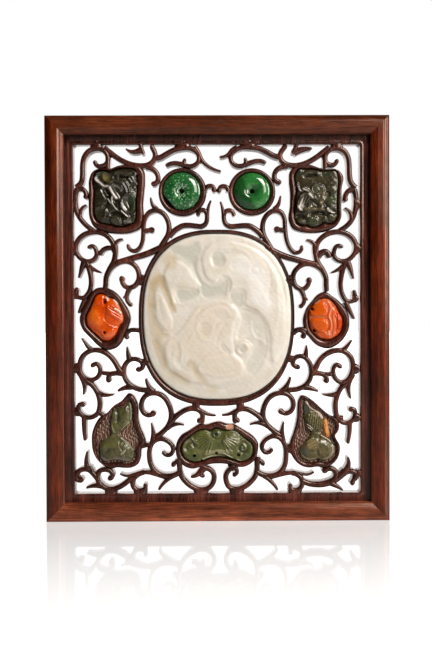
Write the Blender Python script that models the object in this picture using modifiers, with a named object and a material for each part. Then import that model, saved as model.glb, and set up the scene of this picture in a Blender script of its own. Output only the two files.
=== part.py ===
"""Small hardwood table screen: a moulded frame round an openwork panel of scrolls, with jade and
hardstone plaques let into rings of the carving.

Blender 4.5, metres, +Z up. The screen stands on the underside of its bottom rail. X runs across,
the show side faces -Y, and the origin is the centre of the underside. Places on the panel are given
in millimetres: x from the centre line, z from the underside, and "depth" back from the front face.
"""
import math

import bpy
import bmesh
from mathutils import Vector

MM = 0.001

# Driving sizes, in millimetres
WIDTH = 240.0
HEIGHT = 283.0
FRAME_DEPTH = 26.0
RAIL_WIDTH = 13.3
PANEL_DEPTH = 6.5
PANEL_THICKNESS = 11.0
GAP = 0.3

PANEL_BACK = PANEL_DEPTH + PANEL_THICKNESS
TONGUE = 3.7
RING_DRAFT = 0.9
POCKET_FLOOR = 12.4
STONE_BACK = POCKET_FLOOR - GAP

# The opening of the plain border that carries the tendrils
OPENING_LEFT = -100.6
OPENING_RIGHT = 100.2
OPENING_BOTTOM = 18.7
OPENING_TOP = 263.4
OPENING_CORNER = 2.0

# How finely the tendrils and rings are faceted
TURN_STEP = math.radians(72.0)
LONGEST_STEP = 22.0
SAGITTA = 0.45
RING_SAGITTA = 0.2
STONE_SAGITTA = 0.25
JADE_STEPS = 40
DISC_STEPS = 22
FLAT_ANGLE = math.radians(2.0)
KEEP_SHARE = 0.8

# The front of a tendril as a share of its width at the back
FRONT_SHARE = 0.76

# Tendrils of the left half: (points, width at the start, width at the end, bulb radius).
# A tendril without a bulb whose end is much narrower is a thorn or leaf.
TENDRILS = {
    "corner_loop": ([(-99, 233.8), (-95.4, 237), (-94.3, 243), (-94.2, 249), (-93, 254.8),
        (-89.5, 259.3), (-84, 260.9), (-78.9, 259), (-76.5, 254.5), (-77.5, 250.3), (-80.5, 248.6),
        (-83.8, 248.8), (-85.3, 250.8)], 4, 3.4, 1.7),
    "loop_foot": ([(-76.5, 254.5), (-76.6, 250), (-76.8, 246)], 3.7, 3.6, 0),
    "top_wave": ([(-79, 261.5), (-75, 258.3), (-70.2, 254.6), (-65, 251.6), (-59.5, 249.6),
        (-53, 248.8), (-48, 249.6), (-44.6, 252.2), (-43.3, 256), (-44.5, 260), (-46.5, 262.8)], 4, 3.8, 0),
    "top_leaf": ([(-52.5, 260.8), (-56.5, 258.7), (-60.3, 258.6), (-63.8, 260.5)], 4.7, 1.2, 0),
    "top_leaf_bud": ([(-54.2, 265), (-52.6, 260), (-51.9, 258.1)], 3.5, 2.8, 1.6),
    "shoulder_hook": ([(-50, 248), (-46.5, 247.2), (-43.2, 244.8), (-41.5, 241.5), (-41.8, 238),
        (-44.2, 236.1)], 4, 3.6, 2.1),
    "edge_hook": ([(-98, 233), (-94.8, 232.8), (-92.3, 230.5), (-92, 227.3)], 3.9, 3.4, 1.9),
    "edge_bow": ([(-98, 233), (-99.3, 228.5), (-99.3, 222), (-97.6, 215), (-94, 209.5),
        (-89.5, 205.3), (-86, 203)], 3.9, 3.8, 0),
    "edge_leaf": ([(-96.5, 213), (-95.8, 217), (-94.2, 219.7), (-91.3, 221.3)], 3.7, 1.2, 0),
    "top_arch": ([(-43.3, 254), (-40, 254.6), (-35, 257.3), (-30, 259.9), (-25, 261), (-20, 261.2),
        (-15.6, 259.3), (-12.9, 255.8), (-13.2, 251.6), (-16.3, 248.9), (-20, 248.4),
        (-22.8, 249.5), (-22.8, 252.3)], 4, 3.2, 1.4),
    "top_tail": ([(-15.8, 262), (-12.9, 257.5), (-10.4, 252.3), (-6.4, 248.4), (-2, 246),
        (2.8, 244.6)], 3.8, 1.6, 0),
    "disc_leaf": ([(-22.5, 249), (-26, 250), (-29.5, 250.5), (-33, 250), (-36, 248.3)], 3.9, 2.8, 0),
    "disc_hook": ([(-8.5, 230.5), (-7.3, 233.8), (-4.8, 234.6), (-2.6, 233.8), (-2.2, 231.8)], 3.7, 3, 1.9),
    "brow_wave": ([(-34, 199), (-31.5, 202), (-28, 204.8), (-24, 206.8), (-20, 207.1),
        (-15, 206.6), (-11, 206.4), (-8.3, 208), (-7.2, 211.5), (-7.4, 215), (-9, 217.5),
        (-11.5, 217.6), (-13.4, 215)], 4.3, 3.2, 1.7),
    "brow_thorn": ([(-7.2, 211), (-6.8, 216), (-6, 220.3), (-4.3, 224.3)], 3.5, 1.4, 0),
    "shield_scroll": ([(-41.5, 189), (-38, 194.8), (-34.6, 200.5), (-33.8, 206), (-35, 211),
        (-38, 215.4), (-42.5, 217.6), (-47, 216.6), (-50.6, 212), (-51.7, 206), (-52, 200),
        (-52.6, 195.5), (-54.7, 191.2), (-58, 189.2), (-61, 190), (-62.5, 192.7)], 4.2, 3, 1.3),
    "shield_bud": ([(-51.5, 203), (-48.5, 203.5), (-46.1, 203.8)], 3.7, 3.4, 2.3),
    "shield_thorn": ([(-42, 218.3), (-44.8, 220.6), (-46, 223.3), (-46.4, 226.5)], 3.9, 1.2, 0),
    "side_scroll": ([(-72.2, 188), (-73.2, 194.5), (-76.7, 199.3), (-82.5, 202.3), (-89, 202.3),
        (-95, 199.7), (-98.6, 195), (-99.2, 190), (-96.8, 185), (-92.5, 182.2), (-88, 182.5),
        (-85, 185.5), (-85, 189.5), (-87.3, 192.6), (-89.6, 192)], 4.1, 3.2, 1.5),
    "side_hook": ([(-73.3, 191), (-77.3, 191.3), (-80.5, 189.7), (-81.9, 187.8)], 3.7, 3.4, 1.9),
    "side_leaf": ([(-71.8, 191), (-71.3, 194.6), (-69.2, 196.6), (-66, 197.2)], 3.7, 1.4, 0),
    "side_stem": ([(-71.8, 194), (-71.6, 187.5), (-72.7, 182), (-75.7, 176.5), (-78, 171),
        (-78.5, 165.5), (-79, 161.5)], 4, 3.9, 0),
    "cheek_band": ([(-72, 180.5), (-68, 181.8), (-63, 183.3), (-57.5, 184.8), (-52, 186.3),
        (-46, 188.6), (-40.5, 191), (-35, 193)], 4.1, 5, 0),
    "cheek_scroll": ([(-77.5, 172.5), (-75.2, 176.8), (-70.5, 180.5), (-64, 182), (-58.3, 179.3),
        (-55.3, 174), (-55.6, 168.5), (-59, 164.3), (-63, 163.5), (-66.2, 166), (-67, 169.5)], 4, 3.6, 2.2),
    "cheek_foot": ([(-61.5, 163), (-63.3, 159.5), (-63.8, 156.5), (-62.8, 153.3),
        (-61.2, 151.6)], 3.7, 3, 1.7),
    "cheek_spur": ([(-62.8, 159), (-66.2, 156)], 3.1, 1.2, 0),
    "side_drop": ([(-91.8, 181.5), (-90.2, 177), (-88.8, 171), (-88.8, 165), (-90.8, 159.5),
        (-94, 156.6), (-98, 157.2), (-99.3, 160), (-98.7, 162.4)], 4, 3, 1.5),
    "drop_thorn": ([(-93.5, 181.5), (-95, 177.5), (-96, 174), (-97.3, 170.3)], 4.5, 1.2, 0),
    "drop_spur": ([(-90.5, 178.5), (-87, 176.5), (-84, 175), (-81.2, 174.1)], 3.7, 1.2, 0),
    "ring_thorn": ([(-92.5, 156), (-95.4, 150.5), (-97.4, 145.6)], 3.7, 1.8, 0),
    "waist_hook": ([(-54, 133), (-58, 133.7), (-62, 133.2), (-64, 130.8), (-63.8, 128.7)], 3.5, 3.2, 1.8),
    "low_scroll": ([(-66.3, 103), (-69.3, 106), (-72, 110.8), (-75.3, 115), (-80, 118.3),
        (-86, 119.7), (-91.5, 118.3), (-95.5, 114.5), (-97, 109), (-96.2, 103.7), (-93, 100),
        (-88.8, 98.8), (-84.8, 100.5), (-82.7, 104.5), (-83.3, 108.3), (-85.6, 110.2),
        (-87.6, 109.2)], 4.1, 3.2, 1.8),
    "low_thorn": ([(-88, 119.5), (-90.8, 121.8), (-93, 124.8), (-95.4, 128.3)], 3.7, 1.2, 0),
    "low_drop": ([(-97.5, 104), (-92.5, 98), (-88.5, 95.3), (-85.3, 91), (-83.3, 85.5),
        (-83.2, 79.5), (-85, 74.8), (-89, 72.5), (-94, 73), (-97, 75.6), (-98, 79), (-97, 81.6),
        (-94.9, 81.6)], 4.1, 3.4, 2),
    "low_thorn_down": ([(-95.5, 101), (-93.9, 96), (-93.7, 92), (-94.4, 88.4)], 4.5, 1.2, 0),
    "low_spur": ([(-84.5, 90), (-81, 88.4), (-77, 88), (-72.8, 88.7)], 4.1, 1.2, 0),
    "low_tail": ([(-94, 74), (-94.1, 69), (-94, 64), (-93.6, 59.5), (-93.2, 56.2)], 3.8, 2.6, 0),
    "gourd_link": ([(-84, 76), (-80, 73.5)], 3.7, 3.6, 0),
    "chin_scroll": ([(-44, 90.3), (-50, 91.2), (-56, 92.2), (-61.5, 95), (-65, 99.5), (-66.2, 105),
        (-64.8, 110), (-61, 113), (-56.5, 113), (-53.2, 110.5), (-53.2, 107), (-55.6, 106)], 4, 3.4, 2),
    "chin_thorn": ([(-62, 112.5), (-63, 117), (-63.6, 122.3)], 4.5, 1, 0),
    "chin_spur": ([(-60.5, 93.8), (-65.5, 93), (-70.3, 90.9)], 4.7, 1.8, 0),
    "chin_hook": ([(-67, 102.7), (-72.5, 103.3), (-76.3, 102), (-76.7, 99)], 3.9, 3.6, 2.2),
    "chin_link": ([(-75.5, 103), (-81.5, 103.6)], 3.3, 3.2, 0),
    "lyre_scroll": ([(-44, 58), (-39.5, 61.3), (-35.2, 66), (-33.3, 70.5), (-33, 76),
        (-34.6, 81.5), (-37.8, 86.3), (-42.5, 89), (-47.5, 89), (-51.8, 86.5), (-53.7, 82.5),
        (-53.5, 78), (-51.3, 74.8), (-48, 73.8), (-45.6, 75)], 4.1, 3.6, 2.3),
    "lyre_thorn": ([(-45, 90), (-48.3, 93.7), (-50.5, 99.8)], 4.5, 1.6, 0),
    "lyre_spur": ([(-36, 64.3), (-31.5, 66.8), (-27.5, 67.5), (-23.6, 66.7)], 3.9, 1.2, 0),
    "canopy": ([(-33.5, 68), (-30.8, 71.5), (-27, 74.8), (-22.5, 77.4), (-17.5, 78.3),
        (-13.5, 77.2), (-11.1, 74.5), (-11, 70.5), (-11.3, 67.5)], 4.1, 3.8, 0),
    "canopy_bud": ([(-11, 71.5), (-13.1, 69.9)], 3.5, 3, 1.9),
    "canopy_tail": ([(-15.5, 78), (-11.5, 76.3), (-7, 74.3), (-1.3, 73.5)], 3.7, 1.3, 0),
    "canopy_neck": ([(-15.5, 77.5), (-15.5, 84)], 5.9, 5.8, 0),
    "bell_scroll": ([(-28, 32.8), (-33, 31), (-38, 31), (-43, 33.2), (-46.8, 37.8), (-48.4, 44.5),
        (-47.8, 51), (-44.8, 55.5), (-40.3, 57), (-35.5, 55.4), (-32.2, 52), (-31.8, 48.3),
        (-34, 45.8), (-36.6, 45.9), (-38.2, 47.2)], 4.1, 3.2, 1.6),
    "bell_thorn": ([(-46.2, 54), (-45.6, 59), (-45.8, 63.5), (-46.9, 68.5)], 4.5, 1.2, 0),
    "gourd_tie": ([(-56, 51.3), (-48, 53.3)], 3.4, 3.4, 0),
    "foot_scroll": ([(-28.5, 43.5), (-27.4, 39.5), (-27, 35), (-25.8, 30.8), (-22.6, 26.6),
        (-18, 23), (-12, 21.1), (-6.5, 22.5), (-3.4, 26.5), (-2.9, 31), (-5, 34.8), (-9, 36.6),
        (-12, 38)], 4.1, 3.8, 0),
    "foot_hook": ([(-28, 41), (-29.8, 40.6), (-31.3, 39.2)], 3.3, 3, 1.9),
    "foot_leaf": ([(-9, 37.3), (-12.5, 33.8), (-15.7, 31.2), (-19.4, 30.5)], 5.5, 2, 0),
    "foot_bud": ([(-11.5, 34), (-12.3, 31.5), (-10.7, 30.9)], 3.1, 2.4, 1.4),
    "foot_thorn": ([(-26.5, 33.5), (-31, 31.3), (-35.5, 28.5), (-39, 25.2), (-41.8, 21.3)], 4.1, 2, 0),
    "foot_wave": ([(-37, 30.3), (-43.5, 32.3), (-49, 33.6), (-54, 33.5), (-60, 32), (-64.5, 31.3),
        (-69, 33)], 4.1, 1.4, 0),
    "foot_curl": ([(-52, 33.6), (-57, 31.5), (-59.9, 28), (-59.9, 24), (-57.3, 21.2),
        (-53.9, 20.9), (-51.5, 22.3), (-51.2, 24.4)], 4, 3.4, 1.7),
    "corner_scroll": ([(-60.5, 30.5), (-65.5, 25.8), (-70.5, 22.9), (-75.5, 21.7), (-80.3, 23.2),
        (-84, 27), (-85, 31), (-83.3, 34.6), (-79.5, 35.7), (-75.8, 34.5), (-74.2, 32),
        (-75.6, 29.8)], 4.1, 3.6, 2.1),
    "corner_spur": ([(-81, 24), (-87, 24.4), (-92.7, 22.9)], 4.7, 1.6, 0),
    "corner_curl": ([(-84.5, 28.5), (-87.5, 32.5), (-91, 35.6), (-95, 35.9), (-98.5, 34),
        (-99.8, 30.8), (-98.8, 28.4), (-96.6, 28.6)], 4.1, 3.6, 2.3),
    "corner_thorn": ([(-91, 35), (-92.6, 40), (-92.5, 44.5), (-91.6, 49)], 4.5, 1.2, 0),
    "corner_prop": ([(-88, 34.5), (-90.5, 38.5)], 2.9, 2.8, 0),
    "loop_pad": ([(-84.5, 261), (-84.5, 266)], 9, 10.5, 0),
    "arch_pad": ([(-24, 260.5), (-23.5, 266)], 13, 17, 0),
    "foot_pad_a": ([(-75.5, 22), (-75.5, 16)], 9, 10, 0),
    "foot_pad_b": ([(-54.8, 21), (-54.8, 16)], 10.5, 11, 0),
    "foot_pad_c": ([(-12, 21.5), (-12, 16)], 11.5, 13, 0),
    "low_pad": ([(-97, 107), (-102, 107)], 8, 9, 0),
    "drop_pad": ([(-97.5, 76.5), (-102, 76.5)], 7, 8, 0),
    "corner_pad": ([(-98.5, 31), (-102, 31)], 7, 8, 0),
    "side_pad": ([(-98.5, 190.5), (-102, 190.5)], 12, 13, 0),
    "bow_pad": ([(-98.5, 224), (-102, 224)], 18, 19, 0),
    "drop_tie": ([(-97, 158.5), (-102, 158.5)], 6, 7, 0),
    "cheek_tie": ([(-55.3, 169), (-50, 169)], 8, 9, 0),
    "chin_tie": ([(-53.3, 111), (-48, 111.5)], 5, 6, 0),
}
# Tendrils that the right half has in another form, in mirrored places
RIGHT_ONLY = {
    "top_tail": ([(-14, 261.5), (-10.5, 259.6), (-7.8, 256.6), (-5.2, 255.1), (-1.6, 254.7)], 3.5, 1.6, 0),
    "top_leaf": ([(-53.5, 257.8), (-57.5, 259.3), (-62, 260.2), (-66.5, 260.3)], 5.7, 2, 0),
    "foot_bud": ([(-7.5, 36.8), (-10.5, 37.2), (-13, 35.2), (-13.1, 32.8), (-11.6, 31.6)], 3.6, 3, 1.6),
    "side_hook": ([(-70.5, 184.5), (-73.5, 187.6), (-76.5, 188.2), (-78.2, 186)], 5.5, 3.9, 2.3),
    "waist_hook": ([(-52.8, 130.3), (-55.6, 133), (-59, 133.6), (-62.5, 132.6)], 4.1, 4, 0),
    "waist_curl": ([(-58, 133), (-60.6, 131.6), (-60.4, 129)], 3.5, 3, 2.1),
    "gourd_link": ([(-88, 70.5), (-83.5, 71)], 5, 4.9, 0),
    "gourd_tie": ([(-53, 50), (-48.5, 50)], 9.5, 9.5, 0),
    "corner_band": ([(-89.5, 34), (-86, 30.5), (-81.7, 27.3), (-76.5, 25.2), (-69.5, 24.4),
        (-63, 25.4), (-58.4, 27.8)], 5.7, 4, 0),
    "corner_thorn": ([(-88, 32), (-91.3, 36.5), (-92, 40), (-91.2, 44)], 5.5, 1.4, 0),
    "corner_scroll": ([(-79.5, 26.3), (-82.6, 29.3), (-82.9, 33), (-80.3, 35.4), (-77.3, 35.4),
        (-75.3, 34.4)], 4.3, 3.8, 2.3),
    "corner_spur": ([(-79, 25.5), (-83.5, 23.2), (-87.8, 20.4)], 4.5, 1.4, 0),
    "corner_curl": ([(-87, 31.2), (-91.5, 33.4), (-96, 33), (-97.6, 30), (-95.5, 27.6),
        (-94.6, 25.6)], 4.5, 3.4, 1.9),
    "corner_bud": ([(-97, 30.5), (-96.6, 29.2)], 3.5, 3.4, 2.3),
    "corner_pad": ([(-98, 32.3), (-102, 32.3)], 5, 6, 0),
}
LEFT_ONLY = ("foot_leaf", "corner_prop", "foot_pad_a")

# How the right half differs from a true mirror: (x, z, move in x, move in z), in mirrored places
NUDGES = {
    "loop_top": (-84.5, 261, 0, -0.6), "loop_side": (-94.6, 245, 1.3, 0),
    "loop_drop": (-76.5, 254, 0.2, 0), "loop_bulb": (-85.2, 250.7, 2.4, 1.2),
    "wave_low": (-57, 248.9, 1, -0.4), "wave_end": (-45.6, 260, -3.4, 0),
    "arch_start": (-43, 254.5, -0.8, 0), "arch_rise": (-31, 259, -0.5, 0.8),
    "arch_side": (-12.9, 254.5, 3.9, 0), "arch_turn": (-15, 260, 2.2, 0.2),
    "arch_foot": (-19, 248.5, 2.6, -0.4), "arch_tail": (-36, 248.5, 3.4, 4),
    "arch_bud": (-22.9, 252.5, 4.1, 0.5), "shoulder": (-42, 244, 1.2, 0.3),
    "shoulder_bulb": (-44.3, 236.2, 0.6, 1), "brow_side": (-7.3, 214, 3.3, 0),
    "brow_thorn": (-4.4, 224, 3.7, -1.8), "brow_low": (-23, 207.2, 0.6, -0.4),
    "brow_start": (-32, 201, 1.2, -1), "disc_leaf": (-13.5, 215.2, 1.2, 0),
    "shield_left": (-51.7, 207, 3.7, 0), "shield_top": (-43.3, 217.6, 1.9, -1.5),
    "shield_right": (-34, 206.5, 2.5, 0), "shield_thorn": (-46.5, 226, 2.7, 1.9),
    "shield_bulb": (-46.3, 204, 6, 1.4), "shield_low": (-52.2, 199, 3.8, 0),
    "shield_hook": (-62.5, 192.9, 4.6, -0.3), "shield_turn": (-58.6, 188.3, 3.8, -1.5),
    "edge_bow": (-98.5, 215, 0.7, 0), "edge_leaf_tip": (-91.5, 221.3, 2, -2.5),
    "edge_leaf": (-96.5, 215, 3.5, -4.6), "side_top": (-85.5, 202.7, 0, -0.4),
    "side_left": (-99, 191.5, 2.8, 0), "side_low": (-91, 182, 2, -0.3),
    "side_bulb": (-89.6, 192.2, 3.9, 1.2), "side_in": (-84.5, 188.5, 2.8, -0.5),
    "side_hook": (-81.9, 188, 4, -2.3), "stem_top": (-73, 187, 2.5, 0),
    "stem_mid": (-78.6, 167.5, 2.5, 0), "stem_low": (-79, 162, 2, -1),
    "leaf_tip": (-66, 197.5, 5, -1.5), "leaf_base": (-72.3, 191.5, 2.6, -0.5),
    "cheek_mid": (-58, 185, 0, -2.8), "cheek_end": (-46, 190.5, 1, -3),
    "cheek_top": (-65.2, 182, 0, -3.7), "cheek_right": (-55.2, 172, 1.7, 0),
    "cheek_bulb": (-67, 169.6, 3.4, -1.3), "cheek_low": (-61.7, 162, 3.2, -1.2),
    "cheek_foot": (-61.3, 151.8, 2.2, -0.8), "cheek_spur": (-65.5, 156, 3, -3),
    "drop_mid": (-88.6, 171.4, 2.2, 0), "drop_low": (-88.5, 162.5, 3, 0),
    "drop_turn": (-95.5, 155.2, 2.3, -5), "drop_bulb": (-98.8, 162.5, 4, -2.7),
    "ring_thorn": (-97.5, 146, 1.2, -5), "drop_thorn": (-97.2, 170.3, 0.5, -1.5),
    "drop_spur": (-81.2, 174.2, 0.2, -1), "waist": (-57, 134.5, 2.5, 0.3),
    "low_top": (-85.5, 119.7, 0, -0.6), "low_left": (-97, 110, 1.5, 0),
    "low_bulb": (-88, 108.8, 2.3, -1.8), "low_right": (-71, 110, 1.2, 0),
    "low_thorn": (-95.3, 128.3, 1.3, -2.3), "chin_top": (-59.5, 113.5, 0.5, 2.2),
    "chin_bulb": (-56, 105.5, -1, 1), "chin_thorn": (-63.6, 122, 1.5, 0),
    "chin_tie": (-51, 111, 0, 2.3), "low_drop": (-83.5, 81, 0.2, 0),
    "low_turn": (-90, 72.5, -0.5, -4.6), "low_bulb2": (-95, 81.5, 1.7, -5.2),
    "thorn_down": (-94.4, 88.4, 0, -3.2), "thorn_down_root": (-95, 99, 3.5, -3.5),
    "low_spur": (-73, 88.6, -2, 0.3), "tail_end": (-93.2, 57, 2, -3), "tail_top": (-94, 73, 3, -6),
    "lyre_left": (-54, 81, 0.5, 0), "lyre_top": (-44.5, 90, 1, -0.9), "lyre_right": (-33, 76, 1.4, 0),
    "lyre_bulb": (-45.5, 75.2, 1.9, 2.7), "lyre_thorn": (-50.2, 99.8, -0.8, 1.5),
    "chin_low": (-58, 94.5, 0, -1.5), "chin_spur": (-70, 91.2, 1, -1.2),
    "chin_hook": (-76.8, 99.2, 0.2, -1.6), "canopy": (-23.5, 76.5, 0, -0.8),
    "canopy_bud": (-12.7, 70.2, -1.5, 0.3), "canopy_leaf": (-23.6, 66.7, 2.7, 0),
    "canopy_root": (-34, 65, 1, 2), "bell_top": (-40, 57.3, 0.5, 2),
    "bell_right": (-31.2, 50, 0.5, 0.8), "bell_bulb": (-38.5, 47.3, 1.2, 2.5),
    "bell_thorn": (-46.8, 68.4, 0, -1), "bell_left": (-48.4, 48.5, 0.4, 0),
    "bell_low": (-37, 31, 0, -0.3), "foot_tip": (-69, 33, 1.8, 0.8), "foot_band": (-50, 33.4, 0, -1.5),
    "foot_wave": (-60.2, 27, 0.8, 0), "disc_hook": (-2.6, 232, 0, 0), "disc_hook_root": (-8, 233, 0, 0),
    "side_pad": (-99, 190.5, 0, 0), "foot_right": (-2.8, 30, -2.9, 0),
    "foot_low": (-13, 21.4, -0.8, 0.3), "foot_left": (-26.7, 34.5, -0.6, 0.2),
}
# How far a nudge is felt, and the pull towards no move away from all of them
REACH = 6.5
CALM = 0.03


# Rings of the carving that hold the plaques: points round the outer edge
RINGS = {
    "upper_left_plaque": [(-90, 231), (-89.6, 240), (-87.5, 244.5), (-82, 247), (-75, 246.8),
        (-69, 249), (-62, 249.5), (-55, 248.8), (-51.3, 245.5), (-50.4, 239), (-51, 230),
        (-51.8, 222), (-51.6, 213), (-53.5, 205.5), (-60, 202), (-70, 201.2), (-79, 202.6),
        (-86, 205.6), (-89.3, 211.5), (-90.2, 221)],
    "upper_right_plaque": [(88, 242.5), (84, 246), (77.5, 246.2), (71.5, 247.2), (66.5, 249),
        (60, 249.2), (55, 248), (51, 244.5), (50.3, 238), (51, 230), (50.9, 221), (50.3, 210),
        (53, 204.5), (58, 202.3), (65.5, 201.3), (73, 201.8), (79.5, 203.7), (84, 206.5),
        (86.8, 211), (87.3, 220), (87.5, 232)],
    "carnelian_left": [(-80, 163.8), (-74, 162), (-69.3, 158.3), (-65, 152), (-62, 147),
        (-60.9, 141.5), (-62.5, 136), (-65, 130.5), (-67.5, 125), (-71.5, 121), (-78, 119.7),
        (-83.5, 122.3), (-89.2, 128), (-94.8, 134.3), (-96.9, 140.5), (-95.9, 146.5),
        (-93, 153), (-89, 159.7), (-85, 163.2)],
    "carnelian_right": [(75, 160.2), (81, 157), (86.5, 152.5), (91, 147), (92.8, 140.5),
        (92.2, 133.5), (89.5, 128), (85, 123.3), (78, 120.2), (71, 121.8), (65.5, 126.8),
        (61.3, 133), (59.8, 140), (61.8, 147.5), (66, 153.5), (70, 158)],
    "lower_left_plaque": [(-63, 89.2), (-59.3, 87.7), (-57, 84), (-56, 78), (-55.7, 71.5),
        (-54.3, 65.5), (-52, 60), (-50.8, 54.5), (-53.8, 49.5), (-54.2, 44.5), (-56, 39.7),
        (-60.5, 37), (-66, 36.6), (-70.5, 37), (-75.5, 36.3), (-80.8, 38.7), (-85.2, 43),
        (-88, 48.5), (-88.9, 55), (-88.6, 61), (-86.7, 67), (-83.5, 72), (-78, 75.7),
        (-73.5, 80.5), (-68, 83.9), (-65, 87.2)],
    "lower_right_plaque": [(58.5, 87.2), (62, 86.8), (65.5, 84.7), (70, 81), (74.5, 76.7),
        (79, 73.3), (83.5, 71), (85.6, 66), (84.5, 61.5), (82.7, 59), (83.7, 56), (85.7, 52.5),
        (85.8, 47), (83.5, 41.5), (78.5, 37.3), (74, 36), (70, 36.8), (65.5, 36.2), (61, 36.7),
        (56.5, 39), (52.7, 43.5), (50.8, 48.5), (50.8, 55), (52.8, 61), (54.5, 67), (55.5, 73),
        (56, 79.5), (56.7, 84.5)],
    "cloud_plaque": [(-29.8, 51), (-28.8, 55.5), (-25.9, 59.7), (-21, 62.7), (-17.3, 65.2),
        (-13, 67.5), (-8, 67.2), (-3.5, 68.5), (1, 69.2), (6, 67.7), (11, 67.2), (16, 64.7),
        (20, 62.2), (25, 58.7), (28.2, 54), (28.2, 48.5), (26.7, 43), (22.5, 38.8),
        (17.5, 36.8), (12, 37.5), (6, 39), (0, 39.4), (-6.8, 38.8), (-12, 37.3), (-18.2, 35.8),
        (-24, 37.8), (-28.4, 42.3), (-29.7, 46.5)],
}

# Stone outlines, and the wider recesses where a stone does not fill its ring
STONES = {
    "upper_left_plaque": [(-86, 240), (-84.5, 244.1), (-80, 245.3), (-75, 244.6), (-70, 246.2),
        (-62, 246.7), (-57.5, 245.3), (-56, 241), (-56, 232), (-56.8, 222), (-57, 214),
        (-58.5, 209), (-62, 207.4), (-66, 206.2), (-70, 206.2), (-74, 207.4), (-78, 208.2),
        (-82, 209.3), (-85.3, 212.5), (-86.3, 220), (-85.8, 230)],
    "upper_right_plaque": [(55, 242), (57, 245.6), (62, 245.8), (68, 245.6), (73, 244.6),
        (79, 244.6), (83, 244.6), (84.6, 240), (84.3, 230), (84, 220), (84.2, 214),
        (82.5, 209.5), (78, 208.1), (74.5, 208.6), (71, 206.4), (66, 205.6), (62.5, 207),
        (59, 206.9), (56, 209), (54.8, 213), (54.8, 222), (56.2, 232)],
    "carnelian_left": [(-84, 158.6), (-80, 158.8), (-77, 156.8), (-72.5, 155.3), (-69.5, 152.5),
        (-67.5, 147.8), (-65.9, 143), (-66.3, 139.8), (-68.8, 136.5), (-70.7, 132),
        (-73.5, 128.3), (-76, 126.4), (-80, 126.4), (-84, 129.8), (-88.5, 133.8),
        (-91.7, 138), (-91.6, 144), (-89.3, 148.5), (-87.3, 153.5)],
    "carnelian_right": [(72.5, 155), (77, 155.2), (82, 151.3), (85, 146), (87.4, 142),
        (87.5, 136), (85.5, 131), (81.5, 127.8), (77, 126.5), (72, 127.4), (68, 130.6),
        (65, 134.5), (64, 140), (64.2, 146), (67, 150.8), (70, 153.6)],
    "lower_left_plaque": [(-61.3, 82.4), (-60.5, 79), (-60.3, 74.5), (-60.8, 70), (-63.5, 66.3),
        (-67.8, 63), (-68.8, 60.5), (-66.5, 57.3), (-63, 53.8), (-60, 50), (-58.6, 46.5),
        (-59.8, 43), (-62.5, 41.3), (-66, 41.2), (-70, 42.1), (-75, 42), (-79, 41.3),
        (-82.3, 43.3), (-83.4, 48), (-83, 54), (-80.5, 57), (-76.5, 58.5), (-75.2, 61.5),
        (-75.5, 66), (-74.9, 71.5), (-74, 77), (-70, 78.8), (-65.5, 79.6)],
    "lower_right_plaque": [(61.8, 83.6), (64, 80.2), (67.5, 77.6), (71.5, 75.5), (74.2, 71.5),
        (74, 66.5), (72.6, 62.5), (74.2, 59.4), (78.5, 56.5), (81.5, 52.5), (82.2, 48),
        (80.3, 44.3), (77.3, 42.1), (73, 41.4), (69.5, 42.3), (66, 41.4), (61.5, 41.9),
        (58.3, 44.2), (57.2, 48), (58.8, 52), (61.8, 55.2), (64.6, 58.5), (65.4, 61.5),
        (62.8, 65.2), (60.9, 69.5), (60.5, 75), (60.5, 80)],
    "cloud_plaque": [(-25.9, 50), (-24.7, 53.5), (-21.5, 57), (-17, 60.4), (-12.5, 62.9),
        (-8.5, 63.3), (-5, 62.4), (-2.8, 63.7), (0, 64), (2.8, 62.8), (8, 62.7), (12.5, 62.2),
        (16.3, 59.3), (20.5, 56), (23.6, 53.3), (24.7, 49.8), (24.1, 46), (21, 42.4),
        (16.5, 41), (12, 42.1), (7, 43.8), (0, 44.6), (-6, 43.7), (-11, 41.5), (-15.5, 40.8),
        (-21, 42.2), (-24.7, 45.6)],
}
RECESSES = {
    "lower_left_plaque": [(-62.3, 84.5), (-59.8, 80), (-59.3, 72), (-58.3, 66), (-56, 60.5),
        (-55.3, 56), (-57.3, 51), (-57.6, 46), (-58.8, 42), (-61.5, 40.3), (-66, 40.1),
        (-70, 41), (-75, 40.9), (-79, 40.2), (-83, 42), (-84.8, 47), (-85.5, 53), (-85.8, 60),
        (-83.3, 66.5), (-80, 71), (-77, 75), (-74.5, 78), (-70, 79.8), (-65.8, 81)],
    "lower_right_plaque": [(60.2, 84.9), (63.8, 83.2), (67.8, 80.2), (72, 78), (75.5, 75),
        (78, 72), (81, 70), (82.8, 66), (81.8, 61.5), (79.8, 59.5), (82, 56), (83.3, 51.5),
        (83, 46), (80.3, 42), (76, 40.3), (70, 40.9), (66, 40.1), (61, 40.5), (57.2, 43),
        (55.2, 48), (54.2, 53), (54.5, 58), (55.8, 62), (57.3, 66), (58.3, 72), (58.5, 78)],
}

# Jade plaque and the two pierced discs
JADE_CENTRE = (-0.2, 142.85)
JADE_HALF = (51.9, 58.1)
JADE_RING_CENTRE = (-0.7, 142.0)
JADE_RING_HALF = (54.9, 62.1)
JADE_SQUARENESS = 2.45
DISCS = {"disc_left": (-24.8, 230.9, 13.1, 17.0, (-24.3, 230.3)),
         "disc_right": (24.4, 230.7, 12.9, 16.7, (24.3, 230.3))}
DISC_HOLE = 1.7

# Chord ground off a disc's rim: its direction from the middle, and how far out it lies
DISC_FLATS = {"disc_left": (math.radians(220.4), 11.3)}

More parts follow.
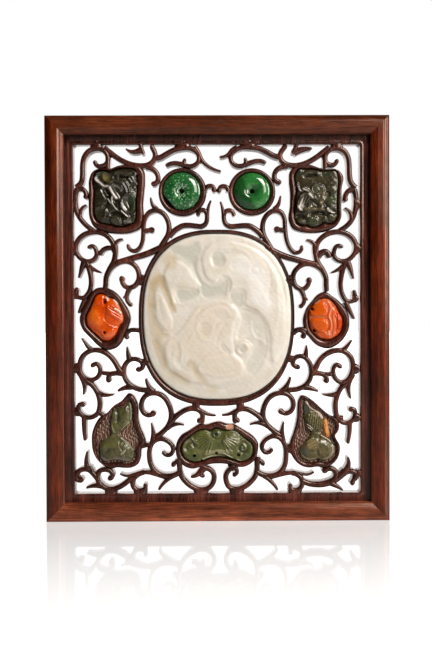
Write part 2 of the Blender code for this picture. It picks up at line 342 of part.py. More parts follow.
# Relief strokes: (points, half width, height), height above the stone's own crown
RELIEF = {
    "centre_plaque": [
        ([(-25, 130), (-19, 140), (-13, 149), (-5, 153), (4, 152), (11, 146)], 4.0, 1.2),
        ([(-14, 138), (-4, 140), (4, 132), (-8, 126)], 11.0, 1.6),
        ([(-6, 111), (3, 117), (12, 113), (15, 106), (6, 102), (-3, 104)], 7.0, 1.5),
        ([(-9.5, 184), (-9.5, 175), (-4, 169), (2, 173)], 3.2, 1.3),
        ([(2, 186), (14, 178), (27, 172), (27, 160), (33, 150), (40, 138)], 9.5, 1.7),
        ([(16, 166), (24, 158), (24, 150)], 6.0, 1.2),
        ([(-33, 176), (-24, 170), (-16, 163)], 6.0, 0.9),
        ([(-2, 163), (6, 161)], 7.0, -1.7),
        ([(16, 152), (20, 140), (23, 124), (24, 110)], 5.0, -1.4),
        ([(-25, 156), (-19, 150)], 6.5, -1.1),
        ([(-39, 171), (-35, 160), (-30, 146)], 2.6, -1.8),
        ([(-45, 153), (-45, 141), (-37, 130)], 2.0, -1.6),
        ([(-44, 126), (-40, 117), (-36, 108)], 2.2, -1.6),
        ([(-28.6, 123), (-27, 111)], 2.6, -1.4),
        ([(-34, 104), (-22, 97)], 2.4, -1.3),
        ([(-16, 103), (-9, 96), (0, 93)], 2.4, -1.2),
        ([(-23, 184), (-20, 176)], 6.0, -0.8),
    ],
    "upper_left_plaque": [
        ([(-77, 233), (-71, 226), (-72, 219), (-63, 213)], 2.2, 1.3),
        ([(-83, 239), (-78, 234)], 2.4, 1.0),
        ([(-66, 226), (-64, 218)], 4.0, 1.2),
        ([(-70, 243), (-61, 239), (-58, 233)], 2.6, 1.0),
        ([(-82, 216), (-78, 213)], 4.0, 1.0),
        ([(-72, 211), (-63, 209)], 3.0, 0.9),
        ([(-69, 241), (-63, 240.5)], 1.6, -1.3),
        ([(-76, 225), (-79, 219)], 2.6, -1.3),
        ([(-72, 214.5), (-66, 214)], 2.0, -1.4),
    ],
    "upper_right_plaque": [
        ([(58, 220), (62, 226), (63, 229)], 3.6, 1.2),
        ([(66, 231), (71, 233), (74, 230)], 3.2, 1.2),
        ([(60, 244), (70, 243)], 2.2, 1.0),
        ([(60, 210), (67, 210), (74, 211), (80, 213)], 3.0, 1.1),
        ([(77, 219), (82, 215)], 2.2, 0.9),
        ([(62, 242), (68, 241.5)], 1.7, -1.3),
        ([(58, 214), (72, 215), (76, 214)], 2.0, -1.5),
        ([(67, 222), (72, 221), (76, 223)], 2.6, -1.4),
    ],
    "carnelian_left": [
        ([(-87, 141), (-82, 147), (-79, 154)], 6.0, 0.9),
        ([(-76, 140), (-70, 138)], 2.4, 0.5),
        ([(-71, 150), (-67.5, 143)], 2.2, 0.7),
        ([(-78, 131), (-74, 130)], 3.0, 0.7),
        ([(-79, 153)], 1.4, -1.3),
        ([(-79.3, 132)], 1.4, -1.3),
    ],
    "carnelian_right": [
        ([(70, 148), (73, 143)], 4.5, 0.8),
        ([(70, 136), (76, 132)], 4.0, 0.7),
        ([(79, 152), (82.5, 142), (80, 130)], 2.2, 0.8),
        ([(66.3, 147.5)], 1.4, -1.3),
        ([(67.8, 132.5)], 1.6, -1.2),
    ],
    "lower_left_plaque": [
        ([(-69, 73), (-67, 68)], 6.0, 1.0),
        ([(-76, 49), (-66, 48)], 8.0, 1.2),
        ([(-68, 58), (-60, 50)], 1.2, 0.8),
        ([(-72, 61), (-70, 61)], 2.2, -0.7),
        ([(-70, 76), (-71, 72)], 1.5, -0.9),
    ],
    "lower_right_plaque": [
        ([(66, 71), (69, 67)], 6.0, 1.0),
        ([(65, 50), (75, 50)], 8.0, 1.2),
        ([(72, 59), (80, 54)], 1.4, 0.7),
        ([(67, 61), (71, 61)], 2.0, -0.7),
    ],
    "cloud_plaque": [
        ([(-19, 51)], 6.0, 1.1),
        ([(18, 51)], 6.0, 1.1),
        ([(-10, 57), (-5, 52)], 5.0, 0.7),
        ([(9, 58), (6, 52)], 5.0, 0.7),
        ([(-1, 61)], 3.4, 0.9),
        ([(-1, 61)], 1.2, -1.6),
        ([(-10, 45), (0, 47.5), (9, 45.5)], 2.2, 0.7),
    ],
}

# Crown of each stone: depth of its edge, depth of its middle, centre of its grid, its rings
CROWNS = {
    "centre_plaque": (6.8, 5.2, JADE_CENTRE, (0.94, 0.82, 0.68, 0.52, 0.36, 0.18)),
    "upper_left_plaque": (7.6, 6.0, (-71, 226), (0.9, 0.66, 0.36)),
    "upper_right_plaque": (7.6, 6.0, (69.5, 226), (0.9, 0.66, 0.36)),
    "carnelian_left": (7.4, 5.4, (-79, 142), (0.86, 0.5)),
    "carnelian_right": (7.4, 5.4, (76, 141), (0.86, 0.5)),
    "lower_left_plaque": (7.8, 6.2, (-72, 60.8), (0.88, 0.55)),
    "lower_right_plaque": (7.8, 6.2, (69, 60.8), (0.88, 0.55)),
    "cloud_plaque": (7.6, 6.0, (0, 53), (0.88, 0.55)),
}

# Colours: linear base colour, roughness
WOOD = ((0.075, 0.022, 0.014), 0.42)
MATERIALS = {
    "centre_plaque": ((0.68, 0.63, 0.52), 0.32),
    "disc_left": ((0.02, 0.12, 0.045), 0.2),
    "disc_right": ((0.02, 0.15, 0.045), 0.18),
    "upper_left_plaque": ((0.03, 0.035, 0.022), 0.28),
    "upper_right_plaque": ((0.045, 0.05, 0.03), 0.28),
    "carnelian_left": ((0.62, 0.1, 0.015), 0.25),
    "carnelian_right": ((0.66, 0.11, 0.03), 0.25),
    "lower_left_plaque": ((0.06, 0.075, 0.035), 0.35),
    "lower_right_plaque": ((0.07, 0.08, 0.035), 0.35),
    "cloud_plaque": ((0.1, 0.12, 0.05), 0.35),
}


def place(x, z, depth):
    """Point of the screen, from millimetres across, up and back from the front face."""
    return Vector((x * MM, (depth - FRAME_DEPTH / 2) * MM, z * MM))


def unit(a, b):
    length = math.hypot(b[0] - a[0], b[1] - a[1])
    return ((b[0] - a[0]) / length, (b[1] - a[1]) / length, length)


def curve_tangents(points, closed=False):
    """Tangent at each point of the circle through it and its two neighbours."""
    count = len(points)
    if count == 2:
        direction = unit(points[0], points[1])
        return [direction[:2], direction[:2]]
    tangents = [None] * count
    for i in range(count):
        if not closed and i in (0, count - 1):
            continue
        ax, az, la = unit(points[i - 1], points[i])
        bx, bz, lb = unit(points[i], points[(i + 1) % count])
        tx = ax * lb + bx * la
        tz = az * lb + bz * la
        length = math.hypot(tx, tz)
        tangents[i] = (tx / length, tz / length)
    if not closed:
        for end, near in ((0, 1), (count - 1, count - 2)):
            cx, cz, _ = unit(points[end], points[near])
            tx, tz = tangents[near]
            along = 2 * (tx * cx + tz * cz)
            tangents[end] = (along * cx - tx, along * cz - tz)
    return tangents


def span(p, q, tp, tq, t):
    """Hermite curve from p to q that comes out round where the tangents are a circle's."""
    cx, cz, length = unit(p, q)
    hp = min(2 * length / (1 + tp[0] * cx + tp[1] * cz), 2.2 * length)
    hq = min(2 * length / (1 + tq[0] * cx + tq[1] * cz), 2.2 * length)
    a = 2 * t ** 3 - 3 * t ** 2 + 1
    b = t ** 3 - 2 * t ** 2 + t
    c = 3 * t ** 2 - 2 * t ** 3
    d = t ** 3 - t ** 2
    return (a * p[0] + b * hp * tp[0] + c * q[0] + d * hq * tq[0],
            a * p[1] + b * hp * tp[1] + c * q[1] + d * hq * tq[1])


def dense(points, closed=False, step=0.4):
    """The smooth curve through the points, finely sampled."""
    tangents = curve_tangents(points, closed)
    count = len(points)
    out = []
    for i in range(count if closed else count - 1):
        j = (i + 1) % count
        pieces = max(2, math.ceil(unit(points[i], points[j])[2] / step))
        for k in range(pieces):
            out.append(span(points[i], points[j], tangents[i], tangents[j], k / pieces))
    if not closed:
        out.append(tuple(points[-1]))
    return out


def stations(line, turn_step, longest, sagitta, closed=False):
    """Indices of the samples to keep, by how far the line has turned and run."""
    kept = [0]
    turned = 0.0
    run = 0.0
    last = len(line) if closed else len(line) - 1
    for i in range(1, last):
        ax, az, la = unit(line[i - 1], line[i])
        bx, bz, _ = unit(line[i], line[(i + 1) % len(line)])
        turned += abs(math.atan2(ax * bz - az * bx, ax * bx + az * bz))
        run += la
        if turned >= turn_step or run >= longest or turned * run / 8 >= sagitta:
            kept.append(i)
            turned = 0.0
            run = 0.0
    if closed:
        return kept
    if len(kept) > 1 and unit(line[kept[-1]], line[-1])[2] < 1.2:
        kept.pop()
    return kept + [len(line) - 1]


def closed_outline(points, sagitta=RING_SAGITTA):
    """Anticlockwise outline, as seen from the front, with few enough points for a solid."""
    line = dense(points, closed=True)
    kept = stations(line, TURN_STEP, LONGEST_STEP, sagitta, closed=True)
    outline = [line[i] for i in kept]
    area = sum(a[0] * b[1] - b[0] * a[1] for a, b in zip(outline, outline[1:] + outline[:1]))
    return outline if area > 0 else outline[::-1]


def oval(centre, half, squareness, count):
    """Superellipse: squareness 2 is an ellipse, more is squarer."""
    out = []
    for k in range(count):
        c = math.cos(2 * math.pi * k / count)
        s = math.sin(2 * math.pi * k / count)
        out.append((centre[0] + half[0] * math.copysign(abs(c) ** (2 / squareness), c),
                    centre[1] + half[1] * math.copysign(abs(s) ** (2 / squareness), s)))
    return out


def offset(outline, distance):
    """An anticlockwise outline moved outwards (inwards where distance is negative)."""
    count = len(outline)
    out = []
    for i in range(count):
        ax, az, _ = unit(outline[i - 1], outline[i])
        bx, bz, _ = unit(outline[i], outline[(i + 1) % count])
        nx = az + bz
        nz = -(ax + bx)
        length = math.hypot(nx, nz)
        spread = max(0.5, length / 2)
        out.append((outline[i][0] + distance * nx / length / spread,
                    outline[i][1] + distance * nz / length / spread))
    return out


def nudge(x, z):
    """Moves a place on the mirrored left half to where the right half has it."""
    weights = CALM
    dx = 0.0
    dz = 0.0
    for px, pz, mx, mz in NUDGES.values():
        weight = math.exp(-((px - x) ** 2 + (pz - z) ** 2) / (2 * REACH ** 2))
        weights += weight
        dx += weight * mx
        dz += weight * mz
    return (x + dx / weights, z + dz / weights)


def all_tendrils():
    """Every tendril of both halves: name, points, start width, end width, bulb radius."""
    out = [(name + "_left", *shape) for name, shape in TENDRILS.items()]
    right = {name: ([nudge(*p) for p in points], start, end, bulb)
             for name, (points, start, end, bulb) in TENDRILS.items() if name not in LEFT_ONLY}
    right.update(RIGHT_ONLY)
    for name, (points, start, end, bulb) in right.items():
        out.append((name + "_right", [(-x, z) for x, z in points], start, end, bulb))
    return out


def link(name, mesh, collection, colour=None):
    ob = bpy.data.objects.new(name, mesh)
    collection.objects.link(ob)
    if colour:
        material = bpy.data.materials.new(name + "_material")
        material.use_nodes = True
        shader = material.node_tree.nodes["Principled BSDF"]
        shader.inputs["Base Color"].default_value = (*colour[0], 1)
        shader.inputs["Roughness"].default_value = colour[1]
        shader.inputs["Metallic"].default_value = 0.0
        mesh.materials.append(material)
    return ob


def loft(name, sections, collection, colour=None):
    """Skins a run of equal-length sections of points, and caps both ends."""
    bm = bmesh.new()
    rows = [[bm.verts.new(p) for p in section] for section in sections]
    size = len(rows[0])
    for low, high in zip(rows, rows[1:]):
        for k in range(size):
            n = (k + 1) % size
            bm.faces.new((low[k], low[n], high[n], high[k]))
    bm.faces.new(rows[0])
    bm.faces.new(rows[-1])
    bmesh.ops.recalc_face_normals(bm, faces=bm.faces)
    mesh = bpy.data.meshes.new(name)
    bm.to_mesh(mesh)
    bm.free()
    return link(name, mesh, collection, colour)


def slab(name, front, back, front_depth, back_depth, collection, colour=None):
    """A flat piece between a front outline and a back outline of as many points."""
    sections = [[place(x, z, front_depth) for x, z in front],
                [place(x, z, back_depth) for x, z in back]]
    return loft(name, sections, collection, colour)


def tendril(name, points, start, end, bulb, collection):
    """A carved tendril: narrow at the front, full width at the back, a bulb or point at its end."""
    line = dense(points)
    kept = stations(line, TURN_STEP, LONGEST_STEP, SAGITTA)
    lengths = [0.0]
    for a, b in zip(line, line[1:]):
        lengths.append(lengths[-1] + unit(a, b)[2])
    rows = []
    tapers = bulb == 0 and end < 0.7 * start
    for i in kept:
        u = lengths[i] / lengths[-1]
        width = end + (start - end) * (1 - u ** 1.3) if tapers else start + (end - start) * u
        a = line[max(0, i - 1)]
        b = line[min(len(line) - 1, i + 1)]
        rows.append((line[i], unit(a, b)[:2], width))
    if bulb:
        (x, z), (tx, tz), _ = rows.pop()
        while len(rows) > 1 and unit(rows[-1][0], (x, z))[2] < bulb:
            rows.pop()
        for along, share in ((-0.2, 0.98), (0.85, 0.62)):
            rows.append(((x + tx * along * bulb, z + tz * along * bulb), (tx, tz), 2 * share * bulb))
    sections = []
    for (x, z), (tx, tz), width in rows:
        half = width / 2
        crown = half * FRONT_SHARE
        sections.append([place(x - tz * half, z + tx * half, PANEL_BACK),
                         place(x + tz * half, z - tx * half, PANEL_BACK),
                         place(x + tz * crown, z - tx * crown, PANEL_DEPTH),
                         place(x - tz * crown, z + tx * crown, PANEL_DEPTH)])
    return loft(name, sections, collection)


def rounded_rectangle(left, right, bottom, top, radius, steps=4):
    out = []
    for cx, cz, start in ((right - radius, bottom + radius, -90), (right - radius, top - radius, 0),
                          (left + radius, top - radius, 90), (left + radius, bottom + radius, 180)):
        for k in range(steps + 1):
            angle = math.radians(start + 90 * k / steps)
            out.append((cx + radius * math.cos(angle), cz + radius * math.sin(angle)))
    return out


def stroke_distance(x, z, points):
    """Distance from a place to a point or a run of straight strokes."""
    best = math.hypot(x - points[0][0], z - points[0][1])
    for (ax, az), (bx, bz) in zip(points, points[1:]):
        length2 = (bx - ax) ** 2 + (bz - az) ** 2
        t = max(0.0, min(1.0, ((x - ax) * (bx - ax) + (z - az) * (bz - az)) / length2))
        best = min(best, math.hypot(x - ax - t * (bx - ax), z - az - t * (bz - az)))
    return best


def relief_height(x, z, strokes):
    return sum(height * math.exp(-(stroke_distance(x, z, points) / half) ** 4)
               for points, half, height in strokes)


def carved_stone(name, outline, collection):
    """A plaque: straight sides, a low crown and its relief."""
    edge, middle, centre, shares = CROWNS[name]
    strokes = RELIEF[name]
    rows = [[place(x, z, STONE_BACK) for x, z in outline],
            [place(x, z, edge) for x, z in outline]]
    for share in shares:
        row = []
        for ox, oz in outline:
            x = centre[0] + (ox - centre[0]) * share
            z = centre[1] + (oz - centre[1]) * share
            fade = min(1.0, (1 - share) / 0.1)
            depth = middle + (edge - middle) * share ** 4 - fade * relief_height(x, z, strokes)
            row.append(place(x, z, depth))
        rows.append(row)
    ob = loft(name, rows, collection, MATERIALS[name])
    bm = bmesh.new()
    bm.from_mesh(ob.data)
    bm.faces.ensure_lookup_table()
    front = bm.faces[len(bm.faces) - 1]
    fan = bmesh.ops.poke(bm, faces=[front])["verts"][0]
    fan.co = place(*centre, middle - relief_height(*centre, strokes))
    bmesh.ops.recalc_face_normals(bm, faces=bm.faces)
    bm.to_mesh(ob.data)
    bm.free()
    return ob


def disc(name, x, z, radius, collection, cutters):
    """A pierced disc, turned: rounded rim, slightly domed face, a hole in the middle."""
    profile = [(DISC_HOLE, STONE_BACK), (DISC_HOLE, 6.5), (0.25 * radius, 6.1),
               (0.78 * radius, 6.6), (radius, 7.8), (radius, STONE_BACK)]
    bm = bmesh.new()
    verts = [bm.verts.new((r * MM, 0, -depth * MM)) for r, depth in profile]
    for a, b in zip(verts, verts[1:] + verts[:1]):
        bm.edges.new((a, b))
    mesh = bpy.data.meshes.new(name)
    bm.to_mesh(mesh)
    bm.free()
    ob = link(name, mesh, collection, MATERIALS[name])
    ob.location = (x * MM, -FRAME_DEPTH / 2 * MM, z * MM)
    ob.rotation_euler = (math.radians(90), 0, 0)
    screw = ob.modifiers.new("turn", "SCREW")
    screw.axis = "Z"
    screw.steps = DISC_STEPS
    screw.render_steps = DISC_STEPS
    screw.use_merge_vertices = True
    screw.merge_threshold = 0.00005
    screw.use_normal_calculate = True
    mesh.shade_smooth()
    if name in DISC_FLATS:
        angle, near = DISC_FLATS[name]
        out = (math.cos(angle), math.sin(angle))
        chord = [(x + out[0] * along - out[1] * aside, z + out[1] * along + out[0] * aside)
                 for along, aside in ((near, -radius), (radius + 2, -radius),
                                      (radius + 2, radius), (near, radius))]
        boolean(ob, "DIFFERENCE",
                slab(name + "_flat", chord, chord, PANEL_DEPTH - 5, PANEL_BACK, cutters))
    return ob


def rail_section():
    """Moulding of the frame: (in from the outer edge, back from the front), with a groove inside."""
    groove_front = PANEL_DEPTH - GAP
    groove_back = PANEL_BACK + GAP
    groove_side = RAIL_WIDTH - TONGUE - GAP
    return [(0, 2.9), (0.5, 1.9), (1.6, 1.0), (3.0, 0.35), (4.4, 0), (8.6, 0), (10.4, 0.5),
            (12.2, 1.6), (RAIL_WIDTH, 2.9), (RAIL_WIDTH, groove_front), (groove_side, groove_front),
            (groove_side, groove_back), (RAIL_WIDTH, groove_back), (RAIL_WIDTH, 24.8),
            (RAIL_WIDTH - 1.2, FRAME_DEPTH), (1.2, FRAME_DEPTH), (0, 24.8)]


def rail(name, side, collection):
    """One mitred rail; side is top, bottom, left or right."""
    mitre = GAP / 2 * math.sqrt(2)
    sections = []
    for end in (-1, 1):
        section = []
        for inward, depth in rail_section():
            if side in ("top", "bottom"):
                x = end * (WIDTH / 2 - inward - mitre)
                z = inward if side == "bottom" else HEIGHT - inward
            else:
                x = -WIDTH / 2 + inward if side == "left" else WIDTH / 2 - inward
                z = HEIGHT / 2 + end * (HEIGHT / 2 - inward - mitre)
            section.append(place(x, z, depth))
        sections.append(section)
    return loft(name, sections, collection, WOOD)


def boolean(ob, operation, operand):
    modifier = ob.modifiers.new(operation.lower(), "BOOLEAN")
    modifier.operation = operation
    modifier.solver = "EXACT"
    if isinstance(operand, bpy.types.Collection):
        modifier.operand_type = "COLLECTION"
        modifier.collection = operand
    else:
        modifier.object = operand


def settle_mesh(ob):
    """Replaces an object's mesh with what its modifiers make."""
    evaluated = ob.evaluated_get(bpy.context.evaluated_depsgraph_get())
    mesh = bpy.data.meshes.new_from_object(evaluated)
    ob.modifiers.clear()
    ob.data = mesh


def tidy_mesh(ob):
    """Joins flat neighbours of a face again, so that no triangle is wasted."""
    bm = bmesh.new()
    bm.from_mesh(ob.data)
    bmesh.ops.dissolve_limit(bm, angle_limit=FLAT_ANGLE, verts=bm.verts, edges=bm.edges)
    bmesh.ops.triangulate(bm, faces=bm.faces)
    bm.to_mesh(ob.data)
    bm.free()


def thin_out(panel):
    """Drops the facets of the tendrils that matter least, and leaves the pockets exact."""
    rims = [outline + outline[:1] for outline in pockets().values()]
    free = panel.vertex_groups.new(name="free")
    for vert in panel.data.vertices:
        x = vert.co.x / MM
        z = vert.co.z / MM
        if min(stroke_distance(x, z, rim) for rim in rims) > 0.1:
            free.add([vert.index], 1.0, "REPLACE")
    thin = panel.modifiers.new("thin_out", "DECIMATE")
    thin.ratio = KEEP_SHARE
    thin.vertex_group = free.name
    thin.vertex_group_factor = 1000
    settle_mesh(panel)


def openwork_panel(collection, blanks, cutters):
    """Border, tendrils and rings as one carved board, with a pocket cut for each plaque."""
    edge = RAIL_WIDTH - TONGUE
    board = rounded_rectangle(-WIDTH / 2 + edge, WIDTH / 2 - edge, edge, HEIGHT - edge, 0.4, 1)
    panel = slab("openwork_panel", board, board, PANEL_DEPTH, PANEL_BACK, collection, WOOD)
    hole = rounded_rectangle(OPENING_LEFT, OPENING_RIGHT, OPENING_BOTTOM, OPENING_TOP, OPENING_CORNER)
    boolean(panel, "DIFFERENCE",
            slab("opening_cutter", hole, hole, PANEL_DEPTH - 5, PANEL_BACK + 5, cutters))
    settle_mesh(panel)
    for name, points, start, end, bulb in all_tendrils():
        tendril(name, points, start, end, bulb, blanks)
    outlines = {name: closed_outline(points) for name, points in RINGS.items()}
    outlines["centre_plaque"] = oval(JADE_RING_CENTRE, JADE_RING_HALF, JADE_SQUARENESS, 44)
    for name, (_, _, _, ring, centre) in DISCS.items():
        outlines[name] = oval(centre, (ring, ring), 2, 24)
    for name, outline in outlines.items():
        front = offset(outline, -RING_DRAFT)
        slab(name + "_ring", front, outline, PANEL_DEPTH, PANEL_BACK, blanks)
    boolean(panel, "UNION", blanks)
    settle_mesh(panel)
    for name, outline in pockets().items():
        boolean(panel, "DIFFERENCE",
                slab(name + "_pocket", outline, outline, PANEL_DEPTH - 5, POCKET_FLOOR, cutters))
    settle_mesh(panel)
    tidy_mesh(panel)
    thin_out(panel)
    return panel


def stone_outline(name):
    if name == "centre_plaque":
        return oval(JADE_CENTRE, JADE_HALF, JADE_SQUARENESS, JADE_STEPS)
    return closed_outline(STONES[name], STONE_SAGITTA)


def pockets():
    out = {}
    for name in CROWNS:
        if name in RECESSES:
            out[name] = closed_outline(RECESSES[name])
        else:
            out[name] = offset(stone_outline(name), GAP)
    for name, (x, z, radius, _, _) in DISCS.items():
        out[name] = oval((x, z), (radius + GAP, radius + GAP), 2, DISC_STEPS)
    return out


def main():
    for ob in list(bpy.data.objects):
        bpy.data.objects.remove(ob, do_unlink=True)
    parts = bpy.data.collections.new("wooden_table_screen")
    cutters = bpy.data.collections.new("cutters")
    blanks = bpy.data.collections.new("panel_blanks")
    for collection in (parts, cutters, blanks):
        bpy.context.scene.collection.children.link(collection)
    rail("frame_top_rail", "top", parts)
    rail("frame_bottom_rail", "bottom", parts)
    rail("frame_left_stile", "left", parts)
    rail("frame_right_stile", "right", parts)
    openwork_panel(parts, blanks, cutters)
    for name in CROWNS:
        carved_stone(name, stone_outline(name), parts)
    for name, (x, z, radius, _, _) in DISCS.items():
        disc(name, x, z, radius, parts, cutters)
    for collection in (cutters, blanks):
        for ob in collection.objects:
            ob.hide_render = True
            ob.display_type = "WIRE"


main()
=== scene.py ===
"""Looks of the hardwood table screen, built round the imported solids.

Places on the panel are in millimetres: x from the centre line, z up from the underside, and "depth"
back from the frame's front face. The moulded rails, the openwork panel and every stone are finer
pieces that stand for the solids of the same names.
"""

import math

import bmesh
import bpy
import numpy as np
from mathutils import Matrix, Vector


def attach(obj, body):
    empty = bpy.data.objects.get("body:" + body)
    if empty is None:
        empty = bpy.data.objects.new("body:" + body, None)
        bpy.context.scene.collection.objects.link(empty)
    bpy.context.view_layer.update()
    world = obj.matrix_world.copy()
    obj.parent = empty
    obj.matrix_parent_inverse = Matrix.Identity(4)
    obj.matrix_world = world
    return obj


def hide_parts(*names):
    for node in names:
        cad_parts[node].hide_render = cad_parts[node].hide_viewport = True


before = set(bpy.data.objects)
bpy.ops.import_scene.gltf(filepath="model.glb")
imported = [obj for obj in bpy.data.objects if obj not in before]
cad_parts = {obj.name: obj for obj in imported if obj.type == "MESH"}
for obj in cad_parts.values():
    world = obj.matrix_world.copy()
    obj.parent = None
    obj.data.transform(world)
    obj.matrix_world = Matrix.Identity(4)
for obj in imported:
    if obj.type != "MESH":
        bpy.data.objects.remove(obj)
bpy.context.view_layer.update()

MM = 0.001
BODY = "root"

# Driving sizes of the solids, in millimetres
WIDTH = 240.0
HEIGHT = 283.0
FRAME_DEPTH = 26.0
RAIL_WIDTH = 13.3
PANEL_DEPTH = 6.5
PANEL_BACK = 17.5
GAP = 0.3
TONGUE = 3.7
POCKET_FLOOR = 12.4
STONE_BACK = POCKET_FLOOR - GAP
OPENING_LEFT = -100.6
OPENING_RIGHT = 100.2
OPENING_BOTTOM = 18.7
OPENING_TOP = 263.4
OPENING_CORNER = 2.0

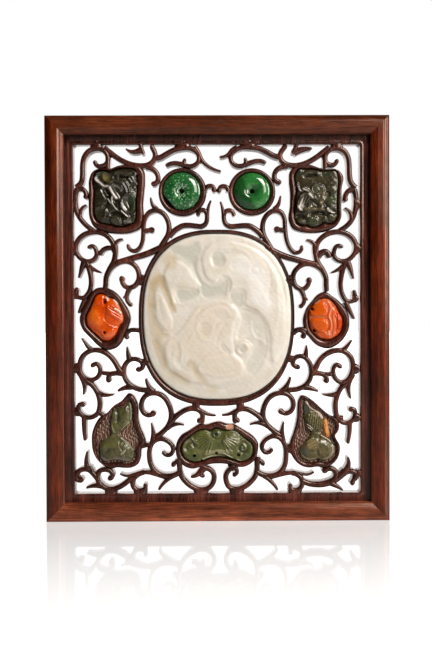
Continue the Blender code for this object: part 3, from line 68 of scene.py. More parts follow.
# Tendrils of the left half: (points, width at the start, width at the end, bulb radius).
# A tendril without a bulb whose end is much narrower is a thorn or leaf.
TENDRILS = {
    "corner_loop": ([(-99, 233.8), (-95.4, 237), (-94.3, 243), (-94.2, 249), (-93, 254.8),
        (-89.5, 259.3), (-84, 260.9), (-78.9, 259), (-76.5, 254.5), (-77.5, 250.3), (-80.5, 248.6),
        (-83.8, 248.8), (-85.3, 250.8)], 4, 3.4, 1.7),
    "loop_foot": ([(-76.5, 254.5), (-76.6, 250), (-76.8, 246)], 3.7, 3.6, 0),
    "top_wave": ([(-79, 261.5), (-75, 258.3), (-70.2, 254.6), (-65, 251.6), (-59.5, 249.6),
        (-53, 248.8), (-48, 249.6), (-44.6, 252.2), (-43.3, 256), (-44.5, 260), (-46.5, 262.8)], 4, 3.8, 0),
    "top_leaf": ([(-52.5, 260.8), (-56.5, 258.7), (-60.3, 258.6), (-63.8, 260.5)], 4.7, 1.2, 0),
    "top_leaf_bud": ([(-54.2, 265), (-52.6, 260), (-51.9, 258.1)], 3.5, 2.8, 1.6),
    "shoulder_hook": ([(-50, 248), (-46.5, 247.2), (-43.2, 244.8), (-41.5, 241.5), (-41.8, 238),
        (-44.2, 236.1)], 4, 3.6, 2.1),
    "edge_hook": ([(-98, 233), (-94.8, 232.8), (-92.3, 230.5), (-92, 227.3)], 3.9, 3.4, 1.9),
    "edge_bow": ([(-98, 233), (-99.3, 228.5), (-99.3, 222), (-97.6, 215), (-94, 209.5),
        (-89.5, 205.3), (-86, 203)], 3.9, 3.8, 0),
    "edge_leaf": ([(-96.5, 213), (-95.8, 217), (-94.2, 219.7), (-91.3, 221.3)], 3.7, 1.2, 0),
    "top_arch": ([(-43.3, 254), (-40, 254.6), (-35, 257.3), (-30, 259.9), (-25, 261), (-20, 261.2),
        (-15.6, 259.3), (-12.9, 255.8), (-13.2, 251.6), (-16.3, 248.9), (-20, 248.4),
        (-22.8, 249.5), (-22.8, 252.3)], 4, 3.2, 1.4),
    "top_tail": ([(-15.8, 262), (-12.9, 257.5), (-10.4, 252.3), (-6.4, 248.4), (-2, 246),
        (2.8, 244.6)], 3.8, 1.6, 0),
    "disc_leaf": ([(-22.5, 249), (-26, 250), (-29.5, 250.5), (-33, 250), (-36, 248.3)], 3.9, 2.8, 0),
    "disc_hook": ([(-8.5, 230.5), (-7.3, 233.8), (-4.8, 234.6), (-2.6, 233.8), (-2.2, 231.8)], 3.7, 3, 1.9),
    "brow_wave": ([(-34, 199), (-31.5, 202), (-28, 204.8), (-24, 206.8), (-20, 207.1),
        (-15, 206.6), (-11, 206.4), (-8.3, 208), (-7.2, 211.5), (-7.4, 215), (-9, 217.5),
        (-11.5, 217.6), (-13.4, 215)], 4.3, 3.2, 1.7),
    "brow_thorn": ([(-7.2, 211), (-6.8, 216), (-6, 220.3), (-4.3, 224.3)], 3.5, 1.4, 0),
    "shield_scroll": ([(-41.5, 189), (-38, 194.8), (-34.6, 200.5), (-33.8, 206), (-35, 211),
        (-38, 215.4), (-42.5, 217.6), (-47, 216.6), (-50.6, 212), (-51.7, 206), (-52, 200),
        (-52.6, 195.5), (-54.7, 191.2), (-58, 189.2), (-61, 190), (-62.5, 192.7)], 4.2, 3, 1.3),
    "shield_bud": ([(-51.5, 203), (-48.5, 203.5), (-46.1, 203.8)], 3.7, 3.4, 2.3),
    "shield_thorn": ([(-42, 218.3), (-44.8, 220.6), (-46, 223.3), (-46.4, 226.5)], 3.9, 1.2, 0),
    "side_scroll": ([(-72.2, 188), (-73.2, 194.5), (-76.7, 199.3), (-82.5, 202.3), (-89, 202.3),
        (-95, 199.7), (-98.6, 195), (-99.2, 190), (-96.8, 185), (-92.5, 182.2), (-88, 182.5),
        (-85, 185.5), (-85, 189.5), (-87.3, 192.6), (-89.6, 192)], 4.1, 3.2, 1.5),
    "side_hook": ([(-73.3, 191), (-77.3, 191.3), (-80.5, 189.7), (-81.9, 187.8)], 3.7, 3.4, 1.9),
    "side_leaf": ([(-71.8, 191), (-71.3, 194.6), (-69.2, 196.6), (-66, 197.2)], 3.7, 1.4, 0),
    "side_stem": ([(-71.8, 194), (-71.6, 187.5), (-72.7, 182), (-75.7, 176.5), (-78, 171),
        (-78.5, 165.5), (-79, 161.5)], 4, 3.9, 0),
    "cheek_band": ([(-72, 180.5), (-68, 181.8), (-63, 183.3), (-57.5, 184.8), (-52, 186.3),
        (-46, 188.6), (-40.5, 191), (-35, 193)], 4.1, 5, 0),
    "cheek_scroll": ([(-77.5, 172.5), (-75.2, 176.8), (-70.5, 180.5), (-64, 182), (-58.3, 179.3),
        (-55.3, 174), (-55.6, 168.5), (-59, 164.3), (-63, 163.5), (-66.2, 166), (-67, 169.5)], 4, 3.6, 2.2),
    "cheek_foot": ([(-61.5, 163), (-63.3, 159.5), (-63.8, 156.5), (-62.8, 153.3),
        (-61.2, 151.6)], 3.7, 3, 1.7),
    "cheek_spur": ([(-62.8, 159), (-66.2, 156)], 3.1, 1.2, 0),
    "side_drop": ([(-91.8, 181.5), (-90.2, 177), (-88.8, 171), (-88.8, 165), (-90.8, 159.5),
        (-94, 156.6), (-98, 157.2), (-99.3, 160), (-98.7, 162.4)], 4, 3, 1.5),
    "drop_thorn": ([(-93.5, 181.5), (-95, 177.5), (-96, 174), (-97.3, 170.3)], 4.5, 1.2, 0),
    "drop_spur": ([(-90.5, 178.5), (-87, 176.5), (-84, 175), (-81.2, 174.1)], 3.7, 1.2, 0),
    "ring_thorn": ([(-92.5, 156), (-95.4, 150.5), (-97.4, 145.6)], 3.7, 1.8, 0),
    "waist_hook": ([(-54, 133), (-58, 133.7), (-62, 133.2), (-64, 130.8), (-63.8, 128.7)], 3.5, 3.2, 1.8),
    "low_scroll": ([(-66.3, 103), (-69.3, 106), (-72, 110.8), (-75.3, 115), (-80, 118.3),
        (-86, 119.7), (-91.5, 118.3), (-95.5, 114.5), (-97, 109), (-96.2, 103.7), (-93, 100),
        (-88.8, 98.8), (-84.8, 100.5), (-82.7, 104.5), (-83.3, 108.3), (-85.6, 110.2),
        (-87.6, 109.2)], 4.1, 3.2, 1.8),
    "low_thorn": ([(-88, 119.5), (-90.8, 121.8), (-93, 124.8), (-95.4, 128.3)], 3.7, 1.2, 0),
    "low_drop": ([(-97.5, 104), (-92.5, 98), (-88.5, 95.3), (-85.3, 91), (-83.3, 85.5),
        (-83.2, 79.5), (-85, 74.8), (-89, 72.5), (-94, 73), (-97, 75.6), (-98, 79), (-97, 81.6),
        (-94.9, 81.6)], 4.1, 3.4, 2),
    "low_thorn_down": ([(-95.5, 101), (-93.9, 96), (-93.7, 92), (-94.4, 88.4)], 4.5, 1.2, 0),
    "low_spur": ([(-84.5, 90), (-81, 88.4), (-77, 88), (-72.8, 88.7)], 4.1, 1.2, 0),
    "low_tail": ([(-94, 74), (-94.1, 69), (-94, 64), (-93.6, 59.5), (-93.2, 56.2)], 3.8, 2.6, 0),
    "gourd_link": ([(-84, 76), (-80, 73.5)], 3.7, 3.6, 0),
    "chin_scroll": ([(-44, 90.3), (-50, 91.2), (-56, 92.2), (-61.5, 95), (-65, 99.5), (-66.2, 105),
        (-64.8, 110), (-61, 113), (-56.5, 113), (-53.2, 110.5), (-53.2, 107), (-55.6, 106)], 4, 3.4, 2),
    "chin_thorn": ([(-62, 112.5), (-63, 117), (-63.6, 122.3)], 4.5, 1, 0),
    "chin_spur": ([(-60.5, 93.8), (-65.5, 93), (-70.3, 90.9)], 4.7, 1.8, 0),
    "chin_hook": ([(-67, 102.7), (-72.5, 103.3), (-76.3, 102), (-76.7, 99)], 3.9, 3.6, 2.2),
    "chin_link": ([(-75.5, 103), (-81.5, 103.6)], 3.3, 3.2, 0),
    "lyre_scroll": ([(-44, 58), (-39.5, 61.3), (-35.2, 66), (-33.3, 70.5), (-33, 76),
        (-34.6, 81.5), (-37.8, 86.3), (-42.5, 89), (-47.5, 89), (-51.8, 86.5), (-53.7, 82.5),
        (-53.5, 78), (-51.3, 74.8), (-48, 73.8), (-45.6, 75)], 4.1, 3.6, 2.3),
    "lyre_thorn": ([(-45, 90), (-48.3, 93.7), (-50.5, 99.8)], 4.5, 1.6, 0),
    "lyre_spur": ([(-36, 64.3), (-31.5, 66.8), (-27.5, 67.5), (-23.6, 66.7)], 3.9, 1.2, 0),
    "canopy": ([(-33.5, 68), (-30.8, 71.5), (-27, 74.8), (-22.5, 77.4), (-17.5, 78.3),
        (-13.5, 77.2), (-11.1, 74.5), (-11, 70.5), (-11.3, 67.5)], 4.1, 3.8, 0),
    "canopy_bud": ([(-11, 71.5), (-13.1, 69.9)], 3.5, 3, 1.9),
    "canopy_tail": ([(-15.5, 78), (-11.5, 76.3), (-7, 74.3), (-1.3, 73.5)], 3.7, 1.3, 0),
    "canopy_neck": ([(-15.5, 77.5), (-15.5, 84)], 5.9, 5.8, 0),
    "bell_scroll": ([(-28, 32.8), (-33, 31), (-38, 31), (-43, 33.2), (-46.8, 37.8), (-48.4, 44.5),
        (-47.8, 51), (-44.8, 55.5), (-40.3, 57), (-35.5, 55.4), (-32.2, 52), (-31.8, 48.3),
        (-34, 45.8), (-36.6, 45.9), (-38.2, 47.2)], 4.1, 3.2, 1.6),
    "bell_thorn": ([(-46.2, 54), (-45.6, 59), (-45.8, 63.5), (-46.9, 68.5)], 4.5, 1.2, 0),
    "gourd_tie": ([(-56, 51.3), (-48, 53.3)], 3.4, 3.4, 0),
    "foot_scroll": ([(-28.5, 43.5), (-27.4, 39.5), (-27, 35), (-25.8, 30.8), (-22.6, 26.6),
        (-18, 23), (-12, 21.1), (-6.5, 22.5), (-3.4, 26.5), (-2.9, 31), (-5, 34.8), (-9, 36.6),
        (-12, 38)], 4.1, 3.8, 0),
    "foot_hook": ([(-28, 41), (-29.8, 40.6), (-31.3, 39.2)], 3.3, 3, 1.9),
    "foot_leaf": ([(-9, 37.3), (-12.5, 33.8), (-15.7, 31.2), (-19.4, 30.5)], 5.5, 2, 0),
    "foot_bud": ([(-11.5, 34), (-12.3, 31.5), (-10.7, 30.9)], 3.1, 2.4, 1.4),
    "foot_thorn": ([(-26.5, 33.5), (-31, 31.3), (-35.5, 28.5), (-39, 25.2), (-41.8, 21.3)], 4.1, 2, 0),
    "foot_wave": ([(-37, 30.3), (-43.5, 32.3), (-49, 33.6), (-54, 33.5), (-60, 32), (-64.5, 31.3),
        (-69, 33)], 4.1, 1.4, 0),
    "foot_curl": ([(-52, 33.6), (-57, 31.5), (-59.9, 28), (-59.9, 24), (-57.3, 21.2),
        (-53.9, 20.9), (-51.5, 22.3), (-51.2, 24.4)], 4, 3.4, 1.7),
    "corner_scroll": ([(-60.5, 30.5), (-65.5, 25.8), (-70.5, 22.9), (-75.5, 21.7), (-80.3, 23.2),
        (-84, 27), (-85, 31), (-83.3, 34.6), (-79.5, 35.7), (-75.8, 34.5), (-74.2, 32),
        (-75.6, 29.8)], 4.1, 3.6, 2.1),
    "corner_spur": ([(-81, 24), (-87, 24.4), (-92.7, 22.9)], 4.7, 1.6, 0),
    "corner_curl": ([(-84.5, 28.5), (-87.5, 32.5), (-91, 35.6), (-95, 35.9), (-98.5, 34),
        (-99.8, 30.8), (-98.8, 28.4), (-96.6, 28.6)], 4.1, 3.6, 2.3),
    "corner_thorn": ([(-91, 35), (-92.6, 40), (-92.5, 44.5), (-91.6, 49)], 4.5, 1.2, 0),
    "corner_prop": ([(-88, 34.5), (-90.5, 38.5)], 2.9, 2.8, 0),
    "loop_pad": ([(-84.5, 261), (-84.5, 266)], 9, 10.5, 0),
    "arch_pad": ([(-24, 260.5), (-23.5, 266)], 13, 17, 0),
    "foot_pad_a": ([(-75.5, 22), (-75.5, 16)], 9, 10, 0),
    "foot_pad_b": ([(-54.8, 21), (-54.8, 16)], 10.5, 11, 0),
    "foot_pad_c": ([(-12, 21.5), (-12, 16)], 11.5, 13, 0),
    "low_pad": ([(-97, 107), (-102, 107)], 8, 9, 0),
    "drop_pad": ([(-97.5, 76.5), (-102, 76.5)], 7, 8, 0),
    "corner_pad": ([(-98.5, 31), (-102, 31)], 7, 8, 0),
    "side_pad": ([(-98.5, 190.5), (-102, 190.5)], 12, 13, 0),
    "bow_pad": ([(-98.5, 224), (-102, 224)], 18, 19, 0),
    "drop_tie": ([(-97, 158.5), (-102, 158.5)], 6, 7, 0),
    "cheek_tie": ([(-55.3, 169), (-50, 169)], 8, 9, 0),
    "chin_tie": ([(-53.3, 111), (-48, 111.5)], 5, 6, 0),
}

# Tendrils that the right half has in another form, in mirrored places
RIGHT_ONLY = {
    "top_tail": ([(-14, 261.5), (-10.5, 259.6), (-7.8, 256.6), (-5.2, 255.1), (-1.6, 254.7)], 3.5, 1.6, 0),
    "top_leaf": ([(-53.5, 257.8), (-57.5, 259.3), (-62, 260.2), (-66.5, 260.3)], 5.7, 2, 0),
    "foot_bud": ([(-7.5, 36.8), (-10.5, 37.2), (-13, 35.2), (-13.1, 32.8), (-11.6, 31.6)], 3.6, 3, 1.6),
    "side_hook": ([(-70.5, 184.5), (-73.5, 187.6), (-76.5, 188.2), (-78.2, 186)], 5.5, 3.9, 2.3),
    "waist_hook": ([(-52.8, 130.3), (-55.6, 133), (-59, 133.6), (-62.5, 132.6)], 4.1, 4, 0),
    "waist_curl": ([(-58, 133), (-60.6, 131.6), (-60.4, 129)], 3.5, 3, 2.1),
    "gourd_link": ([(-88, 70.5), (-83.5, 71)], 5, 4.9, 0),
    "gourd_tie": ([(-53, 50), (-48.5, 50)], 9.5, 9.5, 0),
    "corner_band": ([(-89.5, 34), (-86, 30.5), (-81.7, 27.3), (-76.5, 25.2), (-69.5, 24.4),
        (-63, 25.4), (-58.4, 27.8)], 5.7, 4, 0),
    "corner_thorn": ([(-88, 32), (-91.3, 36.5), (-92, 40), (-91.2, 44)], 5.5, 1.4, 0),
    "corner_scroll": ([(-79.5, 26.3), (-82.6, 29.3), (-82.9, 33), (-80.3, 35.4), (-77.3, 35.4),
        (-75.3, 34.4)], 4.3, 3.8, 2.3),
    "corner_spur": ([(-79, 25.5), (-83.5, 23.2), (-87.8, 20.4)], 4.5, 1.4, 0),
    "corner_curl": ([(-87, 31.2), (-91.5, 33.4), (-96, 33), (-97.6, 30), (-95.5, 27.6),
        (-94.6, 25.6)], 4.5, 3.4, 1.9),
    "corner_bud": ([(-97, 30.5), (-96.6, 29.2)], 3.5, 3.4, 2.3),
    "corner_pad": ([(-98, 32.3), (-102, 32.3)], 5, 6, 0),
}

# Tendrils of the left half that the right half does without
LEFT_ONLY = ("foot_leaf", "corner_prop", "foot_pad_a")

# How far a nudge is felt, and the pull towards no move away from all of them
REACH = 6.5
CALM = 0.03

# How the right half differs from a true mirror: (x, z, move in x, move in z), in mirrored places
NUDGES = {
    "loop_top": (-84.5, 261, 0, -0.6), "loop_side": (-94.6, 245, 1.3, 0),
    "loop_drop": (-76.5, 254, 0.2, 0), "loop_bulb": (-85.2, 250.7, 2.4, 1.2),
    "wave_low": (-57, 248.9, 1, -0.4), "wave_end": (-45.6, 260, -3.4, 0),
    "arch_start": (-43, 254.5, -0.8, 0), "arch_rise": (-31, 259, -0.5, 0.8),
    "arch_side": (-12.9, 254.5, 3.9, 0), "arch_turn": (-15, 260, 2.2, 0.2),
    "arch_foot": (-19, 248.5, 2.6, -0.4), "arch_tail": (-36, 248.5, 3.4, 4),
    "arch_bud": (-22.9, 252.5, 4.1, 0.5), "shoulder": (-42, 244, 1.2, 0.3),
    "shoulder_bulb": (-44.3, 236.2, 0.6, 1), "brow_side": (-7.3, 214, 3.3, 0),
    "brow_thorn": (-4.4, 224, 3.7, -1.8), "brow_low": (-23, 207.2, 0.6, -0.4),
    "brow_start": (-32, 201, 1.2, -1), "disc_leaf": (-13.5, 215.2, 1.2, 0),
    "shield_left": (-51.7, 207, 3.7, 0), "shield_top": (-43.3, 217.6, 1.9, -1.5),
    "shield_right": (-34, 206.5, 2.5, 0), "shield_thorn": (-46.5, 226, 2.7, 1.9),
    "shield_bulb": (-46.3, 204, 6, 1.4), "shield_low": (-52.2, 199, 3.8, 0),
    "shield_hook": (-62.5, 192.9, 4.6, -0.3), "shield_turn": (-58.6, 188.3, 3.8, -1.5),
    "edge_bow": (-98.5, 215, 0.7, 0), "edge_leaf_tip": (-91.5, 221.3, 2, -2.5),
    "edge_leaf": (-96.5, 215, 3.5, -4.6), "side_top": (-85.5, 202.7, 0, -0.4),
    "side_left": (-99, 191.5, 2.8, 0), "side_low": (-91, 182, 2, -0.3),
    "side_bulb": (-89.6, 192.2, 3.9, 1.2), "side_in": (-84.5, 188.5, 2.8, -0.5),
    "side_hook": (-81.9, 188, 4, -2.3), "stem_top": (-73, 187, 2.5, 0),
    "stem_mid": (-78.6, 167.5, 2.5, 0), "stem_low": (-79, 162, 2, -3),
    "leaf_tip": (-66, 197.5, 5, -1.5), "leaf_base": (-72.3, 191.5, 2.6, -0.5),
    "cheek_mid": (-58, 185, 0, -2.8), "cheek_end": (-46, 190.5, 1, -3),
    "cheek_top": (-65.2, 182, 0, -3.7), "cheek_right": (-55.2, 172, 1.7, 0),
    "cheek_bulb": (-67, 169.6, 3.4, -1.3), "cheek_low": (-61.7, 162, 3.2, -1.2),
    "cheek_foot": (-61.3, 151.8, 2.2, -0.8), "cheek_spur": (-65.5, 156, 3, -3),
    "drop_mid": (-88.6, 171.4, 2.2, 0), "drop_low": (-88.5, 162.5, 3, 0),
    "drop_turn": (-95.5, 155.2, 2.3, -5), "drop_bulb": (-98.8, 162.5, 4, -2.7),
    "ring_thorn": (-97.5, 146, 1.2, -5), "drop_thorn": (-97.2, 170.3, 0.5, -1.5),
    "drop_spur": (-81.2, 174.2, 0.2, -1), "waist": (-57, 134.5, 2.5, 0.3),
    "low_top": (-85.5, 119.7, 0, -0.6), "low_left": (-97, 110, 1.5, 0),
    "low_bulb": (-88, 108.8, 2.3, -1.8), "low_right": (-71, 110, 1.2, 0),
    "low_thorn": (-95.3, 128.3, 1.3, -2.3), "chin_top": (-59.5, 113.5, 0.5, 2.2),
    "chin_bulb": (-56, 105.5, -1, 1), "chin_thorn": (-63.6, 122, 1.5, 0),
    "chin_tie": (-51, 111, 0, 2.3), "low_drop": (-83.5, 81, 0.2, 0),
    "low_turn": (-90, 72.5, -0.5, -4.6), "low_bulb2": (-95, 81.5, 1.7, -5.2),
    "thorn_down": (-94.4, 88.4, 0, -3.2), "thorn_down_root": (-95, 99, 3.5, -3.5),
    "low_spur": (-73, 88.6, -2, 0.3), "tail_end": (-93.2, 57, 2, -3), "tail_top": (-94, 73, 3, -6),
    "lyre_left": (-54, 81, 0.5, 0), "lyre_top": (-44.5, 90, 1, -0.9), "lyre_right": (-33, 76, 1.4, 0),
    "lyre_bulb": (-45.5, 75.2, 1.9, 2.7), "lyre_thorn": (-50.2, 99.8, -0.8, 1.5),
    "chin_low": (-58, 94.5, 0, -1.5), "chin_spur": (-70, 91.2, 1, -1.2),
    "chin_hook": (-76.8, 99.2, 0.2, -1.6), "canopy": (-23.5, 76.5, 0, -0.8),
    "canopy_bud": (-12.7, 70.2, -1.5, 0.3), "canopy_leaf": (-23.6, 66.7, 2.7, 0),
    "canopy_root": (-34, 65, 1, 2), "bell_top": (-40, 57.3, 0.5, 2),
    "bell_right": (-31.2, 50, 0.5, 0.8), "bell_bulb": (-38.5, 47.3, 1.2, 2.5),
    "bell_thorn": (-46.8, 68.4, 0, -1), "bell_left": (-48.4, 48.5, 0.4, 0),
    "bell_low": (-37, 31, 0, -0.3), "foot_tip": (-69, 33, 1.8, 0.8), "foot_band": (-50, 33.4, 0, -1.5),
    "foot_wave": (-60.2, 27, 0.8, 0), "disc_hook": (-2.6, 232, 0, 0), "disc_hook_root": (-8, 233, 0, 0),
    "side_pad": (-99, 190.5, 0, 0), "foot_right": (-2.8, 30, -2.9, 0),
    "foot_low": (-13, 21.4, -0.8, 0.3), "foot_left": (-26.7, 34.5, -0.6, 0.2),
}

# Rings of the carving that hold the plaques: points round the outer edge
RINGS = {
    "upper_left_plaque": [(-90, 231), (-89.6, 240), (-87.5, 244.5), (-82, 247), (-75, 246.8),
        (-69, 249), (-62, 249.5), (-55, 248.8), (-51.3, 245.5), (-50.4, 239), (-51, 230),
        (-51.8, 222), (-51.6, 213), (-53.5, 205.5), (-60, 202), (-70, 201.2), (-79, 202.6),
        (-86, 205.6), (-89.3, 211.5), (-90.2, 221)],
    "upper_right_plaque": [(88, 242.5), (84, 246), (77.5, 246.2), (71.5, 247.2), (66.5, 249),
        (60, 249.2), (55, 248), (51, 244.5), (50.3, 238), (51, 230), (50.9, 221), (50.3, 210),
        (53, 204.5), (58, 202.3), (65.5, 201.3), (73, 201.8), (79.5, 203.7), (84, 206.5),
        (86.8, 211), (87.3, 220), (87.5, 232)],
    "carnelian_left": [(-80, 163.8), (-74, 162), (-69.3, 158.3), (-65, 152), (-62, 147),
        (-60.9, 141.5), (-62.5, 136), (-65, 130.5), (-67.5, 125), (-71.5, 121), (-78, 119.7),
        (-83.5, 122.3), (-89.2, 128), (-94.8, 134.3), (-96.9, 140.5), (-95.9, 146.5),
        (-93, 153), (-89, 159.7), (-85, 163.2)],
    "carnelian_right": [(75, 160.2), (81, 157), (86.5, 152.5), (91, 147), (92.8, 140.5),
        (92.2, 133.5), (89.5, 128), (85, 123.3), (78, 120.2), (71, 121.8), (65.5, 126.8),
        (61.3, 133), (59.8, 140), (61.8, 147.5), (66, 153.5), (70, 158)],
    "lower_left_plaque": [(-63, 89.2), (-59.3, 87.7), (-57, 84), (-56, 78), (-55.7, 71.5),
        (-54.3, 65.5), (-52, 60), (-50.8, 54.5), (-53.8, 49.5), (-54.2, 44.5), (-56, 39.7),
        (-60.5, 37), (-66, 36.6), (-70.5, 37), (-75.5, 36.3), (-80.8, 38.7), (-85.2, 43),
        (-88, 48.5), (-88.9, 55), (-88.6, 61), (-86.7, 67), (-83.5, 72), (-78, 75.7),
        (-73.5, 80.5), (-68, 83.9), (-65, 87.2)],
    "lower_right_plaque": [(58.5, 87.2), (62, 86.8), (65.5, 84.7), (70, 81), (74.5, 76.7),
        (79, 73.3), (83.5, 71), (85.6, 66), (84.5, 61.5), (82.7, 59), (83.7, 56), (85.7, 52.5),
        (85.8, 47), (83.5, 41.5), (78.5, 37.3), (74, 36), (70, 36.8), (65.5, 36.2), (61, 36.7),
        (56.5, 39), (52.7, 43.5), (50.8, 48.5), (50.8, 55), (52.8, 61), (54.5, 67), (55.5, 73),
        (56, 79.5), (56.7, 84.5)],
    "cloud_plaque": [(-29.8, 51), (-28.8, 55.5), (-25.9, 59.7), (-21, 62.7), (-17.3, 65.2),
        (-13, 67.5), (-8, 67.2), (-3.5, 68.5), (1, 69.2), (6, 67.7), (11, 67.2), (16, 64.7),
        (20, 62.2), (25, 58.7), (28.2, 54), (28.2, 48.5), (26.7, 43), (22.5, 38.8),
        (17.5, 36.8), (12, 37.5), (6, 39), (0, 39.4), (-6.8, 38.8), (-12, 37.3), (-18.2, 35.8),
        (-24, 37.8), (-28.4, 42.3), (-29.7, 46.5)],
}

# Stone outlines, and the wider recesses where a stone does not fill its ring
STONES = {
    "upper_left_plaque": [(-86, 240), (-84.5, 244.1), (-80, 245.3), (-75, 244.6), (-70, 246.2),
        (-62, 246.7), (-57.5, 245.3), (-56, 241), (-56, 232), (-56.8, 222), (-57, 214),
        (-58.5, 209), (-62, 207.4), (-66, 206.2), (-70, 206.2), (-74, 207.4), (-78, 208.2),
        (-82, 209.3), (-85.3, 212.5), (-86.3, 220), (-85.8, 230)],
    "upper_right_plaque": [(55, 242), (57, 245.6), (62, 245.8), (68, 245.6), (73, 244.6),
        (79, 244.6), (83, 244.6), (84.6, 240), (84.3, 230), (84, 220), (84.2, 214),
        (82.5, 209.5), (78, 208.1), (74.5, 208.6), (71, 206.4), (66, 205.6), (62.5, 207),
        (59, 206.9), (56, 209), (54.8, 213), (54.8, 222), (56.2, 232)],
    "carnelian_left": [(-84, 158.6), (-80, 158.8), (-77, 156.8), (-72.5, 155.3), (-69.5, 152.5),
        (-67.5, 147.8), (-65.9, 143), (-66.3, 139.8), (-68.8, 136.5), (-70.7, 132),
        (-73.5, 128.3), (-76, 126.4), (-80, 126.4), (-84, 129.8), (-88.5, 133.8),
        (-91.7, 138), (-91.6, 144), (-89.3, 148.5), (-87.3, 153.5)],
    "carnelian_right": [(72.5, 155), (77, 155.2), (82, 151.3), (85, 146), (87.4, 142),
        (87.5, 136), (85.5, 131), (81.5, 127.8), (77, 126.5), (72, 127.4), (68, 130.6),
        (65, 134.5), (64, 140), (64.2, 146), (67, 150.8), (70, 153.6)],
    "lower_left_plaque": [(-61.3, 82.4), (-60.5, 79), (-60.3, 74.5), (-60.8, 70), (-63.5, 66.3),
        (-67.8, 63), (-68.8, 60.5), (-66.5, 57.3), (-63, 53.8), (-60, 50), (-58.6, 46.5),
        (-59.8, 43), (-62.5, 41.3), (-66, 41.2), (-70, 42.1), (-75, 42), (-79, 41.3),
        (-82.3, 43.3), (-83.4, 48), (-83, 54), (-80.5, 57), (-76.5, 58.5), (-75.2, 61.5),
        (-75.5, 66), (-74.9, 71.5), (-74, 77), (-70, 78.8), (-65.5, 79.6)],
    "lower_right_plaque": [(61.8, 83.6), (64, 80.2), (67.5, 77.6), (71.5, 75.5), (74.2, 71.5),
        (74, 66.5), (72.6, 62.5), (74.2, 59.4), (78.5, 56.5), (81.5, 52.5), (82.2, 48),
        (80.3, 44.3), (77.3, 42.1), (73, 41.4), (69.5, 42.3), (66, 41.4), (61.5, 41.9),
        (58.3, 44.2), (57.2, 48), (58.8, 52), (61.8, 55.2), (64.6, 58.5), (65.4, 61.5),
        (62.8, 65.2), (60.9, 69.5), (60.5, 75), (60.5, 80)],
    "cloud_plaque": [(-25.9, 50), (-24.7, 53.5), (-21.5, 57), (-17, 60.4), (-12.5, 62.9),
        (-8.5, 63.3), (-5, 62.4), (-2.8, 63.7), (0, 64), (2.8, 62.8), (8, 62.7), (12.5, 62.2),
        (16.3, 59.3), (20.5, 56), (23.6, 53.3), (24.7, 49.8), (24.1, 46), (21, 42.4),
        (16.5, 41), (12, 42.1), (7, 43.8), (0, 44.6), (-6, 43.7), (-11, 41.5), (-15.5, 40.8),
        (-21, 42.2), (-24.7, 45.6)],
}

RECESSES = {
    "lower_left_plaque": [(-62.3, 84.5), (-59.8, 80), (-59.3, 72), (-58.3, 66), (-56, 60.5),
        (-55.3, 56), (-57.3, 51), (-57.6, 46), (-58.8, 42), (-61.5, 40.3), (-66, 40.1),
        (-70, 41), (-75, 40.9), (-79, 40.2), (-83, 42), (-84.8, 47), (-85.5, 53), (-85.8, 60),
        (-83.3, 66.5), (-80, 71), (-77, 75), (-74.5, 78), (-70, 79.8), (-65.8, 81)],
    "lower_right_plaque": [(60.2, 84.9), (63.8, 83.2), (67.8, 80.2), (72, 78), (75.5, 75),
        (78, 72), (81, 70), (82.8, 66), (81.8, 61.5), (79.8, 59.5), (82, 56), (83.3, 51.5),
        (83, 46), (80.3, 42), (76, 40.3), (70, 40.9), (66, 40.1), (61, 40.5), (57.2, 43),
        (55.2, 48), (54.2, 53), (54.5, 58), (55.8, 62), (57.3, 66), (58.3, 72), (58.5, 78)],
}

# Jade plaque and its ring: their centres, their half sizes, and how square their ovals are
JADE_CENTRE = (-0.2, 142.85)
JADE_HALF = (51.9, 58.1)
JADE_RING_CENTRE = (-0.7, 142.0)
JADE_RING_HALF = (54.9, 62.1)
JADE_SQUARENESS = 2.45

# Pierced discs: (x, z, radius, outer radius of the ring, centre of the ring)
DISCS = {"disc_left": (-24.8, 230.9, 13.1, 17.0, (-24.3, 230.3)),
         "disc_right": (24.4, 230.7, 12.9, 16.7, (24.3, 230.3))}

# Chord ground off a disc's rim: its direction from the middle, and how far out it lies
DISC_FLATS = {"disc_left": (math.radians(220.4), 11.3)}

# Width of the hairline left in a mitre, in millimetres
MITRE_LINE = 0.04

# Most that a smooth curve swings out at a point, in lengths of the straight line to the next
SWING_MOST = 2.2

# How finely the scene's pieces are made
CURVE_STEP = 0.4
TENDRIL_STEP = 0.25
RAIL_STEP = 0.35
STROKE_STEP = 1.0
DISC_STEP = 0.15
STATION = 1.1
END_STATIONS = 7
CROWN_STEPS = 9
RING_STEPS = 150
JADE_RING_STEPS = 360
JADE_RIM_STEPS = 1500
BORDER_CORNER_STEPS = 6
RAIL_STATIONS = 3
DISC_SPOKES = 180

# Angles in degrees beyond which an edge is drawn sharp
SHARP = 38.0
STONE_SHARP = 50.0
DISC_SHARP = 40.0

# Run of a tendril: the length of its finely stepped end in bulb radii and at least, the least that
# comes before it, what is left off its tip, and how far its direction is measured over
FINE_BULBS = 1.3
FINE_LEAST = 1.5
COARSE_LEAST = 0.5
TIP_GAP = 0.02
LOOK = 0.3

# Widths along a tendril: the end width, as a share of the start width, below which it is a thorn,
# how full a thorn is, and the least half width
THORN_BELOW = 0.7
THORN_FULLNESS = 1.3
HALF_LEAST = 0.05

# Section of a tendril: how far its front rounds over and how fully, its front width against its
# back, and where its upright side has a row
CROWN_SHARE = 0.95
CROWN_MOST = 1.9
CROWN_POWER = 0.9
SIDE_SHARE = 0.94
SIDE_ROW = PANEL_BACK - 5

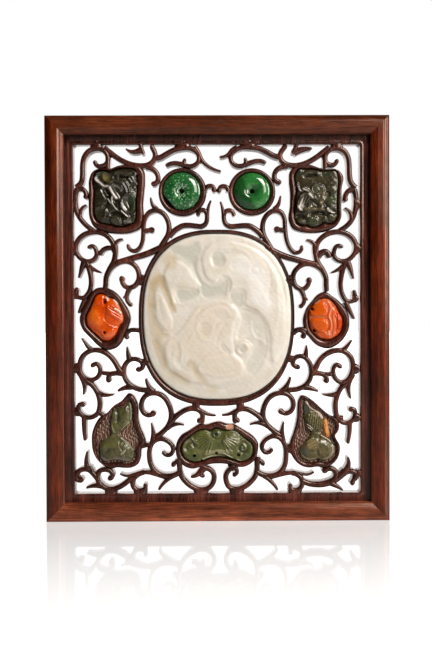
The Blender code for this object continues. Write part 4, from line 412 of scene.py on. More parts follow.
# Section of a ring, from its outer edge at the back to the lip round the stone: (share, depth)
RING_SECTION = [(0, PANEL_BACK), (0.0, 12.0), (0.0, 9.2), (0.03, 8.5), (0.1, 7.6), (0.2, 6.95),
                (0.34, 6.57), (0.5, 6.5), (0.66, 6.62), (0.8, 7.0), (0.92, 7.6), (1.0, 8.4)]

# Section of the margin: (out from the opening's edge, depth), once round
BORDER_SECTION = [(0.15, PANEL_BACK), (0, PANEL_BACK - 0.2), (0, 7.2), (0.15, 6.75), (0.5, 6.5),
                  (1.7, 6.5), (2.0, 6.62), (2.4, 6.68), (2.8, 6.62), (3.1, 6.5), (9.2, 6.5),
                  (9.2, PANEL_BACK)]
CORNER_GROWTH = 0.3

# Cracks through the margin: where each is along the top and along the bottom, where its edges and
# its bed lie across it, its depth, and how far it leans over the margin's width
CRACKS = {"top": (-14, 51, 92.5), "bottom": (-49, -26.5, -21)}
CRACK_ACROSS = (-0.22, 0, 0.22)
CRACK_DEPTH = 1.2
CRACK_LEAN = 0.25

# Wood knocked off the openwork, bare and pale: (stroke, half width); how deep it went, how far its
# edge reaches in half widths, and how far behind the panel's front it is felt
CHIPS = [([(7, 65.3), (9.4, 65.8)], 1.5), ([(8.2, 64), (10, 64.3)], 0.8)]
CHIP_DEPTH = 0.5
CHIP_REACH = 1.6
CHIP_BACK = PANEL_DEPTH + 2

# Section of a rail: (in from the outer edge, depth), over the front, then back round the groove
RAIL_FRONT = [(0, 3.9), (0.08, 2.9), (0.6, 2.05), (2.0, 1.12), (3.4, 0.35), (4.3, 0.05), (6.5, 0),
              (8.7, 0.05), (9.6, 0.35), (11.2, 1.2), (12.6, 2.05), (13.2, 2.8), (RAIL_WIDTH, 3.9)]
RAIL_BACK = [(RAIL_WIDTH, PANEL_DEPTH - GAP), (RAIL_WIDTH - TONGUE - GAP, PANEL_DEPTH - GAP),
             (RAIL_WIDTH - TONGUE - GAP, PANEL_BACK + GAP), (RAIL_WIDTH, PANEL_BACK + GAP),
             (RAIL_WIDTH, 24.8), (RAIL_WIDTH - 0.35, 25.6), (RAIL_WIDTH - 1.2, FRAME_DEPTH),
             (1.2, FRAME_DEPTH), (0.35, 25.6), (0, 24.8)]

# Crown of each stone: depth of its edge, depth of its middle, centre of its grid
CROWNS = {
    "centre_plaque": (6.9, 5.2, JADE_CENTRE),
    "upper_left_plaque": (7.6, 6.2, (-71, 226)),
    "upper_right_plaque": (6.7, 6.2, (69.5, 226)),
    "carnelian_left": (7.4, 5.6, (-79, 142)),
    "carnelian_right": (7.4, 5.6, (76, 141)),
    "lower_left_plaque": (7.8, 6.4, (-72, 60.8)),
    "lower_right_plaque": (7.8, 6.4, (69, 60.8)),
    "cloud_plaque": (7.6, 6.2, (0, 53)),
}
CROWN_FALL = 4
EDGE_ROUND = 1.2

# Depths between which a stone's carving stays
STONE_FRONT = 3.2
STONE_REAR = STONE_BACK - 1

# Grid of a stone, (rings, places round each); how often its relief is blurred to find the cuts that
# get painted shade and the high places that get painted light, and how often its relief and its tints
# are smoothed; and how much of the drawn relief it keeps
STONE_GRID = {"centre_plaque": (118, 760)}
STONE_GRID_DEFAULT = (70, 480)
RELIEF_SHADE_BLUR = 30
MELLOW_PASSES = {"centre_plaque": 6}
TINT_PASSES = {"centre_plaque": 60}
TINT_PASSES_DEFAULT = 4
RELIEF_SHARE = {"centre_plaque": 0.48}

# What the names of a stone's tint fields start with
TINT = "tint_"

# Uneven tooling of each surface, in millimetres; the waves it is made of, (angle, length); and how
# far a wave sways and over what share of its length
TOOLING = {"centre_plaque": 0.045, "upper_left_plaque": 0.07, "upper_right_plaque": 0.07,
           "carnelian_left": 0.06, "carnelian_right": 0.06, "lower_left_plaque": 0.09,
           "lower_right_plaque": 0.09, "cloud_plaque": 0.07}
TOOL_WAVES = ((12, 7.1), (71, 5.3), (133, 4.1), (39, 3.2), (104, 2.6))
TOOL_SWAY = 1.3
TOOL_SWAY_RUN = 0.6

# Drilled holes: their depth, the width of their edge, and how much shade is painted into them
DRILL_DEPTH = 2.6
DRILL_EDGE = 0.4
DRILL_PAINTED_SHADE = 2

# Section of a pierced disc, outwards from its hole: (share of the radius, depth)
DISC_SECTION = [(0.13, 8.1), (0.15, 7.7), (0.19, 7.4), (0.24, 6.97), (0.30, 6.52), (0.36, 6.18),
                (0.43, 5.97), (0.50, 5.87), (0.57, 5.85), (0.62, 5.9), (0.70, 6.08), (0.78, 6.41),
                (0.86, 6.85), (0.94, 7.45), (0.985, 7.9), (1.0, 8.4)]

# Bed of old glue and fibres in the two recesses that their stones don't fill. A run of fibres is
# (angle, pitch, swing), and every one swings over the same length.
BED_DEPTH = 9.6
BED_GRID = (40, 300)
FIBRES = ((97, 1.5, 0.8), (74, 2.1, 1.3), (118, 2.9, 1.7))
FIBRE_SWAY = 2.3
FIBRE_HEIGHT = 0.55
GLUE = {"lower_right_plaque": [(75.3, 69.3), (76, 64), (77, 59)]}
GLUE_HALF = 1.7
GLUE_HEIGHT = 1.9

# Carving of each stone, heights in millimetres towards the viewer. A stroke is a ridge, (points,
# half width, height), or else ("plate", outline, width of its slope, height) or ("veins", outline,
# angle, pitch, height). A ridge with one point is a boss, and a negative height cuts in.
RELIEFS = {
    "centre_plaque": [
        ("plate", [(-11.5, 186), (-11.3, 178), (-9.3, 171.5), (-5, 167), (-0.5, 166), (1.5, 168.8),
            (5.5, 170.3), (8.3, 167.5), (8.2, 163.5), (7.5, 161.3), (12, 160.2), (17, 161), (18.8, 157),
            (18.2, 151.5), (21, 149), (27, 146.2), (32, 141), (34.8, 135), (36.3, 127), (36.5, 117),
            (39, 110), (45, 116), (49, 140), (47, 160), (41, 176), (31, 188), (16, 195), (0, 196),
            (-8, 192)], 2.2, 1.4),
        ("plate", [(-4.5, 187), (-5, 182), (-2.8, 177.5), (2, 176.8), (6, 180), (5, 185.5),
            (0, 188.8)], 2.0, -1.1),
        ([(-6.5, 187), (-6, 181.5), (-3.5, 177.4)], 0.6, 0.25),
        ([(2, 186.5), (8, 187), (15, 186.5), (21, 183.5)], 0.9, -0.5),
        ([(2, 190.3), (8, 191), (15, 189.8), (21, 187)], 0.8, 0.5),
        ([(5, 183.2), (12, 184.3), (19, 184)], 1.2, 0.4),
        ("plate", [(9, 180.5), (17, 181), (22, 178), (16, 175.5), (9, 176.5)], 1.6, -0.45),
        ([(29.4, 175.2), (26.5, 178.1), (23.6, 175.2), (26.5, 172.3), (29.4, 175.2)], 0.55, -0.5),
        ([(26.5, 175.2)], 1.0, 0.35),
        ("plate", [(21, 172), (28, 171), (34, 161), (36, 147), (31, 146), (23.5, 150),
            (20, 158)], 4.0, 0.6),
        ([(32, 183), (36, 176), (37, 167), (35.5, 158)], 1.1, -0.35), ([(34, 175)], 1.0, -0.3),
        ([(41, 166), (42.5, 152), (41.5, 138), (39.5, 127)], 1.4, 0.4),
        ([(46, 163), (47.3, 150), (47, 135), (44.5, 120), (40, 108)], 0.8, -0.35),
        ([(18, 196.3), (28, 192), (38, 184), (44, 174.5), (47.5, 164), (49, 150),
            (48.8, 138)], 0.7, 0.6),
        ("plate", [(-38.5, 172), (-36.5, 178), (-31.5, 183), (-26, 182.5), (-20.5, 178.5), (-15.5, 171),
            (-11.8, 162.3), (-15, 161.6), (-22, 162), (-29.3, 161.5), (-30, 156.5), (-30.5, 150.5),
            (-33.5, 157), (-36.5, 165)], 2.4, 1.2),
        ([(-20, 178), (-16, 171), (-12.3, 163)], 0.7, 0.3),
        ("plate", [(-29, 160.8), (-20, 161.2), (-12.5, 160.8), (-17, 155.5), (-23, 153.2),
            (-27.2, 151.8)], 1.2, -1.0),
        ([(-29.7, 160), (-29, 156), (-27, 152.3)], 0.5, 0.7),
        ([(-27, 151.5), (-20, 153), (-13, 158)], 0.8, 0.5),
        ("plate", [(-34, 190), (-22, 193.5), (-12.5, 196), (-11, 189), (-13.8, 181), (-13, 173),
            (-10, 168), (-12, 161.5), (-15.5, 170.5), (-20.5, 179.5), (-26, 184)], 2.5, -0.7),
        ("plate", [(-10.5, 167.5), (-5, 164.5), (0, 165), (3, 168), (6.5, 168.5), (7, 161.5),
            (6.5, 156.5), (0, 157), (-8.5, 155), (-12.5, 160.5)], 1.5, -0.6),
        ("plate", [(8.5, 159.3), (13, 159.5), (17, 159.5), (17.5, 155), (17, 150), (14, 148.5),
            (10, 152), (8, 155.5)], 1.2, -0.7),
        ("plate", [(-31, 130), (-24.3, 138), (-19, 146), (-14, 151.3), (-8, 154.5), (0, 156),
            (6.5, 154.6), (11.5, 151), (15, 147), (15.3, 142.5), (12.8, 137), (12, 131), (11.5, 127),
            (12.5, 120), (14.5, 115), (18.5, 110.5), (19.5, 104), (13, 97), (0, 93.5), (-12, 94.5),
            (-22, 97), (-31, 102.8), (-36, 107.5), (-38.5, 115), (-38, 124.5)], 3.0, 1.1),
        ([(-12, 147.5), (-6, 151), (0, 151.8), (6, 150.3)], 0.8, -0.5),
        ([(9.5, 150), (13, 147.3), (13.6, 142.5)], 0.8, 0.4),
        ([(-11, 143.5), (-7, 147.8), (0, 149.5), (6, 147.5), (8.6, 143.5)], 0.8, 0.45),
        ([(-16, 141), (-11.5, 147.5), (-5, 150)], 0.8, -0.35),
        ([(-20, 126), (-16, 133.5), (-12, 140)], 1.0, 0.3),
        ([(-2, 134.5), (3, 140.5), (9, 141.5)], 1.0, -0.4),
        ([(-33, 106.5), (-25, 101), (-15, 97)], 0.8, 0.35),
        ([(-30, 118), (-31, 112), (-27.5, 106)], 0.8, 0.35),
        ([(-23, 118), (-22.5, 112.5), (-24, 108)], 0.8, 0.3),
        ([(-13.5, 142), (-9, 146), (-3, 147.5), (3, 146)], 0.9, 0.35),
        ("plate", [(-13, 139), (-8.5, 140), (-3.5, 137), (-4, 131.5), (-7.5, 127.5), (-11.5, 129),
            (-13, 133.5)], 2.6, -0.6),
        ([(-14.3, 138), (-13.6, 131), (-10, 126.3), (-6, 126.3)], 0.7, 0.5),
        ("plate", [(-4, 146), (4, 147), (9, 143), (5, 139), (-1, 140)], 2.0, -0.4),
        ([(5, 137), (1, 131), (-1, 125)], 1.1, -0.35),
        ("plate", [(15.8, 148.8), (22, 148), (28.5, 145), (33, 139.5), (35, 131), (35, 118), (31, 108),
            (24, 101.5), (19.7, 104), (19, 110.5), (22.5, 117), (23, 122.5), (19, 126), (13, 127.5),
            (13.5, 134), (15.5, 141)], 1.6, -0.8),
        ([(23, 139), (23.5, 134), (25.5, 129)], 0.8, 0.6),
        ([(26, 127.5), (30, 126.5), (33, 123)], 0.9, 0.5),
        ([(16, 128.5), (22, 129), (27, 133)], 0.8, 0.3),
        ([(-9.5, 112.5), (-4, 116.8), (2, 120), (7.5, 124.5), (13, 127)], 0.7, 0.6),
        ("plate", [(2, 124.5), (6.5, 121.5), (9.3, 117.5), (3, 119)], 0.9, -0.6),
        ("plate", [(12, 118.5), (14, 123.5), (18, 125.6), (22, 123.3), (22.5, 118.5), (19, 115.5),
            (14.5, 115.5)], 1.2, 0.8),
        ("plate", [(14.5, 119), (16, 122), (19, 123), (20.5, 120), (18.5, 117)], 1.0, -0.8),
        ("plate", [(-13.5, 110.8), (-5, 115.6), (3, 117.2), (9, 117), (14, 114.6), (18.3, 110.3),
            (18.8, 105), (12.5, 101), (1, 99.6), (-9.5, 101.5), (-15, 105.5)], 2.2, 0.7),
        ([(8.7, 116.4), (13, 114.7), (17.3, 110.8)], 0.6, 0.7),
        ([(-4, 103.7), (4, 103), (12, 104.8)], 1.1, -0.3), ([(-2, 98), (6, 98), (14, 100)], 0.7, 0.4),
        ("plate", [(-42.5, 160), (-39, 158.5), (-36, 153), (-33, 146), (-31.3, 141), (-34, 133),
            (-40, 136.5), (-43.3, 143), (-43.8, 152)], 1.1, 0.9),
        ([(-38.7, 154), (-37, 149), (-34.3, 142.5)], 0.6, 0.35),
        ([(-41, 157), (-40.5, 149), (-38, 141)], 0.6, -0.3),
        ("plate", [(-42.5, 172.5), (-38.5, 172.8), (-36, 166), (-32.7, 157), (-29.6, 149.5),
            (-29.6, 145), (-31.8, 146.5), (-35.5, 155), (-39, 162), (-42, 168)], 1.8, -0.45),
        ("plate", [(-46.5, 170), (-43, 171), (-42, 164), (-44, 156), (-44.3, 148), (-46.8, 148),
            (-47.2, 158)], 1.7, -0.3),
        ([(-45.8, 151), (-45.5, 144), (-43, 137.5), (-39.5, 132.8), (-36.3, 129.3)], 1.3, -0.35),
        ([(-43.3, 126), (-40.8, 121), (-38.6, 115), (-37, 108)], 1.7, -0.3),
        ([(-28.3, 124.5), (-27.2, 118), (-28, 111.5)], 1.6, -0.45),
        ([(-26.2, 124.5), (-25.1, 118), (-26, 112)], 0.7, 0.4),
        ([(-21.5, 110), (-18, 110), (-16.5, 106.8)], 1.9, -0.5),
        ([(-33.3, 104), (-28, 101.3), (-21.3, 96.3)], 1.5, -0.3),
        ([(-15.5, 104), (-12, 100), (-8.7, 96.7)], 1.6, -0.5),
        ([(-8, 94), (-2, 92.7), (5, 92.3)], 1.2, -0.5),
        ([(-33, 129), (-35, 121), (-33.5, 113), (-28, 106.5), (-19, 101.5)], 1.7, 0.5),
        ([(-48, 164), (-49, 150), (-47.8, 135), (-45, 122), (-40.5, 109)], 0.8, -0.3),
        ([(-30.5, 187.5), (-31, 181)], 1.4, -0.3),
        ([(34.5, 113), (37.5, 109), (39.5, 104.5)], 0.9, -0.5),
        ([(20, 98), (28, 102), (33.5, 108.5)], 1.4, 0.4),
    ],
    "upper_left_plaque": [
        ("plate", [(-86.5, 240.5), (-83.5, 244.5), (-78, 245.5), (-74, 243), (-72, 239), (-74.5, 235),
            (-78, 232.8), (-82, 235.2)], 0.7, 2.3),
        ("plate", [(-86, 240.5), (-83.5, 244), (-78, 245), (-74.5, 242.5), (-72.8, 239), (-75.2, 235.8),
            (-78.2, 233.5), (-82, 236)], 3.0, -2.2),
        ([(-75.8, 234.8), (-73.3, 230), (-70.6, 225.6)], 1.9, 2.0),
        ([(-73.8, 226.8), (-72.6, 221.5), (-70.2, 218.3)], 0.9, 1.3),
        ([(-67, 216.7), (-62.6, 212.8)], 0.9, 1.3), ([(-76.3, 225.2), (-74, 221.6)], 0.8, 1.0),
        ([(-79.8, 228.6), (-78.2, 226)], 0.7, 0.8),
        ("plate", [(-72.5, 236.5), (-69, 236), (-65.8, 232.5), (-66.3, 229.8), (-69.5, 230)], 0.9, 1.5),
        ("plate", [(-72.5, 236.3), (-69, 235.7), (-66.2, 232.5), (-66.7, 230.2),
            (-69.5, 230.4)], 2.4, -1.2),
        ([(-72, 238.8), (-67.5, 237.3), (-64.6, 233.5), (-63.4, 229.8)], 0.7, 0.8),
        ([(-69.5, 240.5), (-65, 238.3), (-62.2, 234.3), (-61, 230.3)], 0.7, 0.8),
        ([(-71.5, 243.8), (-65.5, 244.3), (-60.8, 241.8), (-57.7, 238)], 1.0, 1.2),
        ([(-58.2, 241.5), (-56.6, 238.8), (-56, 236)], 0.7, 1.3),
        ([(-62.3, 240.2), (-59.6, 237)], 0.5, 0.7), ([(-56.2, 243.4)], 1.0, 1.5),
        ("plate", [(-60.5, 236), (-57, 236.5), (-56, 232.3), (-58.5, 230.8)], 1.2, -0.9),
        ("plate", [(-68, 224), (-65, 229.3), (-61, 230), (-57.2, 225.5), (-56.7, 219), (-59.5, 214.6),
            (-63.5, 215.3), (-67.3, 219.5)], 0.9, 2.0),
        ("plate", [(-67.5, 224), (-64.8, 228.7), (-61.3, 229.4), (-57.9, 225.2), (-57.4, 219.3),
            (-59.8, 215.4), (-63.4, 216), (-66.7, 220)], 5.6, -2.0),
        ("veins", [(-86, 232), (-82, 233.5), (-79, 229), (-78.5, 222.5), (-82, 221.5), (-86, 222)], -64,
            1.7, 0.2),
        ("plate", [(-86.3, 219), (-82, 221.3), (-78, 219.7), (-77.3, 214), (-79, 210.8), (-84, 211.3),
            (-86.3, 214)], 1.1, 0.9),
        ("plate", [(-85.6, 218.6), (-82, 220.6), (-78.6, 219.2), (-78, 214.2), (-79.6, 211.6),
            (-83.7, 212), (-85.6, 214.4)], 3.0, -0.7),
        ([(-77.8, 219.3), (-76.8, 216), (-76.8, 211.5)], 0.7, 0.3),
        ("plate", [(-74.8, 213), (-70.5, 213.8), (-67.4, 210.8), (-68, 207), (-72.5, 206.8),
            (-75.3, 209.8)], 1.0, 1.3),
        ([(-67.6, 208.8)], 0.9, 0.7),
        ("plate", [(-66, 211.8), (-63, 212.3), (-60, 209.6), (-59.6, 207.4), (-62, 206.6),
            (-66.2, 207.3)], 1.3, 1.5),
        ("plate", [(-69.5, 241.8), (-65, 241.6), (-61.8, 239.8), (-65, 239.8),
            (-69.3, 239.9)], 0.9, -1.6),
        ([(-78.5, 231.5), (-76, 227.5)], 1.5, -1.7), ([(-76.5, 222), (-79, 219.5)], 1.0, -1.5),
        ([(-73.5, 214.9), (-69.5, 215), (-67, 213.6)], 1.2, -1.8),
        ([(-69.9, 223.6), (-69, 219.3)], 1.3, -1.6),
    ],
    "upper_right_plaque": [
        ([(58.6, 244.7)], 1.0, 1.3),
        ([(61.5, 242.8), (63.5, 244), (67, 244.6), (69.6, 243.8)], 1.0, 0.7), ([(71, 242.9)], 1.1, 1.1),
        ([(62, 241.3), (68.5, 241.5)], 1.0, -1.7),
        ("veins", [(71, 240), (76, 243.8), (83, 241.5), (83, 235), (78, 236), (72, 238)], 28, 2.6,
            -0.07),
        ([(59, 238.3), (63, 238.8)], 1.6, 0.2), ([(63.5, 236), (66, 236.6)], 1.0, 0.2),
        ([(56.2, 235.8), (56.7, 232.8), (58.5, 230.3)], 0.7, 1.3),
        ([(60, 232.2), (63.5, 230.5)], 1.0, 1.3),
        ("plate", [(64.8, 232), (67, 235.3), (71, 236), (74.8, 234), (75.8, 230.3), (72, 227.5),
            (67, 228.5)], 1.8, 1.1),
        ([(71.8, 232.3), (69.3, 234), (67, 232.3), (68, 230), (70.5, 230)], 0.6, -0.6),
        ([(73.3, 234.3), (74.5, 231.5), (73.8, 229)], 0.6, 0.35),
        ([(64.4, 228.8), (66.9, 225.4)], 1.4, 1.7),
        ("plate", [(67.5, 228.7), (71.5, 229), (71.8, 225), (68.5, 223.5)], 1.8, 0.7),
        ([(75.6, 229), (73.6, 226.3), (74.6, 224.3), (72, 222.3)], 1.0, 0.8),
        ("plate", [(76.2, 230.7), (79.3, 230.2), (79.5, 226.7), (76.5, 226)], 1.3, -1.6),
        ([(67.5, 222.5), (70, 220.3)], 1.7, -1.7), ([(75, 222.3), (76.5, 220)], 1.5, -1.6),
        ([(80.3, 232.8), (81.8, 232.2), (82, 230.3)], 1.0, 0.3),
        ("plate", [(55.2, 222.5), (57.3, 227.3), (60.8, 230), (64, 228.8), (65.3, 224), (65, 219),
            (61.8, 216), (58.3, 215.5), (55.4, 218.3)], 0.9, 2.4),
        ("plate", [(56, 222.5), (57.8, 226.6), (61, 229.2), (63.6, 228), (64.6, 224), (64.3, 219.6),
            (61.4, 216.9), (58.6, 216.4), (56.2, 218.7)], 4.4, -2.3),
        ("plate", [(60, 216.2), (66, 219.6), (73, 219.6), (78.5, 216.4), (72, 215.8),
            (65, 216)], 1.8, 0.7),
        ([(56.3, 213), (60, 213)], 1.4, -1.7), ([(66, 214.6), (70, 215.3), (74, 214.8)], 1.0, -1.7),
        ("plate", [(76.6, 219.3), (80, 219.7), (83.5, 218), (83.5, 214.8), (81, 214.3)], 0.7, 1.7),
        ("plate", [(77.6, 219.1), (80.2, 219.2), (83, 217.6), (83, 215.3), (81, 215.1)], 2.2, -1.5),
        ("plate", [(76.8, 214), (81.8, 214.6), (83.6, 211.5), (80, 208.8), (76.8, 211)], 1.8, 0.9),
        ("plate", [(55.7, 210.7), (60.5, 211.2), (62, 209), (58.5, 206.7), (55.7, 208.5)], 1.6, 1.0),
        ("plate", [(62.3, 210), (66, 213.3), (71.3, 211.7), (71.3, 208), (66.5, 206),
            (62.7, 207.6)], 2.2, 1.1),
        ("veins", [(62.3, 210), (66, 213.3), (71.3, 211.7), (71.3, 208), (66.5, 206), (62.7, 207.6)],
            65, 1.4, -0.22),
        ("plate", [(72.6, 210.5), (75.5, 213), (77.2, 210), (75, 207.8)], 1.4, 0.9),
        ([(63.4, 213)], 0.8, 1.2),
    ],
    "carnelian_left": [
        ("plate", [(-88, 157), (-84, 160), (-79.5, 159), (-79, 155.5), (-82, 152),
            (-88, 151)], 2.0, 0.5),
        ([(-79, 154.8), (-79, 152.6)], 0.9, -2.2), ([(-77.2, 157.6), (-77, 155)], 1.1, 1.0),
        ("plate", [(-76, 154.5), (-72.5, 155.5), (-68.5, 151), (-66, 145), (-66.5, 139.5), (-72, 141),
            (-78, 145)], 2.0, 0.7),
        ([(-72.7, 155), (-69.5, 152.3)], 0.6, 0.7),
        ([(-72, 148.8), (-69.5, 147.6), (-67.3, 145.5)], 0.7, 0.8),
        ("veins", [(-74, 152), (-70, 150), (-66.5, 144), (-67, 139.8), (-72, 143)], -30, 1.7, -0.32),
        ([(-79, 145), (-78.6, 141), (-75.5, 138), (-70.3, 136.3)], 0.8, -0.35),
        ([(-76.5, 137.3), (-71, 135.3)], 0.7, 0.5), ([(-79.3, 132)], 0.9, -2.2),
        ("plate", [(-92, 147), (-84, 149.5), (-79.5, 144), (-80.5, 137), (-87, 135),
            (-92, 139)], 5.0, 1.0),
        ("plate", [(-79, 134), (-72, 135), (-71, 131), (-76, 127), (-82, 128)], 2.5, 0.6),
        ([(-87, 134), (-82.5, 131.5), (-80.5, 128.5)], 1.0, -0.5),
    ],
    "carnelian_right": [
        ([(68.5, 152.5), (70.5, 154)], 0.9, 0.6),
        ("plate", [(65.5, 150), (72, 154), (76.5, 150), (77, 144.5), (70, 142.3), (65, 143)], 1.8, 0.9),
        ("plate", [(65, 140.3), (71, 141.3), (76.8, 139.5), (77, 134), (72, 131), (66, 135)], 1.8, 0.9),
        ([(64.5, 141.3), (71, 141.8), (77.5, 141)], 0.5, -0.7), ([(66.3, 147.6)], 1.0, -2.2),
        ([(67.3, 132.6)], 1.1, -2.2), ("plate", [(69, 132), (75, 133), (78, 129), (72, 127)], 1.5, 0.6),
        ([(77.3, 153.5), (79.3, 149), (77.8, 144), (79.4, 138), (78.3, 132)], 0.9, 0.7),
        ([(80.3, 153), (82, 148), (81, 142), (82, 136), (81, 130)], 0.8, 0.6),
        ([(83.2, 148), (83.6, 142), (83.5, 137), (82.8, 132)], 0.6, -0.45),
        ([(78.3, 152), (80.3, 147.5), (79, 142.5), (80.5, 137), (79.5, 131)], 0.4, -0.25),
        ("plate", [(84, 145.5), (87, 144), (87.3, 137.5), (85, 133.5), (84, 138)], 1.2, 0.6),
        ([(77.5, 132.2), (78, 130)], 0.7, 0.6), ([(75, 154.5), (80, 151), (83, 145)], 0.6, -0.4),
    ],
    "lower_left_plaque": [
        ("plate", [(-74.5, 78), (-69.5, 79), (-64, 82), (-61.5, 77), (-62, 70), (-66.5, 64),
            (-71.5, 62.5), (-75, 68)], 3.0, 0.9),
        ([(-71, 77.5), (-70.2, 73), (-70.8, 70)], 1.1, -0.8),
        ([(-61.8, 82), (-60.9, 77), (-61.3, 70.5)], 0.6, 0.6),
        ([(-68, 63.5), (-65, 66.7), (-62.3, 68.6)], 0.5, 0.6),
        ([(-68, 58), (-64.5, 55.5), (-61.5, 52.3), (-59.8, 49.8)], 0.6, 0.8),
        ("plate", [(-82.5, 55), (-75, 58), (-68, 57), (-60.5, 50), (-59.8, 46), (-63, 42.5),
            (-70, 43.5), (-78, 42.5), (-82.5, 46)], 4.0, 1.1),
        ([(-75, 61), (-71, 60), (-67.5, 61)], 1.6, -0.6),
        ([(-67.9, 46.5), (-67, 48), (-65.5, 49.2)], 0.7, 0.5), ([(-66.5, 47.5), (-66, 44.5)], 0.6, 0.4),
        ([(-68.5, 56), (-68.8, 52), (-67.3, 49.5)], 0.5, -0.4), ([(-65, 54), (-66.5, 51.5)], 0.5, 0.4),
        ([(-78, 49), (-75, 50), (-73, 48)], 1.1, -0.5),
        ([(-74.5, 70.5), (-74.3, 66), (-72.8, 62)], 0.9, 0.5),
    ],
    "lower_right_plaque": [
        ([(61.8, 83.6), (64, 80.3), (67, 78), (70.5, 77), (73, 74.5), (74, 71.8)], 0.9, 0.9),
        ("plate", [(60.3, 82), (62.5, 81), (64.5, 77.5), (64, 75), (60.5, 75)], 1.0, -0.4),
        ("plate", [(61, 72.5), (66, 76), (71, 75), (74, 71), (74, 65), (70, 62), (66, 64.5)], 1.8, 0.9),
        ("veins", [(62, 74), (68, 76), (73.5, 71), (73, 63), (66, 64)], 82, 1.6, -0.35),
        ([(61, 67.3), (63.3, 64.8), (65.5, 62.8)], 0.5, 0.7),
        ([(62.5, 67.3), (64.5, 65.8), (66.4, 63.8)], 0.5, 0.8), ([(61.5, 69), (64, 66.8)], 0.6, -0.8),
        ("plate", [(61.3, 64.5), (64.5, 62.5), (64, 59), (61.2, 59)], 0.9, -1.3),
        ([(66, 61.3), (70, 61.6), (73.5, 61)], 0.9, -0.6),
        ([(72, 59.4), (75.5, 57.6), (79, 54.7)], 0.6, 0.8),
        ("plate", [(58, 50), (63, 57), (70, 58), (76, 56), (81.3, 51), (80.5, 45), (76, 42.3),
            (69, 43.3), (62, 42.5), (58, 45.5)], 4.0, 1.1),
        ([(71.5, 58.5), (71, 55.5)], 0.6, -0.6), ([(69.7, 48), (70, 45.7)], 0.9, -0.8),
        ("veins", [(63, 57), (69, 57), (69, 49), (64, 49)], 28, 2.3, 0.35),
        ([(66.5, 49.5), (68, 50.5)], 0.5, 0.4), ([(57.2, 47.5), (59.5, 44.5), (63, 42.2)], 0.6, 0.4),
    ],
    "cloud_plaque": [
        ([(-14.6, 53), (-16.5, 56.6), (-20, 57.6), (-23.6, 55.5), (-25, 51.7), (-23.6, 48), (-20, 46.2),
            (-16.8, 47)], 0.9, 0.6),
        ([(-19, 48.8), (-22, 50), (-22, 53), (-19.5, 54.7), (-17.3, 53), (-17.3, 51)], 0.7, -0.5),
        ([(-18.9, 53), (-17.4, 51)], 0.5, 0.6), ([(-18.6, 57.8), (-15.7, 54.2)], 0.5, 0.6),
        ([(13.6, 53), (15.5, 55.9), (18.6, 56.6), (22, 54.8), (23.4, 51), (22, 47.6),
            (18.6, 46)], 0.9, 0.6),
        ([(14.8, 49.3), (14.9, 52.3), (17, 54.2), (19.6, 53.2), (20.6, 50.7), (19.3, 48),
            (17, 47.4)], 0.9, -0.7),
        ([(17.6, 53), (19.3, 51.2), (18.6, 49.3), (16.8, 49.2), (16.6, 51)], 0.5, 0.5),
        ([(-1.2, 60.7)], 2.6, 1.2),
        ([(2.4, 60.7), (1.4, 58.1), (-1.2, 57), (-3.8, 58.1), (-4.9, 60.7), (-3.8, 63.3), (-1.2, 64.4),
            (1.4, 63.3), (2.4, 60.7)], 0.5, -0.6),
        ([(-1.5, 60.4)], 1.0, -2.4),
        ("plate", [(-16.5, 60), (-12, 63.3), (-7, 63), (-4.8, 59), (-5, 53), (-9, 49.5),
            (-14, 50)], 2.2, 0.6),
        ("plate", [(14.5, 60), (10, 63), (5, 62.6), (2.5, 58.5), (3, 53), (8, 49.7),
            (12.5, 51)], 2.2, 0.6),
        ("plate", [(-11, 45.5), (-4, 50), (3, 50), (10.5, 47), (7.5, 43.8), (-1, 45.6),
            (-8.5, 43)], 1.4, 0.5),
        ([(-11.3, 42.6), (-6.5, 44.3), (-0.6, 44.9), (5, 44.1), (9.9, 42.3)], 0.5, 0.6),
        ([(3.5, 46.8), (7, 45.3), (10, 43.8)], 0.4, 0.6),
        ([(8, 62.6), (11.5, 62.5), (15, 60.6), (16, 58.8)], 0.5, 0.7),
        ([(-11, 63.2), (-8, 63), (-5.6, 61.2)], 0.5, 0.6),
        ([(-26, 47), (-23, 43), (-18, 41.3), (-13.5, 42.2)], 0.6, 0.5),
        ([(24.4, 48), (22.3, 44), (17.5, 41.3), (13, 42.5)], 0.6, 0.5),
    ],
}

# Fans of carved lines: (where they start, angles in degrees, near and far radius, height)
FANS = {
    "cloud_plaque": [((-2.5, 60), (182, 192, 202, 212, 222, 232, 242, 252), 3.5, 13, 0.6),
                     ((1.8, 59.5), (-4, -14, -25, -36, -47, -58, -70), 3.5, 12.5, 0.42)],
    "upper_right_plaque": [((57, 214.5), (58, 67, 76, 85), 3.0, 12.5, 0.45)],
}
FAN_HALF = 0.45

# Drilled holes: (x, z, radius)
DRILLS = {
    "cloud_plaque": [(-16.7, 45.3, 1.0), (-1.2, 47.2, 0.9), (14.3, 45.8, 1.0), (-11.5, 42, 0.7),
                     (11, 41.8, 0.8)],
    "carnelian_left": [(-78.8, 153.4, 0.8), (-79.3, 132, 0.7)],
    "carnelian_right": [(66.4, 147.9, 0.8), (67.9, 132.8, 0.8)],
}
